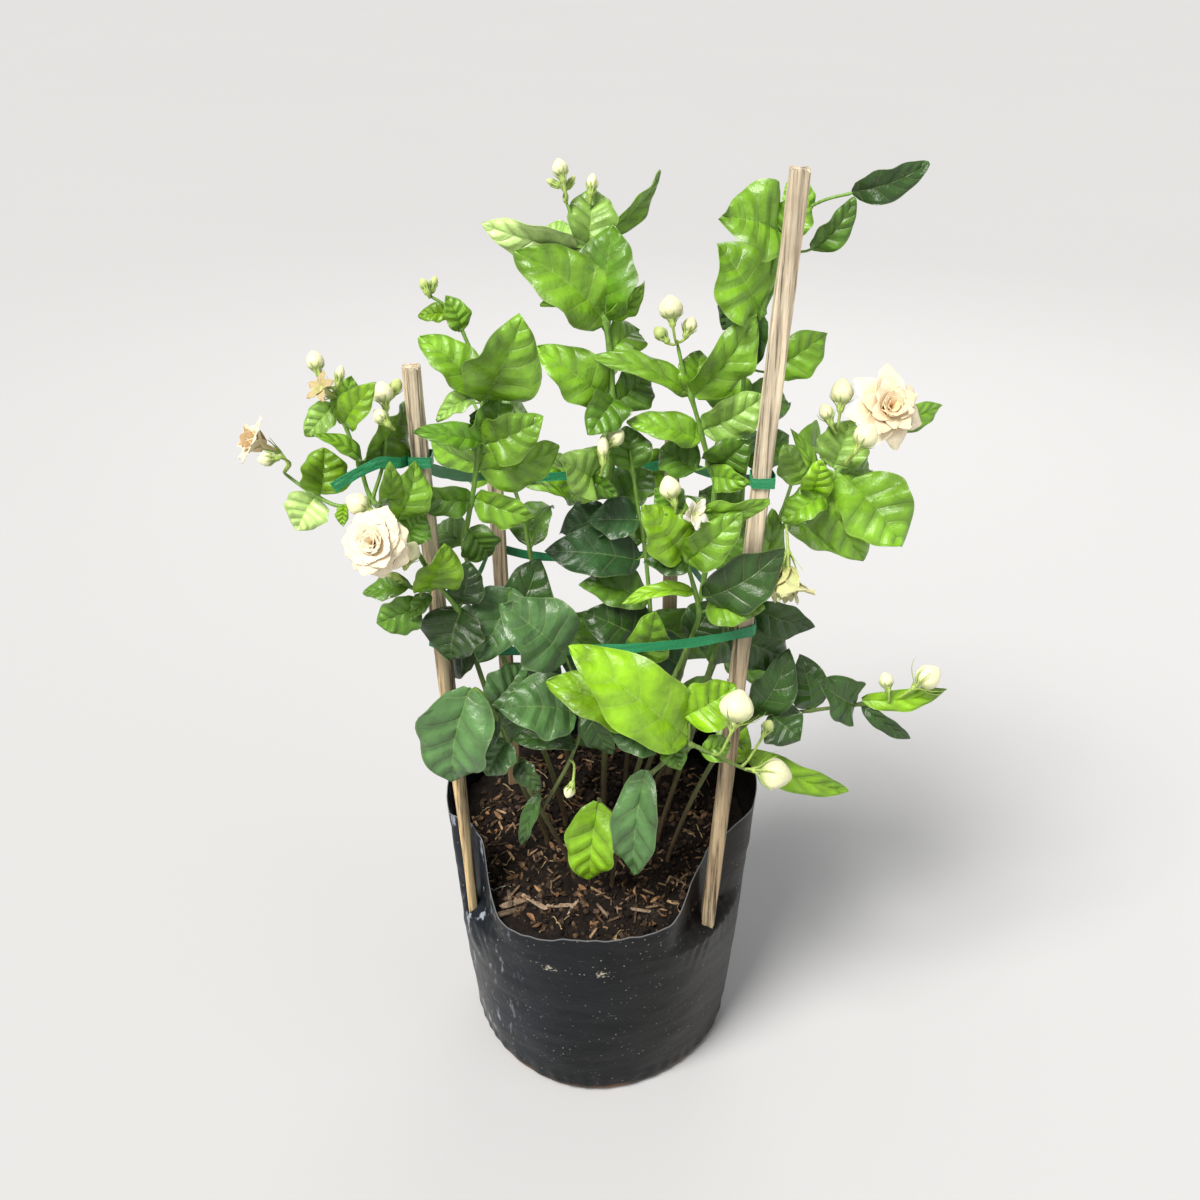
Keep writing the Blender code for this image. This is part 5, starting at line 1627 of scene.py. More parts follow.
    def add_back_leaves(self, back: BackPlan) -> None:
        """Adds pairs of leaves up a stem of the hidden back, each pair a quarter turn from the one below.

        Args:
            back: the shoot's plan.
        """
        tones = (Tone.DARK, Tone.MID, Tone.MID, Tone.FRESH, Tone.FRESH)
        for number in range(back.pairs):
            spot = point_along(self.paths(back.name)[0], 0.3 + 0.68 * number / (back.pairs - 1))
            turn = 1.2 + number * math.pi / 2 + self.chance.uniform(-0.3, 0.3)
            for side in (0, math.pi):
                out = Vector((math.cos(turn + side), math.sin(turn + side) * 0.9, 0))
                if out.y < -0.75:
                    continue
                width = self.chance.uniform(27, 36)
                length = width * self.chance.uniform(1.5, 1.8)
                base = spot + out * 7 + Vector((0, 0, 3))
                rise = self.chance.uniform(-0.5, 0.35) * length
                tip = base + out * length + Vector((0, 0, rise))
                self.add_leaf(back.name, base, tip, width, self.chance.uniform(-60, -20), tones[number])


@dataclass
class Foliage:
    """A shoot's blades, petioles and stems. What shapes a blade is a share of its half width or length."""

    plant: Plant
    blade_wall: float = 0.42
    quilt: float = 0.155
    quilt_drift: float = 0.024
    dark_quilt: float = 0.55
    sweep: float = 0.21
    flutter: float = 0.10
    scallop: float = 0.065
    undulation: float = 2.5
    folded_up: float = 1.7
    groove: float = 0.035
    crumple: float = 0.03
    bend: float = 0.04
    twist_degrees: float = 16.0
    petiole: float = 0.72
    petiole_taper: tuple = (1.15, 0.95, 1.1, 0.75, 0.5, 0.2)
    node_swell: float = 0.38
    young_green: tuple = (0.15, 0.29, 0.04)
    old_brown: tuple = (0.085, 0.062, 0.030)
    strip: Template = field(init=False)
    rod: Template = field(init=False)
    stalk: Template = field(init=False)
    top: Material = field(init=False)
    under: Material = field(init=False)
    bark: Material = field(init=False)

    def __post_init__(self) -> None:
        """Models one blade, one stem and one petiole, and their finishes."""
        self.strip = strip_template("blade_model", columns=12, rows=26, squeeze=1.3)
        self.rod = rod_template("stem_model", sides=10, rings=90)
        self.stalk = rod_template("petiole_model", sides=6, rings=12)
        self.top = BladeFinish("leaf_face", veins=0.60, paler=0.0).build()
        self.under = BladeFinish("leaf_back", veins=0.95, paler=0.38, roughness=(0.55, 0.7)).build()
        self.bark = StemFinish("young_stem", self.young_green, self.old_brown).build()

    def quilting(self, leaf: GrownLeaf, a: np.ndarray, v: np.ndarray, s: np.ndarray,
                 chance: random.Random) -> np.ndarray:
        """How far a blade puffs up between its side veins, less in the dark inner leaves.

        Args:
            leaf: the blade.
            a: each vertex's place across it, from -1 to 1.
            v: its place along it, from 0 to 1.
            s: its place along it, swept to the tip.
            chance: draws how the veins drift.

        Returns:
            The height over the blade's plain form.
        """
        wide = np.abs(a)
        shallow = self.dark_quilt if leaf.tone in (Tone.DARK, Tone.BLUE) else 1.0
        drift = lumps(np.stack([a * 9, v * 14], axis=1), 9, chance.randrange(9999), 1)
        uneven = v + self.quilt_drift * drift
        puff = np.abs(np.sin(np.pi * (uneven * VEIN_PAIRS + 0.5))) ** 0.7 * wide ** 0.5 * (1 - wide ** 5)
        return shallow * self.quilt * (leaf.width / 2) * puff * np.sin(np.pi * np.clip(s, 0, 1)) ** 0.4

    def blade(self, leaf: GrownLeaf, chance: random.Random) -> np.ndarray:
        """Shapes a blade: ovate and pointed, folded at its midrib, quilted, with a waved margin.

        Args:
            leaf: the CAD blade that it stands for.
            chance: draws its own small bend, twist and creases.

        Returns:
            The blade's points.
        """
        along, side, normal = (np.array(way) for way in blade_frame(leaf.base, leaf.tip, leaf.roll))
        length = (leaf.tip - leaf.base).length
        half = leaf.width / 2
        a, v = self.strip.grid[:, 0], self.strip.grid[:, 1]
        wide = np.abs(a)
        s = np.clip(v + self.sweep * wide * np.sin(np.pi * v), 0, 1)
        arc = np.sin(np.pi * s)
        swell = np.sin(np.pi * np.clip(s, 0.004, 0.996) ** 0.82) ** (0.52 + 0.26 * s * s)
        notch = np.sin(16 * s + 2 * leaf.wave + 2.1 * np.sign(a)) * wide ** 2 * arc
        reach = half * swell * (1 + self.scallop * notch)
        bow = BOW * length * arc - DROOP * length * s * s
        lift = self.folded_up * FOLD * reach * np.minimum(1, 5 * s) * (1.2 - s) * wide ** 1.2
        ripple = -a * wide * self.undulation * RIPPLE * half * np.sin(9 * s + leaf.wave)
        flutter = self.flutter * half * np.sin(18 * s + 3 * leaf.wave + 2.2 * a) * wide ** 2.4 * swell
        quilt = self.quilting(leaf, a, v, s, chance)
        groove = -self.groove * half * np.exp(-(a / 0.09) ** 2) * (1 - s)
        twist = math.radians(chance.uniform(-self.twist_degrees, self.twist_degrees)) * (s - 0.3)
        creases = lumps(np.stack([a * 14, s * 22], axis=1), 16, chance.randrange(9999), 2)
        crumple = self.crumple * half * creases * wide
        rise = lift + ripple + flutter + quilt + groove + crumple
        flank = (a * reach)[:, None]
        cosine, sine = np.cos(twist)[:, None], np.sin(twist)[:, None]
        bent = (chance.uniform(-self.bend, self.bend) * length * arc)[:, None] * side
        middle = np.array(leaf.base) + along * (length * s)[:, None] + normal * bow[:, None] + bent
        return middle + side * flank * cosine + normal * (flank * sine + rise[:, None])

    def petiole_of(self, leaf: GrownLeaf) -> np.ndarray:
        """Lays a petiole from the stem to the blade and on under its midrib.

        Args:
            leaf: the blade.

        Returns:
            The petiole's points.
        """
        along, _, normal = blade_frame(leaf.base, leaf.tip, leaf.roll)
        length = (leaf.tip - leaf.base).length
        points = [leaf.root, leaf.root.lerp(leaf.base, 0.6) - UP * 0.06 * (leaf.base - leaf.root).length]
        for s in (0.02, 0.2, 0.45, 0.72):
            bow = BOW * length * math.sin(math.pi * s) - DROOP * length * s * s
            under = bow - 0.35 - 0.5 * self.petiole * (1 - s)
            points.append(leaf.base + along * length * s + normal * under)
        line, marks = smooth_path(points, 1.5)
        radii = np.interp(marks, range(6), np.array(self.petiole_taper) * self.petiole)
        return rod_points(self.stalk.grid, line, radii)

    def stem(self, stem: GrownStem, roots: Sequence[Vector]) -> np.ndarray:
        """Lays a stem along its path, a little swollen wherever leaves or side stems leave it.

        Args:
            stem: the stem.
            roots: where leaves and side stems leave the shoot's stems.

        Returns:
            The stem's points.
        """
        line, marks = smooth_path(stem.points, 2.0)
        radii = np.interp(marks, range(len(stem.radii)), stem.radii)
        for root in roots:
            away = np.linalg.norm(line - np.array(root), axis=1)
            radii = radii * (1 + self.node_swell * np.exp(-(away / 2.0) ** 2))
        radii[-1] *= 0.6
        return rod_points(self.rod.grid, line, radii)

    def shade(self, leaf: GrownLeaf, chance: random.Random) -> np.ndarray:
        """A blade's own green at each vertex, lighter or darker towards its tip."""
        green = np.array(leaf.tone.value) * (1 + np.array([chance.uniform(-0.2, 0.2)] * 3))
        return green * (1.0 + 0.20 * (self.strip.grid[:, 1:2] - 0.5) * chance.uniform(-1, 1))

    def build(self) -> list[Object]:
        """Builds the leaves and the stems of every shoot.

        Returns:
            The finished pieces.
        """
        made = []
        for name, stems in self.plant.stems.items():
            chance = random.Random(name)
            leaves = self.plant.leaves.get(name, [])
            blades, sticks = [], []
            roots = [leaf.root for leaf in leaves] + [stem.points[0] for stem in stems[1:]]
            for leaf in leaves:
                shade = self.shade(leaf, chance)
                blades.append(self.strip.copy("blade", self.blade(leaf, chance), shade, chance.random()))
                sticks.append(self.stalk.copy("petiole", self.petiole_of(leaf)))
            for stem in stems:
                sticks.append(self.rod.copy("stem", self.stem(stem, roots)))
            leafage = fused(blades, name + "_leaves")
            thicken(leafage, self.blade_wall, under=1)
            smooth_faces(leafage, 70)
            settle(leafage, "leaf", (self.top, self.under), name)
            wood = fused(sticks, name + "_stems")
            smooth_faces(wood)
            settle(wood, "leaf", (self.bark,), name)
            made += [leafage, wood]
        return made


class PetalShape(Enum):
    """A petal's outline, with its width as a share of the CAD petal's."""

    ROUND = 1.38
    POINTED = 1.12


@dataclass
class Blossom:
    """The buds and flowers, each in its green cup with narrow sepals, and their pedicels."""

    plant: Plant
    sepals: int = 8
    bud_sepal: float = 6.5
    flower_sepal: float = 9.0
    long_sepal: float = 1.9
    shaggy: tuple = ("bud_front", "bud_front_low", "bud_low_right")
    petal_wall: float = 0.38
    spiral: float = 0.085
    bud_cream: tuple = (0.75, 0.73, 0.45)
    bud_green: tuple = (0.52, 0.58, 0.22)
    tube_green: tuple = (0.62, 0.66, 0.34)
    calyx_green: tuple = (0.34, 0.46, 0.10)
    dried_brown: tuple = (0.46, 0.34, 0.17)
    spent_cream: tuple = (0.82, 0.76, 0.68)
    faded_green: tuple = (0.56, 0.56, 0.28)
    outer_cream: tuple = (0.84, 0.71, 0.50)
    heart_cream: tuple = (0.86, 0.72, 0.52)
    heart_peach: tuple = (0.84, 0.60, 0.34)
    bud: Template = field(init=False)
    petal: Template = field(init=False)
    stalk: Template = field(init=False)
    sepal: Template = field(init=False)
    cream: Material = field(init=False)
    green: Material = field(init=False)
    soft: Material = field(init=False)
    tired: Material = field(init=False)
    cup: Material = field(init=False)

    def __post_init__(self) -> None:
        """Models one bud, petal, pedicel and sepal, and their finishes."""
        self.bud = rod_template("bud_model", sides=30, rings=22)
        self.petal = strip_template("petal_model", columns=10, rows=12, squeeze=1.0)
        self.stalk = rod_template("pedicel_model", sides=8, rings=20)
        self.sepal = rod_template("sepal_model", sides=4, rings=7)
        self.cream, self.green, self.soft, self.tired = (finish.build() for finish in (
            PetalFinish("bud_cream", foot=(0.36, 0.47, 0.10), edge=(0.80, 0.76, 0.42), reach=0.42),
            PetalFinish("green_bud", foot=(0.22, 0.36, 0.06), edge=(0.55, 0.62, 0.28), reach=0.9),
            PetalFinish("open_petal", foot=(0.82, 0.58, 0.28), edge=(0.90, 0.82, 0.64), reach=0.75),
            PetalFinish("faded_petal", foot=(0.40, 0.42, 0.12), edge=(0.62, 0.55, 0.26), reach=0.8),
        ))
        self.cup = StemFinish("calyx", self.calyx_green, self.calyx_green).build()

    @staticmethod
    def bud_radius(share: np.ndarray, width: float) -> np.ndarray:
        """A bud's radius along it: a thin tube, a full middle and a short blunt point.

        Args:
            share: places along the bud, from 0 to 1.
            width: its width.

        Returns:
            The radii.
        """
        body = width * 0.515 * np.sin(np.pi * np.clip((share - 0.06) / 0.96, 0, 1) ** 0.92) ** 0.72
        tube = TUBE_RADIUS * 1.1 * (1 - smoothstep(share, 0.1, 0.4))
        return np.maximum(body * smoothstep(share, 0.05, 0.26), tube) + 0.05

    def bud_points(self, head: Head, turn: float) -> np.ndarray:
        """Shapes a bud of overlapping petals that wind to its point.

        Args:
            head: the bud's plan and place.
            turn: where its petals start, as a share of a petal.

        Returns:
            The bud's points.
        """
        grid = self.bud.grid
        t = grid[:, 2]
        angle = self.bud.turns()
        wind = (5 * angle / math.tau + 1.15 * t + turn) % 1.0
        step = self.spiral * (0.5 - wind) * np.sin(np.pi * np.clip(t, 0, 1)) ** 0.7
        side, other = (np.array(way) for way in across(head.aim))
        reach = self.bud_radius(t, head.plan.width) * (1 + step) * np.hypot(grid[:, 0], grid[:, 1])
        ring = np.cos(angle)[:, None] * side + np.sin(angle)[:, None] * other
        axis = np.array(head.base) + np.array(head.aim) * (head.plan.length * t)[:, None]
        return axis + reach[:, None] * ring

    def pedicel(self, head: Head) -> np.ndarray:
        """Lays a pedicel from its stem, which widens into the cup under the bud.

        Args:
            head: the bud or flower that it carries.

        Returns:
            The pedicel's points.
        """
        foot = head.lip - head.aim * CALYX_HEIGHT
        bend = head.root.lerp(foot, 0.55) - head.aim * min(6.0, 0.25 * (foot - head.root).length)
        points = [head.root, bend, foot, foot + head.aim * CALYX_HEIGHT * 0.6, head.lip + head.aim * 0.5]
        line, marks = smooth_path(points, 0.9)
        radii = np.interp(marks, range(5), (1.0, 0.72, 0.85, CALYX_RADIUS, CALYX_RADIUS * 0.98))
        return rod_points(self.stalk.grid, line, radii)

    def sepal_points(self, head: Head, turn: float, spread: float, length: float) -> np.ndarray:
        """Lays one narrow sepal from the cup's lip.

        Args:
            head: the bud or flower that it stands under.
            turn: the sepal's angle about it.
            spread: how far it leans away.
            length: how high it ends.

        Returns:
            The sepal's points.
        """
        side, other = across(head.aim)
        out = side * math.cos(turn) + other * math.sin(turn)
        points = [head.lip - head.aim * 0.9 + out * (CALYX_RADIUS - 0.35)]
        points += [head.lip + head.aim * length * s + out * self.sepal_away(head, spread, length * s)
                   for s in (0.12, 0.45, 0.8, 1.0)]
        line, marks = smooth_path(points, 0.8)
        radii = np.interp(marks, range(5), (0.62, 0.6, 0.46, 0.3, 0.1))
        return rod_points(self.sepal.grid, line, radii, 0.5, np.array(head.aim.cross(out)))

    def sepal_away(self, head: Head, spread: float, height: float) -> float:
        """How far a sepal stands from the axis: against a bud's skin, or leaning out under a flower.

        Args:
            head: the bud or flower.
            spread: how far the sepal leans away.
            height: the height over the cup's lip.

        Returns:
            The distance from the axis.
        """
        if not head.is_bud:
            return CALYX_RADIUS + height * (0.25 + spread)
        skin = float(self.bud_radius(np.array([max(0.0, height) / head.plan.length]), head.plan.width)[0])
        return max(CALYX_RADIUS - 0.1, skin + 0.3) + spread * height * 0.35

    def cup_parts(self, head: Head, chance: random.Random) -> list[Object]:
        """The pedicel and the sepals of a bud or flower.

        Args:
            head: its plan and place.
            chance: draws how long the sepals are and how they lean.

        Returns:
            The pedicel and each sepal.
        """
        made = [self.stalk.copy("pedicel", self.pedicel(head))]
        long = (self.bud_sepal if head.is_bud else self.flower_sepal) * chance.uniform(0.85, 1.15)
        lean = 0.35 if head.is_bud else 0.6
        if head.plan.name in self.shaggy:
            long, lean = self.long_sepal * long, 2.6
        elif head.is_bud:
            long = min(long, 0.62 * head.plan.length)
        for number in range(self.sepals):
            spread = chance.uniform(0.0, 1.0) * lean
            turn = math.tau * (number + chance.uniform(-0.15, 0.15)) / self.sepals
            reach = long * chance.uniform(0.8, 1.1)
            made.append(self.sepal.copy("sepal", self.sepal_points(head, turn, spread, reach)))
        return made

    def petal_points(self, head: Head, turn: float, ring: PetalRing, lift: float, ruffle: float,
                     shape: PetalShape, chance: random.Random) -> np.ndarray:
        """Shapes one petal: rounded, cupped across, and curling out at its end.

        Args:
            head: the flower's plan and place.
            turn: the petal's angle about it.
            ring: the ring that it stands in.
            lift: how far it stands over the ring's foot.
            ruffle: how far its margin waves, as a share of its width.
            shape: its outline.
            chance: draws its own bend.

        Returns:
            The petal's points.
        """
        a, t = self.petal.grid[:, 0], self.petal.grid[:, 1]
        first, second = (np.array(way) for way in across(head.aim))
        forward = np.array(head.aim)
        out = first * math.cos(turn) + second * math.sin(turn)
        side = np.cross(forward, out)
        opening = math.radians(ring.opening) * chance.uniform(0.94, 1.06)
        angle = opening * (0.6 + 0.58 * t - 0.08 * t * t) + ruffle * np.sin(5 * t + 9 * lift) * t
        way = forward * np.cos(angle)[:, None] + out * np.sin(angle)[:, None]
        back = np.cross(side, way)
        if shape is PetalShape.POINTED:
            swell = np.sin(np.pi * (0.10 + 0.87 * t)) ** 0.55
        else:
            grow = np.sin(np.pi / 2 * np.clip(t / 0.6, 0, 1))
            blunt = np.sqrt(np.clip(1 - ((t - 0.6) / 0.42) ** 2, 0.003, 1))
            swell = np.where(t < 0.6, 0.26 + 0.74 * grow, blunt)
        half = ring.width / 2 * swell * shape.value
        length = ring.length * chance.uniform(0.92, 1.04) * (1 + 0.10 * (1 - a * a) - 0.06)
        cup = 0.30 * ring.width * a * a * swell * (1 - 0.9 * t)
        curl = 0.10 * ring.width * smoothstep(t, 0.7, 1.0)
        wave = ruffle * ring.width * np.sin(6 * a + 12 * t + 20 * lift) * np.abs(a) * t
        start = np.array(head.base) + forward * (ring.rise + lift) + out * PETAL_START
        shift = (curl - cup + wave)[:, None] * back
        return start + way * (length * t)[:, None] + side * (a * half)[:, None] + shift

    @staticmethod
    def rings_of(flower: FlowerPlan) -> list[tuple[int, PetalRing, float]]:
        """The CAD flower's rings, with smaller ones between them and a closed heart.

        Args:
            flower: the flower's plan.

        Returns:
            Each ring with its number from outside in and the share of a petal that it is turned by.
        """
        rings = []
        for number, ring in enumerate(flower.layers):
            rings.append((number, ring, 0.0))
            if flower.layers is not SPENT and (number or flower.layers is DOUBLE):
                between = PetalRing(ring.count, ring.length * 0.88, ring.width * 0.92, ring.opening * 0.80,
                                    ring.rise + 0.5)
                rings.append((number, between, 0.5))
        if flower.layers is not SPENT:
            last = flower.layers[-1]
            heart = PetalRing(5, last.length * 0.78, last.width * 0.8, 9, last.rise + 0.4)
            rings.append((len(flower.layers), heart, 0.25))
        return rings

    def petals(self, head: Head, chance: random.Random) -> list[Object]:
        """Builds a flower's petals.

        Args:
            head: the flower's plan and place.
            chance: draws each petal's bend and tone.

        Returns:
            The petals.
        """
        flower = head.plan
        outline = PetalShape.ROUND if flower.layers is DOUBLE else PetalShape.POINTED
        ruffle = 0.11 if flower.is_worn else 0.06 if outline is PetalShape.ROUND else 0.03
        made = []
        for number, ring, offset in self.rings_of(flower):
            for i in range(ring.count):
                turn = math.tau * (i + 0.5 * (number % 2) + offset) / ring.count + 0.3 * number
                lift = PETAL_SPREAD * (i % 2 + 0.15 * (i % 3))
                shape = self.petal_points(head, turn, ring, lift, ruffle, outline, chance)
                tone = self.petal_tone(flower, number / len(flower.layers), chance)
                made.append(self.petal.copy("petal", shape, tone, chance.random()))
        return made

    def petal_tone(self, flower: FlowerPlan, inward: float, chance: random.Random) -> np.ndarray:
        """A petal's cream: peach towards the heart of an open flower, dull in a worn one.

        Args:
            flower: the flower's plan.
            inward: how far in its ring is, from 0 to 1.
            chance: draws how light it is.

        Returns:
            The petal's colour.
        """
        light = chance.uniform(0.93, 1.04)
        if flower.layers is SPENT:
            return np.array(self.dried_brown if flower.name == "flower_dried" else self.spent_cream) * light
        if flower.layers is FADED:
            return np.array(self.faded_green) * light
        outer = np.array(self.outer_cream)
        inner = np.array(self.heart_cream if flower.layers is DOUBLE else self.heart_peach)
        return (outer + (inner - outer) * min(1.0, 1.1 * inward)) * light

    def flower(self, head: Head, chance: random.Random) -> Object:
        """Builds and dresses one flower.

        Args:
            head: its plan and place.
            chance: draws its petals' bends and tones.

        Returns:
            The flower's petals and tube as one piece.
        """
        petals = self.petals(head, chance)
        base, aim, top = head.base, head.aim, max(ring.rise for ring in head.plan.layers)
        line, _ = smooth_path([base, base + aim * top * 0.7, base + aim * (top + 2)], 0.8)
        radii = np.interp(np.linspace(0, 1, len(line)), (0, 0.7, 1), (TUBE_RADIUS, TUBE_RADIUS * 1.2, 2.4))
        tube = self.stalk.copy("tube", rod_points(self.stalk.grid, line, radii), self.tube_green)
        title = head.plan.name + "_petals"
        flower = fused(petals, title)
        thicken(flower, self.petal_wall)
        flower = fused([flower, tube], title)
        smooth_faces(flower, 60)
        settle(flower, "petal", (self.tired if head.plan.is_worn else self.soft,), head.plan.name)
        return flower

    def bud_copy(self, head: Head, chance: random.Random) -> Object:
        """Builds one bud, its colour laid along it.

        Args:
            head: its plan and place.
            chance: draws how light it is and where its petals start.

        Returns:
            The bud, not dressed yet.
        """
        tone = np.array(self.bud_cream) * chance.uniform(0.94, 1.04)
        if head.plan.is_green:
            tone = np.array(self.bud_green)
        copy = self.bud.copy("bud", self.bud_points(head, chance.random()), tone)
        place = self.bud.grid.copy()
        place[:, 0], place[:, 1] = 0.0, self.bud.grid[:, 2]
        paint(copy.data, "place", place)
        return copy

    def build(self) -> list[Object]:
        """Builds every bud and flower and the cups of each shoot.

        Returns:
            The finished pieces.
        """
        made = []
        for name, heads in self.plant.carried.items():
            chance = random.Random(name + " heads")
            cups, greens = [], []
            for head in heads:
                cups += self.cup_parts(head, chance)
                if not head.is_bud:
                    made.append(self.flower(head, chance))
                elif head.plan.is_green:
                    greens.append(self.bud_copy(head, chance))
                else:
                    bud = fused([self.bud_copy(head, chance)], head.plan.name + "_petals")
                    smooth_faces(bud, 60)
                    settle(bud, "petal", (self.cream,), head.plan.name)
                    made.append(bud)
            for parts, title, finish in ((cups, "_cups", self.cup), (greens, "_green_buds", self.green)):
                if parts:
                    piece = fused(parts, name + title)
                    smooth_faces(piece)
                    settle(piece, "leaf", (finish,), name)
                    made.append(piece)
        return made


def wrapped(angle: np.ndarray) -> np.ndarray:
    """Angles in degrees brought to between -180 and 180."""
    return (angle + 180) % 360 - 180


@dataclass(frozen=True)
class BagShape:
    """The form of the filled bag, in degrees about its axis and millimetres, shared by its film and soil."""

    bottom_radius: float = 86.0
    top_radius: float = 103.0
    top_height: float = 195.0
    slack_low: float = 1.6
    slack_high: float = 1.3
    foot_round: float = 3.0
    # Round a stake's hole: the heights over which the wall steps in above it, and the lip that it hugs below
    ledge: tuple = (122.0, 133.0)
    ledge_step: float = 6.8
    dent_flat: float = 4.0
    dent_inner: float = 27.0
    dent_outer: tuple = (12.0, 27.0)
    lip: tuple = (84.0, 116.0)
    lip_step: float = 3.1
    lip_flat: float = 3.6
    lip_half: float = 8.5
    pleat: float = 0.7
    # The rim's height at each angle, counted from +X towards the back: a flap folded down at the front, a
    # steep fold at the left and a slope at the right
    rim: tuple = (
        (-180, 193), (-166, 192), (-152, 188), (-147, 187), (-143.5, 183), (-141.5, 165), (-138, 155),
        (-132, 145), (-126, 142), (-118, 142.5), (-110, 144.5), (-100, 147.5), (-90, 149), (-80, 150),
        (-70, 152), (-57, 155), (-46, 164), (-36, 178), (-20, 191), (0, 197), (30, 195), (60, 190), (90, 187),
        (120, 186), (150, 190), (180, 193),
    )
    rim_blur: tuple = (-1.6, -0.8, 0, 0.8, 1.6)

    def rim_height(self, angle: np.ndarray) -> np.ndarray:
        """The rim's height, with the small waves of a hand-cut edge.

        Args:
            angle: angles about the axis.

        Returns:
            The heights.
        """
        angle = wrapped(angle)
        turns, heights = zip(*self.rim)
        near = [np.interp(wrapped(angle + shift), turns, heights) for shift in self.rim_blur]
        height = sum(near) / len(near)
        turn = np.radians(angle)
        return height + 0.5 * np.sin(17 * turn) + 0.4 * np.sin(31 * turn + 1) + 0.25 * np.sin(58 * turn)

    def pierced(self) -> list[tuple[float, float]]:
        """Where the two front stakes pierce the wall.

        Returns:
            The angle about the axis and the distance from it, for each stake.
        """
        found = []
        for stake in STAKES[:2]:
            place = stake.at(sum(self.ledge) / 2)
            found.append((math.degrees(math.atan2(place.y, place.x)), math.hypot(place.x, place.y)))
        return found

    def radius(self, angle: np.ndarray, height: np.ndarray) -> np.ndarray:
        """The bag's outer radius.

        Args:
            angle: angles about the axis.
            height: heights over the floor.

        Returns:
            The radii.
        """
        share = np.clip(height / self.top_height, 0, 1.05)
        turn = np.radians(angle)
        radius = self.bottom_radius + (self.top_radius - self.bottom_radius) * share ** 0.75
        radius = radius + self.slack_low * np.cos(4 * turn + 0.6) * (1 - share)
        radius = radius + self.slack_high * np.sin(5 * turn + 1.0) * share
        radius = radius - self.foot_round * (1 - smoothstep(height, 0.0, 5.0)) ** 2
        radius = radius + self.folds(turn, height)
        for hole, reach in zip(self.pierced(), self.dent_outer):
            radius = self.round_hole(radius, angle, height, hole, reach)
        return radius

    def round_hole(self, radius: np.ndarray, angle: np.ndarray, height: np.ndarray, hole: tuple[float, float],
                   reach: float) -> np.ndarray:
        """Pushes the wall in over a stake's hole and out under it, with small pleats that run away from it.

        Args:
            radius: the radii so far.
            angle: angles about the axis.
            height: heights over the floor.
            hole: the stake's angle and its distance from the axis.
            reach: how far the dent runs on the side away from the front, in degrees.

        Returns:
            The new radii.
        """
        stake_angle, distance = hole
        aside = wrapped(angle - stake_angle)
        outer = aside * wrapped(stake_angle + 90) > 0
        aside = np.abs(aside)
        dent_half = np.where(outer, reach, self.dent_inner)
        hugging = 1 - smoothstep(aside, self.lip_flat, self.lip_half)
        fill = np.maximum(0.0, distance + self.lip_step - radius)
        dent = np.minimum(0.0, distance - self.ledge_step - radius)
        dent = dent * (1 - smoothstep(aside, self.dent_flat, dent_half))
        risen = smoothstep(height, *self.ledge)
        radius = radius + hugging * smoothstep(height, *self.lip) * fill * (1 - risen) + dent * risen
        spread = np.exp(-((aside - 8) / 6.5) ** 2) * np.exp(-((height - 126) / 20) ** 2)
        slant = 0.16 * (height - 128) * np.sign(128 - height)
        return radius + self.pleat * spread * np.sin(1.25 * aside + slant)

    @staticmethod
    def folds(turn: np.ndarray, height: np.ndarray) -> np.ndarray:
        """The slack film's soft dents, its sideways creases and the puckers round its foot.

        Args:
            turn: angles about the axis, in radians.
            height: heights over the floor.

        Returns:
            How far the film stands out there.
        """
        spot = np.stack([94 * np.cos(turn), 94 * np.sin(turn), height], axis=-1).reshape(-1, 3)
        soft = 0.75 * lumps(spot * (1, 1, 1.5), 62, 3, 2)
        creases = lumps(spot * (0.55, 0.55, 2.1), 30, 5, 3)
        creases = 0.34 * np.sign(creases) * np.abs(creases) ** 1.5
        total = (soft + creases).reshape(np.shape(turn))
        pucker = 0.55 * np.sin(41 * turn + 2 * np.sin(7 * turn)) * np.exp(-((height - 5) / 9) ** 2)
        return (total + pucker) * smoothstep(height, 0.5, 9.0)


BAG = BagShape()


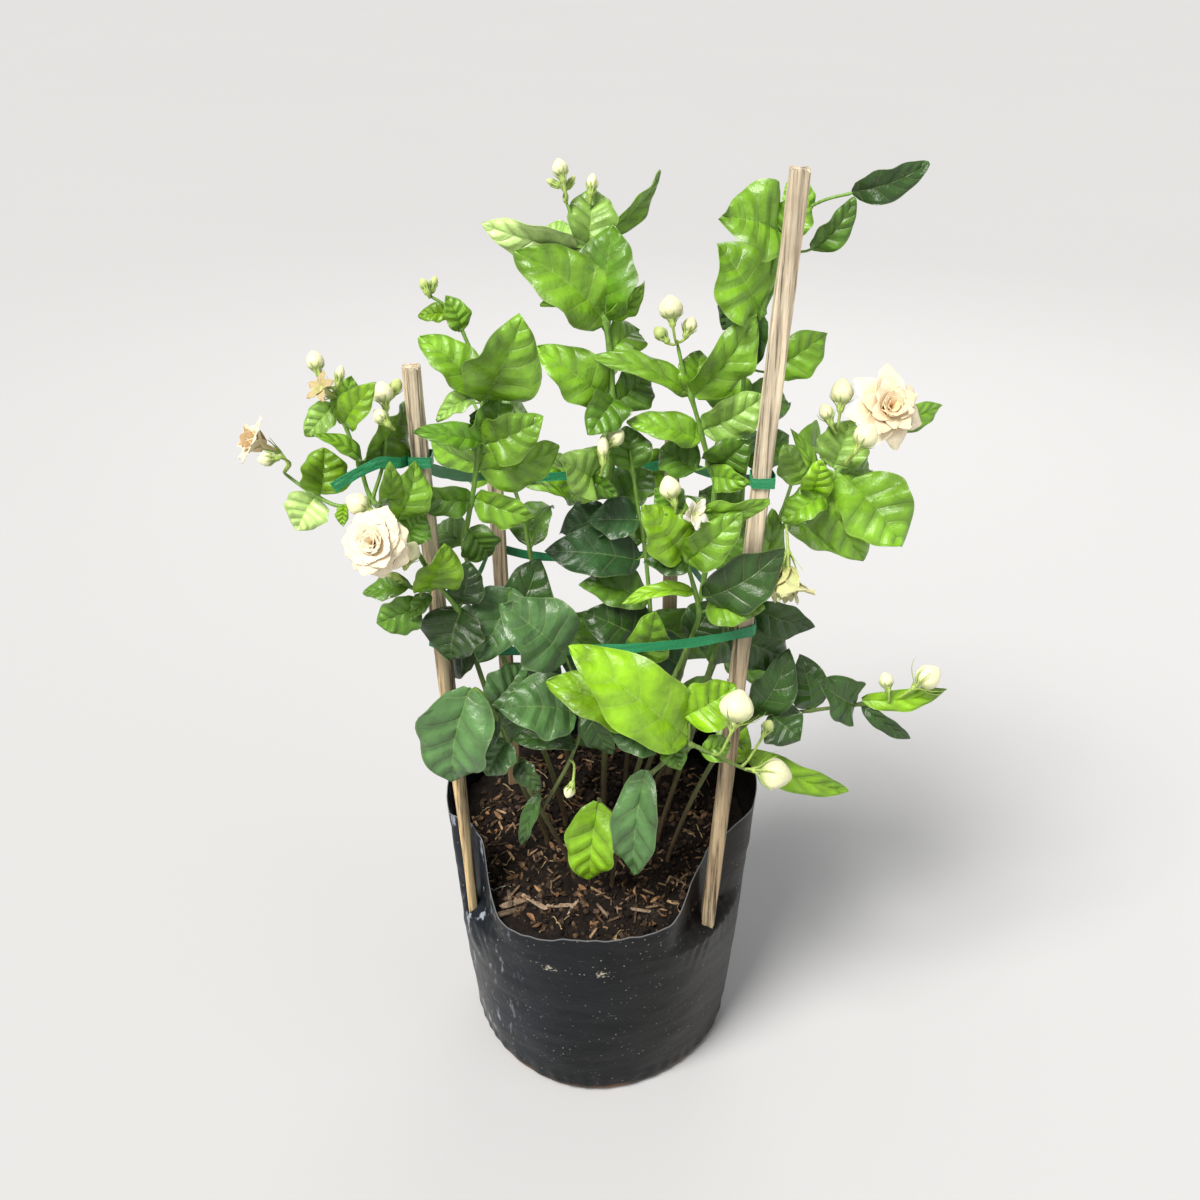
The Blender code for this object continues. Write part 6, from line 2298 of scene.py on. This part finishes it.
@dataclass
class Stake:
    """A split stick: uneven flat faces with grain along them, weathered, its ends splintered.

    cut is the height up to which its foot is drawn thin, out of sight in the soil. slim is its width where it
    meets the bag, as a share of its width higher up.
    """

    plan: StakePlan
    split: tuple
    bark: tuple
    seed: int
    ridge: bool = False
    cut: float = 0.0
    rough: float = 1.0
    slim: float = 1.0
    half: float = 4.6
    slim_height: tuple = (118.0, 330.0)
    bow: float = 0.9
    sides: int = 28
    rings: int = 101

    @staticmethod
    def outline(turn: np.ndarray, ridge: bool = False) -> np.ndarray:
        """The distance to a rounded square's side.

        Args:
            turn: directions from its middle, in radians.
            ridge: whether its front face has a low ridge.

        Returns:
            The distance in each direction.
        """
        fronts = (-math.radians(16), math.radians(16)) if ridge else (0.0,)
        faces = [0.0, math.pi / 2, math.pi] + [-math.pi / 2 + lean for lean in fronts]
        total = sum(np.maximum(0.0, np.cos(turn - way)) ** 16 for way in faces)
        return total ** (-1 / 16)

    @property
    def inward(self) -> np.ndarray:
        """The level way from the stick's foot to the bag's axis."""
        away = np.array((*self.plan.foot[:2], 0.0))
        return -away / np.linalg.norm(away)

    def slimness(self, height: float | np.ndarray) -> float | np.ndarray:
        """The stick's width at a height as a share of its width higher up."""
        return self.slim + (1 - self.slim) * smoothstep(height, *self.slim_height)

    def middle(self, height: float) -> np.ndarray:
        """The stick's middle at a height, nearer to the bag's axis where it is slim."""
        place = np.array(self.plan.at(height))
        return place + self.inward * self.half * (1 - self.slimness(height))

    def radii(self, turn: np.ndarray, spot: np.ndarray, broad: np.ndarray) -> np.ndarray:
        """The split faces, with ridges of grain and places where strips have split off.

        Args:
            turn: directions from the axis, in radians.
            spot: places on the stick, drawn out along it.
            broad: broad unevenness there.

        Returns:
            The distances from the axis before the foot is thinned.
        """
        grain = lumps(spot, 6.5, 40 + self.seed, 3)
        uneven = 1 + self.rough * (0.028 * grain + 0.030 * broad)
        strips = lumps(spot * (1.8, 1.8, 0.35), 5, 80 + self.seed, 2)
        radius = self.half * self.outline(turn, self.ridge) * uneven
        return radius - 0.9 * self.rough * np.clip(strips - 0.3, 0, 1)

    def build(self) -> Object:
        """Builds and dresses the stick.

        Returns:
            The finished piece.
        """
        template = rod_template("stake_model", self.sides, self.rings)
        turn, t = template.turns(), template.grid[:, 2]
        foot, top = np.array(self.plan.foot), np.array(self.plan.top)
        length = np.linalg.norm(top - foot)
        spot = np.stack([12 * np.cos(turn), 12 * np.sin(turn), 0.10 * length * t], axis=1)
        wide_spot = np.stack([3 * np.cos(turn), 3 * np.sin(turn), 0.12 * length * t], axis=1)
        broad = lumps(wide_spot, 16, 60 + self.seed, 2)
        height = foot[2] + (top[2] - foot[2]) * t
        whole = smoothstep(height, foot[2], self.cut) if self.cut else 0.3 + 0.7 * smoothstep(t, 0.0, 0.045)
        slimness = self.slimness(height)
        radius = self.radii(turn, spot, broad) * (0.22 + 0.78 * whole) * slimness
        radius = np.minimum(radius, np.hypot(self.half, self.half) * 0.97)
        waver = np.sin(np.pi * t + self.seed)[:, None] * np.sin(np.pi * t)[:, None]
        axis = foot + (top - foot) * t[:, None] + self.bow * waver * np.array((1, 0.4, 0))
        if self.cut:
            axis = axis + self.inward * (self.half * (0.75 * (1 - whole) + 1 - slimness))[:, None]
        ends = np.where(t > 0.999, 1.6 * lumps(spot[:, :2], 5, 90 + self.seed, 2), 0.0)
        across_x, across_y = radius * np.cos(turn), radius * np.sin(turn)
        lean = (top - foot) / length
        rise = ends - (across_x * lean[0] + across_y * lean[1])
        stick = template.copy(self.plan.name + "_wood", axis + np.stack([across_x, across_y, rise], axis=1))
        aside = wrapped(np.degrees(turn) + 90) + 9 * broad
        tone = np.zeros((len(turn), 3))
        tone[:, 0] = smoothstep(aside, -4, 4) if self.ridge else 0.5 + 0.5 * broad
        paint(stick.data, "tone", tone)
        smooth_faces(stick, 35)
        finish = GrainFinish(self.plan.name + "_finish", self.split, self.bark).build()
        settle(stick, "wood", (finish,), self.plan.name)
        return stick


@dataclass
class GrowBag:
    """The black film bag: a thin shell open at its top, with a hole where each front stake comes out."""

    stakes: Sequence[Stake]
    sides: int = 288
    rings: int = 92
    film: float = 0.5
    stake_room: float = 0.55
    floor_share: float = 0.10
    cut_edge: tuple = (0.975, 1.0)

    def build(self) -> Object:
        """Builds, pierces and dresses the bag.

        Returns:
            The finished piece.
        """
        template = rod_template("bag_model", self.sides, self.rings, capped=False)
        grid = template.grid
        angle = np.degrees(template.turns())
        turn = np.radians(angle)
        share = np.clip((grid[:, 2] - self.floor_share) / (1 - self.floor_share), 0, 1)
        height = BAG.rim_height(angle) * share ** 0.92
        inner = np.clip(grid[:, 2] / self.floor_share, 0, 1)
        radius = BAG.radius(angle, height) * inner
        points = np.stack([radius * np.cos(turn), radius * np.sin(turn), height], axis=1)
        bag = template.copy("grow_bag_film", points)
        edge = np.zeros((len(points), 3))
        edge[:, 2] = smoothstep(share, *self.cut_edge)
        paint(bag.data, "place", edge)
        merge_doubles(bag)
        thicken(bag, self.film, -1.0)
        for stake in self.stakes:
            self.pierce(bag, stake)
        smooth_faces(bag, 60)
        settle(bag, "film", (FilmFinish("black_film").build(),), "grow_bag")
        return bag

    def pierce(self, bag: Object, stake: Stake) -> None:
        """Cuts the hole that a stake has torn for itself.

        Args:
            bag: the film.
            stake: the stake.
        """
        template = rod_template("hole_model", sides=18, rings=1)
        grid = template.grid
        low, high = stake.middle(BAG.ledge[0] - 1), stake.middle(BAG.ledge[1] + 14)
        reach = stake.half * stake.slim + self.stake_room
        ragged = reach * (1 + 0.10 * lumps(grid * 2.2, 1.1, SEED, 2))[:, None]
        ring = stake.outline(template.turns())[:, None]
        axis = low + (high - low) * grid[:, 2:]
        cutter = template.copy("hole", axis + ragged * ring * grid * (1, 1, 0))
        pick(bag)
        hole = bag.modifiers.new("hole", "BOOLEAN")
        hole.operation, hole.solver, hole.object = "DIFFERENCE", "EXACT", cutter
        bpy.ops.object.modifier_apply(modifier=hole.name)
        bpy.data.objects.remove(cutter)


@dataclass
class PottingMix:
    """The soil: a lumpy dark bed with husks, bark chips, crumbs, straw and a few pale root ends."""

    sides: int = 260
    rings: int = 92
    inset: float = 0.95
    wall_radius: float = 92.0
    floor_share: float = 0.06
    edge_share: float = 0.30
    bottom: float = 1.2
    under_rim: float = 1.5
    reach: float = 88.0
    stake_room: float = 8.5
    stem_room: float = 3.0
    strand_steps: int = 8
    crumb_count: int = 2400
    husk_count: int = 190
    chip_count: int = 120
    splinter_count: int = 260
    straw_count: int = 40
    bed_tone: tuple = (0.0115, 0.0080, 0.0062)
    peat: tuple = (0.012, 0.008, 0.006)
    pale_bit: tuple = (0.11, 0.068, 0.040)
    husk_tan: tuple = (0.30, 0.165, 0.080)
    bark_brown: tuple = (0.065, 0.040, 0.026)
    splinter_tan: tuple = (0.27, 0.175, 0.100)
    long_tan: tuple = (0.28, 0.20, 0.135)
    straw_tan: tuple = (0.38, 0.27, 0.14)
    root_pale: tuple = (0.50, 0.44, 0.36)
    # The photograph's pixels of the longest splinters, at the front, and of the root ends, with a shift back
    front: float = -60.0
    long_splinters: tuple = ((508, 880), (524, 905), (540, 898), (552, 918), (516, 925), (575, 905),
                             (600, 915), (532, 888), (648, 880), (660, 860))
    root_depth: float = -30.0
    root_ends: tuple = ((472, 820, 0), (480, 835, -6), (476, 850, -12), (488, 842, -9), (494, 858, -16),
                        (700, 800, -10))
    chance: random.Random = field(default_factory=lambda: random.Random(SEED))
    stands: list = field(init=False)

    def __post_init__(self) -> None:
        """Lists the room that each stake and stem takes on the surface, as x, y and radius."""
        places = [stake.at(MID_SOIL) for stake in STAKES]
        self.stands = [(place.x, place.y, self.stake_room) for place in places]
        self.stands += [(*shoot.hole, self.stem_room) for shoot in (*SHOOTS, *BACK_SHOOTS)]

    @staticmethod
    def level(x: np.ndarray | float, y: np.ndarray | float) -> np.ndarray:
        """The height of the CAD soil: higher at the back and a little uneven."""
        uneven = 1.6 * np.sin(0.11 * x + 0.7) * np.cos(0.13 * y) + 1.1 * np.sin(0.21 * x - 0.17 * y)
        return np.maximum(138.0, 152.0 + 0.17 * y + uneven)

    @staticmethod
    def surface(x: np.ndarray | float, y: np.ndarray | float) -> np.ndarray:
        """The height of the fine surface, with clods over the CAD soil's form.

        Args:
            x: places to the right.
            y: places to the back.

        Returns:
            The heights.
        """
        x, y = np.asarray(x, float), np.asarray(y, float)
        spot = np.stack([x.ravel(), y.ravel()], axis=1)
        clods = 1.5 * lumps(spot, 17, 21, 3) + 0.55 * lumps(spot, 4.4, 22, 2)
        return PottingMix.level(x, y) + clods.reshape(x.shape)

    def bed(self) -> Object:
        """The body of the soil, from the bag's floor up its wall and over the surface.

        Returns:
            The finished piece.
        """
        template = rod_template("soil_model", self.sides, self.rings, capped=False)
        share = template.grid[:, 2]
        angle = np.degrees(template.turns())
        turn = np.radians(angle)
        wall_x, wall_y = self.wall_radius * np.cos(turn), self.wall_radius * np.sin(turn)
        edge_height = np.minimum(self.surface(wall_x, wall_y), BAG.rim_height(angle) - self.under_rim)
        up = np.clip((share - self.floor_share) / (self.edge_share - self.floor_share), 0, 1)
        height = self.bottom + (edge_height - self.bottom) * up
        radius = (BAG.radius(angle, height) - self.inset) * np.clip(share / self.floor_share, 0, 1)
        over = np.clip((share - self.edge_share) / (1 - self.edge_share), 0, 1)
        radius = radius * (1 - over) ** 0.9
        x, y = radius * np.cos(turn), radius * np.sin(turn)
        inward = smoothstep(over, 0.0, 0.10)
        top = edge_height * (1 - inward) + self.surface(x, y) * inward
        height = np.where(over > 0, top, height)
        bed = template.copy("soil_bed", np.stack([x, y, height], axis=1), self.bed_tone)
        merge_doubles(bed)
        smooth_faces(bed, 75)
        settle(bed, "soil_mix", (CrumbFinish("potting_mix").build(),), "soil")
        return bed

    def on_surface(self, x: float, y: float) -> np.ndarray:
        """The point of the fine surface over a place."""
        return np.array((x, y, float(self.surface(x, y))))

    def scattered(self, count: int, size: float) -> list[np.ndarray]:
        """Free places on the surface, clear of the stems and stakes.

        Args:
            count: how many are wanted.
            size: the room that each needs.

        Returns:
            The places.
        """
        found = []
        while len(found) < count:
            radius, turn = self.reach * math.sqrt(self.chance.random()), self.chance.uniform(0, math.tau)
            x, y = radius * math.cos(turn), radius * math.sin(turn)
            if all(math.hypot(x - a, y - b) >= room + size for a, b, room in self.stands):
                found.append(self.on_surface(x, y))
        return found

    def turned(self, tilt: float) -> np.ndarray:
        """A random turn about the upright.

        Args:
            tilt: how far it may also lean, in radians.

        Returns:
            The turn as a matrix.
        """
        about = Matrix.Rotation(self.chance.uniform(0, math.tau), 3, "Z")
        forward = Matrix.Rotation(self.chance.uniform(-tilt, tilt), 3, "X")
        sideways = Matrix.Rotation(self.chance.uniform(-tilt, tilt), 3, "Y")
        return np.array(about @ (forward @ sideways))

    def crumbs(self) -> Object:
        """Dark crumbs of peat and bark.

        Returns:
            The finished piece.
        """
        model = crumb_template("crumb_model", 1)
        parts = []
        for spot in self.scattered(self.crumb_count, 0.5):
            size = 0.5 + 1.9 * self.chance.random() ** 2.6
            stretch = np.array([self.chance.uniform(0.7, 1.35) for _ in range(3)]) * size
            shape = (model.grid * stretch) @ self.turned(1.5).T + spot + (0, 0, size * 0.25)
            light = self.chance.random() ** 3
            tone = np.array(self.peat) * self.chance.uniform(0.6, 1.7) + np.array(self.pale_bit) * light
            parts.append(model.copy("crumb", shape, tone, self.chance.random()))
        return self.dressed(parts, "crumbs")

    def husks(self) -> Object:
        """Curled tan husks, each a small cupped shell.

        Returns:
            The finished piece.
        """
        model = strip_template("husk_model", columns=4, rows=5, squeeze=1.0)
        a, t = model.grid[:, 0], model.grid[:, 1]
        swell = np.sin(np.pi * np.clip(t, 0.03, 0.97)) ** 0.6
        parts = []
        for spot in self.scattered(self.husk_count, 2.0):
            long, wide = self.chance.uniform(3.5, 8.5), self.chance.uniform(1.8, 3.4)
            arch = self.chance.uniform(0.5, 1.1)
            up = 1 if self.chance.random() < 0.6 else -1
            z = arch * wide * 0.45 * (1 - (a * swell) ** 2) * up
            z = z + self.chance.uniform(-0.2, 0.2) * long * np.sin(np.pi * t)
            shape = np.stack([a * wide / 2 * swell, (t - 0.5) * long, z], axis=1)
            shape = shape @ self.turned(0.7).T + spot + (0, 0, 1.1)
            tone = np.array(self.husk_tan) * (0.12 + 1.1 * self.chance.random() ** 2.0)
            parts.append(model.copy("husk", shape, tone, self.chance.random()))
        return self.dressed(parts, "husks", 0.45)

    def chips(self) -> list[Object]:
        """Dark bark chips and tan splinters, the longest splinters at the front left.

        Returns:
            The two finished pieces.
        """
        deselect()
        bpy.ops.mesh.primitive_cube_add(size=2)
        block = added("chip_model")
        pick(block)
        rounded = block.modifiers.new("edges", "BEVEL")
        rounded.width, rounded.segments = 0.28, 1
        bpy.ops.object.modifier_apply(modifier=rounded.name)
        model = Template(block)
        chips = [self.chip(model, spot, (1.0, 3.0), 0.8, self.bark_brown)
                 for spot in self.scattered(self.chip_count, 3.0)]
        splinters = [self.chip(model, spot, (1.6, 5.0), 0.17, self.splinter_tan)
                     for spot in self.scattered(self.splinter_count, 2.0)]
        for column, row in self.long_splinters:
            place = VIEW.sight((column, row, self.front))
            spot = self.on_surface(place.x, place.y + self.chance.uniform(-6, 6))
            splinters.append(self.chip(model, spot, (8.0, 16.0), 0.13, self.long_tan))
        return [self.dressed(chips, "bark_chips"), self.dressed(splinters, "splinters")]

    def chip(self, model: Template, spot: np.ndarray, size: tuple, aspect: float, tone: tuple) -> Object:
        """One chip.

        Args:
            model: the shape that it is a copy of.
            spot: where it lies.
            size: the least and greatest half of its length.
            aspect: its width as a share of its length.
            tone: its colour.

        Returns:
            The chip.
        """
        long = self.chance.uniform(*size)
        half = np.array((long, long * aspect * self.chance.uniform(0.7, 1.2), self.chance.uniform(0.35, 0.7)))
        skew = 1 + 0.22 * lumps(model.grid * 1.3, 2.2, self.chance.randrange(9999), 1)[:, None]
        tilt = 0.5 if long < 6 else 0.14
        shape = (model.grid * skew * half) @ self.turned(tilt).T + spot + (0, 0, half[2] + 0.5)
        shade = np.array(tone) * (0.22 + 1.15 * self.chance.random() ** 1.7)
        return model.copy("chip", shape, shade, self.chance.random())

    def strands(self, name: str, spots: Sequence[np.ndarray], tone: tuple, radius: float) -> Object:
        """Straws or root ends that lie on the surface.

        Args:
            name: the piece's name.
            spots: where they start.
            tone: their colour.
            radius: how thick they are.

        Returns:
            The finished piece.
        """
        steps = self.strand_steps
        model = rod_template(name + "_model", sides=5, rings=steps)
        parts = []
        for spot in spots:
            turn, long = self.chance.uniform(0, math.tau), self.chance.uniform(6, 17)
            line = []
            for step in range(steps + 1):
                turn += self.chance.uniform(-0.28, 0.28)
                spot = spot + np.array((math.cos(turn), math.sin(turn), 0)) * long / steps
                x, y = spot[:2] * min(1.0, self.reach / max(1.0, math.hypot(*spot[:2])))
                line.append((x, y, float(self.surface(x, y)) + radius + 0.9 * abs(math.sin(step * 0.8))))
            radii = np.linspace(1.0, 0.55, steps + 1) * radius * self.chance.uniform(0.7, 1.2)
            shade = np.array(tone) * self.chance.uniform(0.7, 1.1)
            parts.append(model.copy(name, rod_points(model.grid, np.array(line), radii), shade))
        return self.dressed(parts, name)

    @staticmethod
    def dressed(parts: list, name: str, wall: float = 0.0) -> Object:
        """Fuses the bits of one kind and gives them their finish.

        Args:
            parts: the bits.
            name: the piece's name.
            wall: the thickness that flat bits get.

        Returns:
            The finished piece.
        """
        piece = fused(parts, name)
        if wall:
            thicken(piece, wall)
        smooth_faces(piece, 40)
        settle(piece, "soil_mix", (CrumbFinish(name + "_finish", spread=1.6, roughness=0.8).build(),))
        return piece

    def build(self) -> list[Object]:
        """Builds the soil and everything that lies on it.

        Returns:
            The finished pieces.
        """
        depth = self.root_depth
        roots = [np.array((VIEW.sight((column, row, depth)).x, depth + shift, 0.0))
                 for column, row, shift in self.root_ends]
        made = [self.bed(), self.crumbs(), self.husks(), *self.chips()]
        made.append(self.strands("straw", self.scattered(self.straw_count, 3.0), self.straw_tan, 0.42))
        made.append(self.strands("root_ends", roots, self.root_pale, 0.55))
        return made


@dataclass
class RaffiaTies:
    """The green tapes: ribbed, narrower where they are pulled tight, wider where they hang slack.

    lower and upper are their heights at the front left, front right, back left and back right stake.
    """

    lower: tuple = (334.0, 350.0, 342.0, 338.0)
    upper: tuple = (446.0, 440.0, 392.0, 398.0)
    lower_sag: float = 8.0
    upper_sag: float = 4.0
    reach: float = 6.2
    width: float = 6.5
    wall: float = 0.32
    corner_cut: float = 2.2
    slack_length: float = 30.0
    tail: tuple = ((380, 462, -60), (355, 474, -66), (333, 488, -70))
    strip: Template = field(init=False)

    def __post_init__(self) -> None:
        """Models one tape."""
        self.strip = strip_template("tape_model", columns=14, rows=120, squeeze=1.0)

    def beside(self, number: int, height: float, x: float, y: float) -> Vector:
        """The point at a stake's height that clears its side or corner in the X and Y senses given."""
        return STAKES[number].at(height) + Vector((x * self.reach, y * self.reach, 0))

    def rounded(self, corners: Sequence[Vector], sag: float, closed: bool) -> list[Vector]:
        """Rounds the corners, and lets each long stretch between them sag.

        Args:
            corners: where the tape bends.
            sag: how far its long stretches hang down.
            closed: whether it is a ring.

        Returns:
            The points that the tape passes through.
        """
        path = []
        count = len(corners)
        for i, corner in enumerate(corners):
            following = corners[(i + 1) % count] if closed or i < count - 1 else None
            before = corners[i - 1] if closed or i else None
            if before is None or following is None:
                path.append(corner)
            else:
                back, on = (before - corner), (following - corner)
                cut = min(self.corner_cut, back.length * 0.3, on.length * 0.3)
                back, on = back.normalized(), on.normalized()
                path += [corner + back * cut, corner + (back + on) * 0.35, corner + on * cut]
            if following is not None and (following - corner).length > self.slack_length:
                for share in (0.18, 0.34, 0.5, 0.66, 0.82):
                    drop = sag * min(1.0, 4 * share * (1 - share) * 1.19)
                    path.append(corner.lerp(following, share) - UP * drop)
        return path

    @staticmethod
    def tape_ways(line: np.ndarray, closed: bool) -> tuple[np.ndarray, np.ndarray]:
        """The directions of a tape that stands on its edge.

        Args:
            line: the points of its middle line.
            closed: whether it is a ring.

        Returns:
            The way out of its face and the way up it, at each point.
        """
        ways = np.gradient(line, axis=0)
        if closed:
            ways[0] = ways[-1] = line[1] - line[-2]
        ways /= np.linalg.norm(ways, axis=1)[:, None]
        out = np.stack([ways[:, 1], -ways[:, 0], np.zeros(len(ways))], axis=1)
        out /= np.maximum(1e-6, np.linalg.norm(out, axis=1))[:, None]
        up = np.cross(out, ways)
        up *= np.where(up[:, 2:] < 0, -1.0, 1.0)
        return out, up

    def tape(self, corners: Sequence[Vector], sag: float, closed: bool, seed: int) -> Object:
        """Lays one tape along its corners.

        Args:
            corners: where it bends.
            sag: how far its long stretches hang down.
            closed: whether it is a ring.
            seed: which creases and twists it has.

        Returns:
            The tape as a sheet.
        """
        line, _ = smooth_path(self.rounded(corners, sag, closed), 2.0, closed)
        if closed:
            line = np.vstack([line, line[:1]])
        a = self.strip.grid[:, 0]
        share = self.strip.grid[:, 1] * (len(line) - 1)
        middle, out, up = (spread_along(values, share) for values in (line, *self.tape_ways(line, closed)))
        run = np.cumsum(np.r_[0, np.linalg.norm(np.diff(line, axis=0), axis=1)])
        along = np.interp(share, np.arange(len(line)), run)
        spot = np.stack([along, 0 * along], axis=1)
        if closed:
            phase = math.tau * along / run[-1]
            spot = np.stack([np.cos(phase), np.sin(phase)], axis=1) * run[-1] / math.tau
        wide = self.width / 2 * (0.92 + 0.16 * lumps(spot, 34, seed, 2))
        tilt = 0.35 * lumps(spot, 46, seed + 1, 2)
        wrinkles = lumps(np.hstack([spot * 0.35, a[:, None] * 3]), 3.0, seed + 2, 2)
        ribs = 0.11 * np.cos(a * 19) + 0.22 * wrinkles
        curl = 0.35 * lumps(spot, 20, seed + 3, 1) * (a * a - 0.4)
        flank = (a * wide)[:, None]
        leaning = flank * 0.22 * np.sin(tilt)[:, None] + (ribs + curl)[:, None]
        made = self.strip.copy("tape", middle + up * flank * np.cos(tilt)[:, None] + out * leaning)
        paint(made.data, "place", np.stack([a, along / 6.0, np.full(len(a), seed / 90)], axis=1))
        return made

    def build(self) -> list[Object]:
        """Builds both ties.

        Returns:
            The finished pieces.
        """
        left, right, back_left, back_right = self.lower
        ring = [self.beside(0, left, -1, -1), self.beside(1, right, 1, -1), self.beside(1, right, 1, 1),
                self.beside(3, back_right, 1, 1), self.beside(2, back_left, -1, 1),
                self.beside(0, left, -1, 1)]
        low = [self.tape(ring, self.lower_sag, closed=True, seed=11)]
        left, right, back_left, back_right = self.upper
        turn = ((-1, -1), (1, -1), (1, 1), (-1, 1))
        band = [self.beside(0, left, -1, 0.7), self.beside(0, left - 3, -1, 1.1),
                self.beside(2, back_left, -1, 1), self.beside(3, back_right, 1, 1),
                self.beside(1, right - 3, 1, 1.1), self.beside(1, right, 1, 0.7)]
        loose = [self.beside(0, left, -1, -0.5), self.beside(0, left + 1, -1.5, -1.4)]
        loose += [VIEW.sight(place) for place in self.tail]
        high = [self.tape([self.beside(0, left, x, y) for x, y in turn], 0, closed=True, seed=23),
                self.tape([self.beside(1, right, x, y) for x, y in turn], 0, closed=True, seed=37),
                self.tape(band, self.upper_sag, closed=False, seed=51),
                self.tape(loose, 0, closed=False, seed=69)]
        finish = FibreFinish("raffia_tape").build()
        made = []
        for parts, name in ((low, "tie_lower"), (high, "tie_upper")):
            piece = fused(parts, name + "_tape")
            merge_doubles(piece)
            thicken(piece, self.wall)
            smooth_faces(piece, 60)
            settle(piece, "raffia", (finish,), name)
            made.append(piece)
        return made


class LampKind(Enum):
    """What a light is: a soft panel near the plant, or wide soft daylight."""

    PANEL = "AREA"
    DAYLIGHT = "SUN"


@dataclass(frozen=True)
class Lamp:
    """One soft light of the studio. size is a panel's side in metres, or the width of daylight in radians."""

    name: str
    kind: LampKind
    place: tuple
    size: float
    power: float
    colour: tuple

    def build(self, aim: Vector) -> None:
        """Adds the light.

        Args:
            aim: the point that it is turned to.
        """
        deselect()
        bpy.ops.object.light_add(type=self.kind.value, location=self.place)
        lamp = added(self.name)
        if self.kind is LampKind.PANEL:
            lamp.data.size = self.size
        else:
            lamp.data.angle = self.size
        lamp.data.energy = self.power
        lamp.data.color = self.colour
        lamp.rotation_euler = (aim - Vector(self.place)).to_track_quat("-Z", "Y").to_euler()


@dataclass
class Studio:
    """A pale floor, soft lights and the photograph's viewpoint."""

    lamps: tuple = (
        Lamp("daylight", LampKind.DAYLIGHT, (-0.9, -1.0, 2.0), 0.45, 5.2, (1.0, 0.98, 0.94)),
        Lamp("fill", LampKind.PANEL, (1.5, -0.9, 0.9), 1.4, 6.0, (0.92, 0.96, 1.0)),
        Lamp("rim", LampKind.PANEL, (0.3, 1.5, 1.3), 1.0, 7.0, (1.0, 0.98, 0.95)),
    )
    lit_point: tuple = (0, 0, 0.25)
    world_grey: float = 0.90
    world_strength: float = 0.48
    floor_tone: tuple = (0.45, 0.45, 0.455)
    floor_size: float = 60.0
    lens: float = 37.5
    sensor: float = 36.0

    def build(self) -> None:
        """Sets the floor, the lights, the world and the camera."""
        deselect()
        bpy.ops.mesh.primitive_plane_add(size=self.floor_size)
        floor = added("studio_floor")
        floor.data.materials.append(FloorFinish("pale_floor", self.floor_tone).build())
        for lamp in self.lamps:
            lamp.build(Vector(self.lit_point))
        world = bpy.data.worlds.new("studio")
        world.use_nodes = True
        sky = world.node_tree.nodes["Background"].inputs
        sky["Color"].default_value = (self.world_grey, self.world_grey, self.world_grey, 1)
        sky["Strength"].default_value = self.world_strength
        bpy.context.scene.world = world
        bpy.context.scene.view_settings.view_transform = "Standard"
        bpy.ops.object.camera_add(location=VIEW.eye * METRES, rotation=(math.pi / 2 - VIEW.looks_down, 0, 0))
        camera = bpy.context.object
        camera.name = "photo_camera"
        camera.data.sensor_width = self.sensor
        camera.data.lens = self.lens
        camera.data.dof.use_dof = False
        bpy.context.scene.camera = camera


def main() -> None:
    """Builds every sub-assembly in order and reports each piece."""
    logging.basicConfig(level=logging.INFO, format="%(message)s")
    Studio().build()
    plant = Plant()
    olive = (0.10, 0.070, 0.035)
    stakes = (
        Stake(STAKES[0], split=(0.58, 0.42, 0.22), bark=(0.26, 0.20, 0.11), seed=1, ridge=True,
              cut=112.0, slim=0.66),
        Stake(STAKES[1], split=(0.58, 0.45, 0.28), bark=(0.18, 0.12, 0.065), seed=2,
              cut=108.0, rough=2.1, slim=0.94),
        Stake(STAKES[2], split=(0.28, 0.19, 0.10), bark=olive, seed=3),
        Stake(STAKES[3], split=(0.30, 0.20, 0.10), bark=olive, seed=4),
    )
    pieces = [GrowBag(stakes[:2]).build(), *PottingMix().build()]
    pieces += [stake.build() for stake in stakes]
    pieces += RaffiaTies().build()
    pieces += Foliage(plant).build()
    pieces += Blossom(plant).build()
    log.info("%d pieces", len(pieces))


if __name__ == "__main__":
    main()
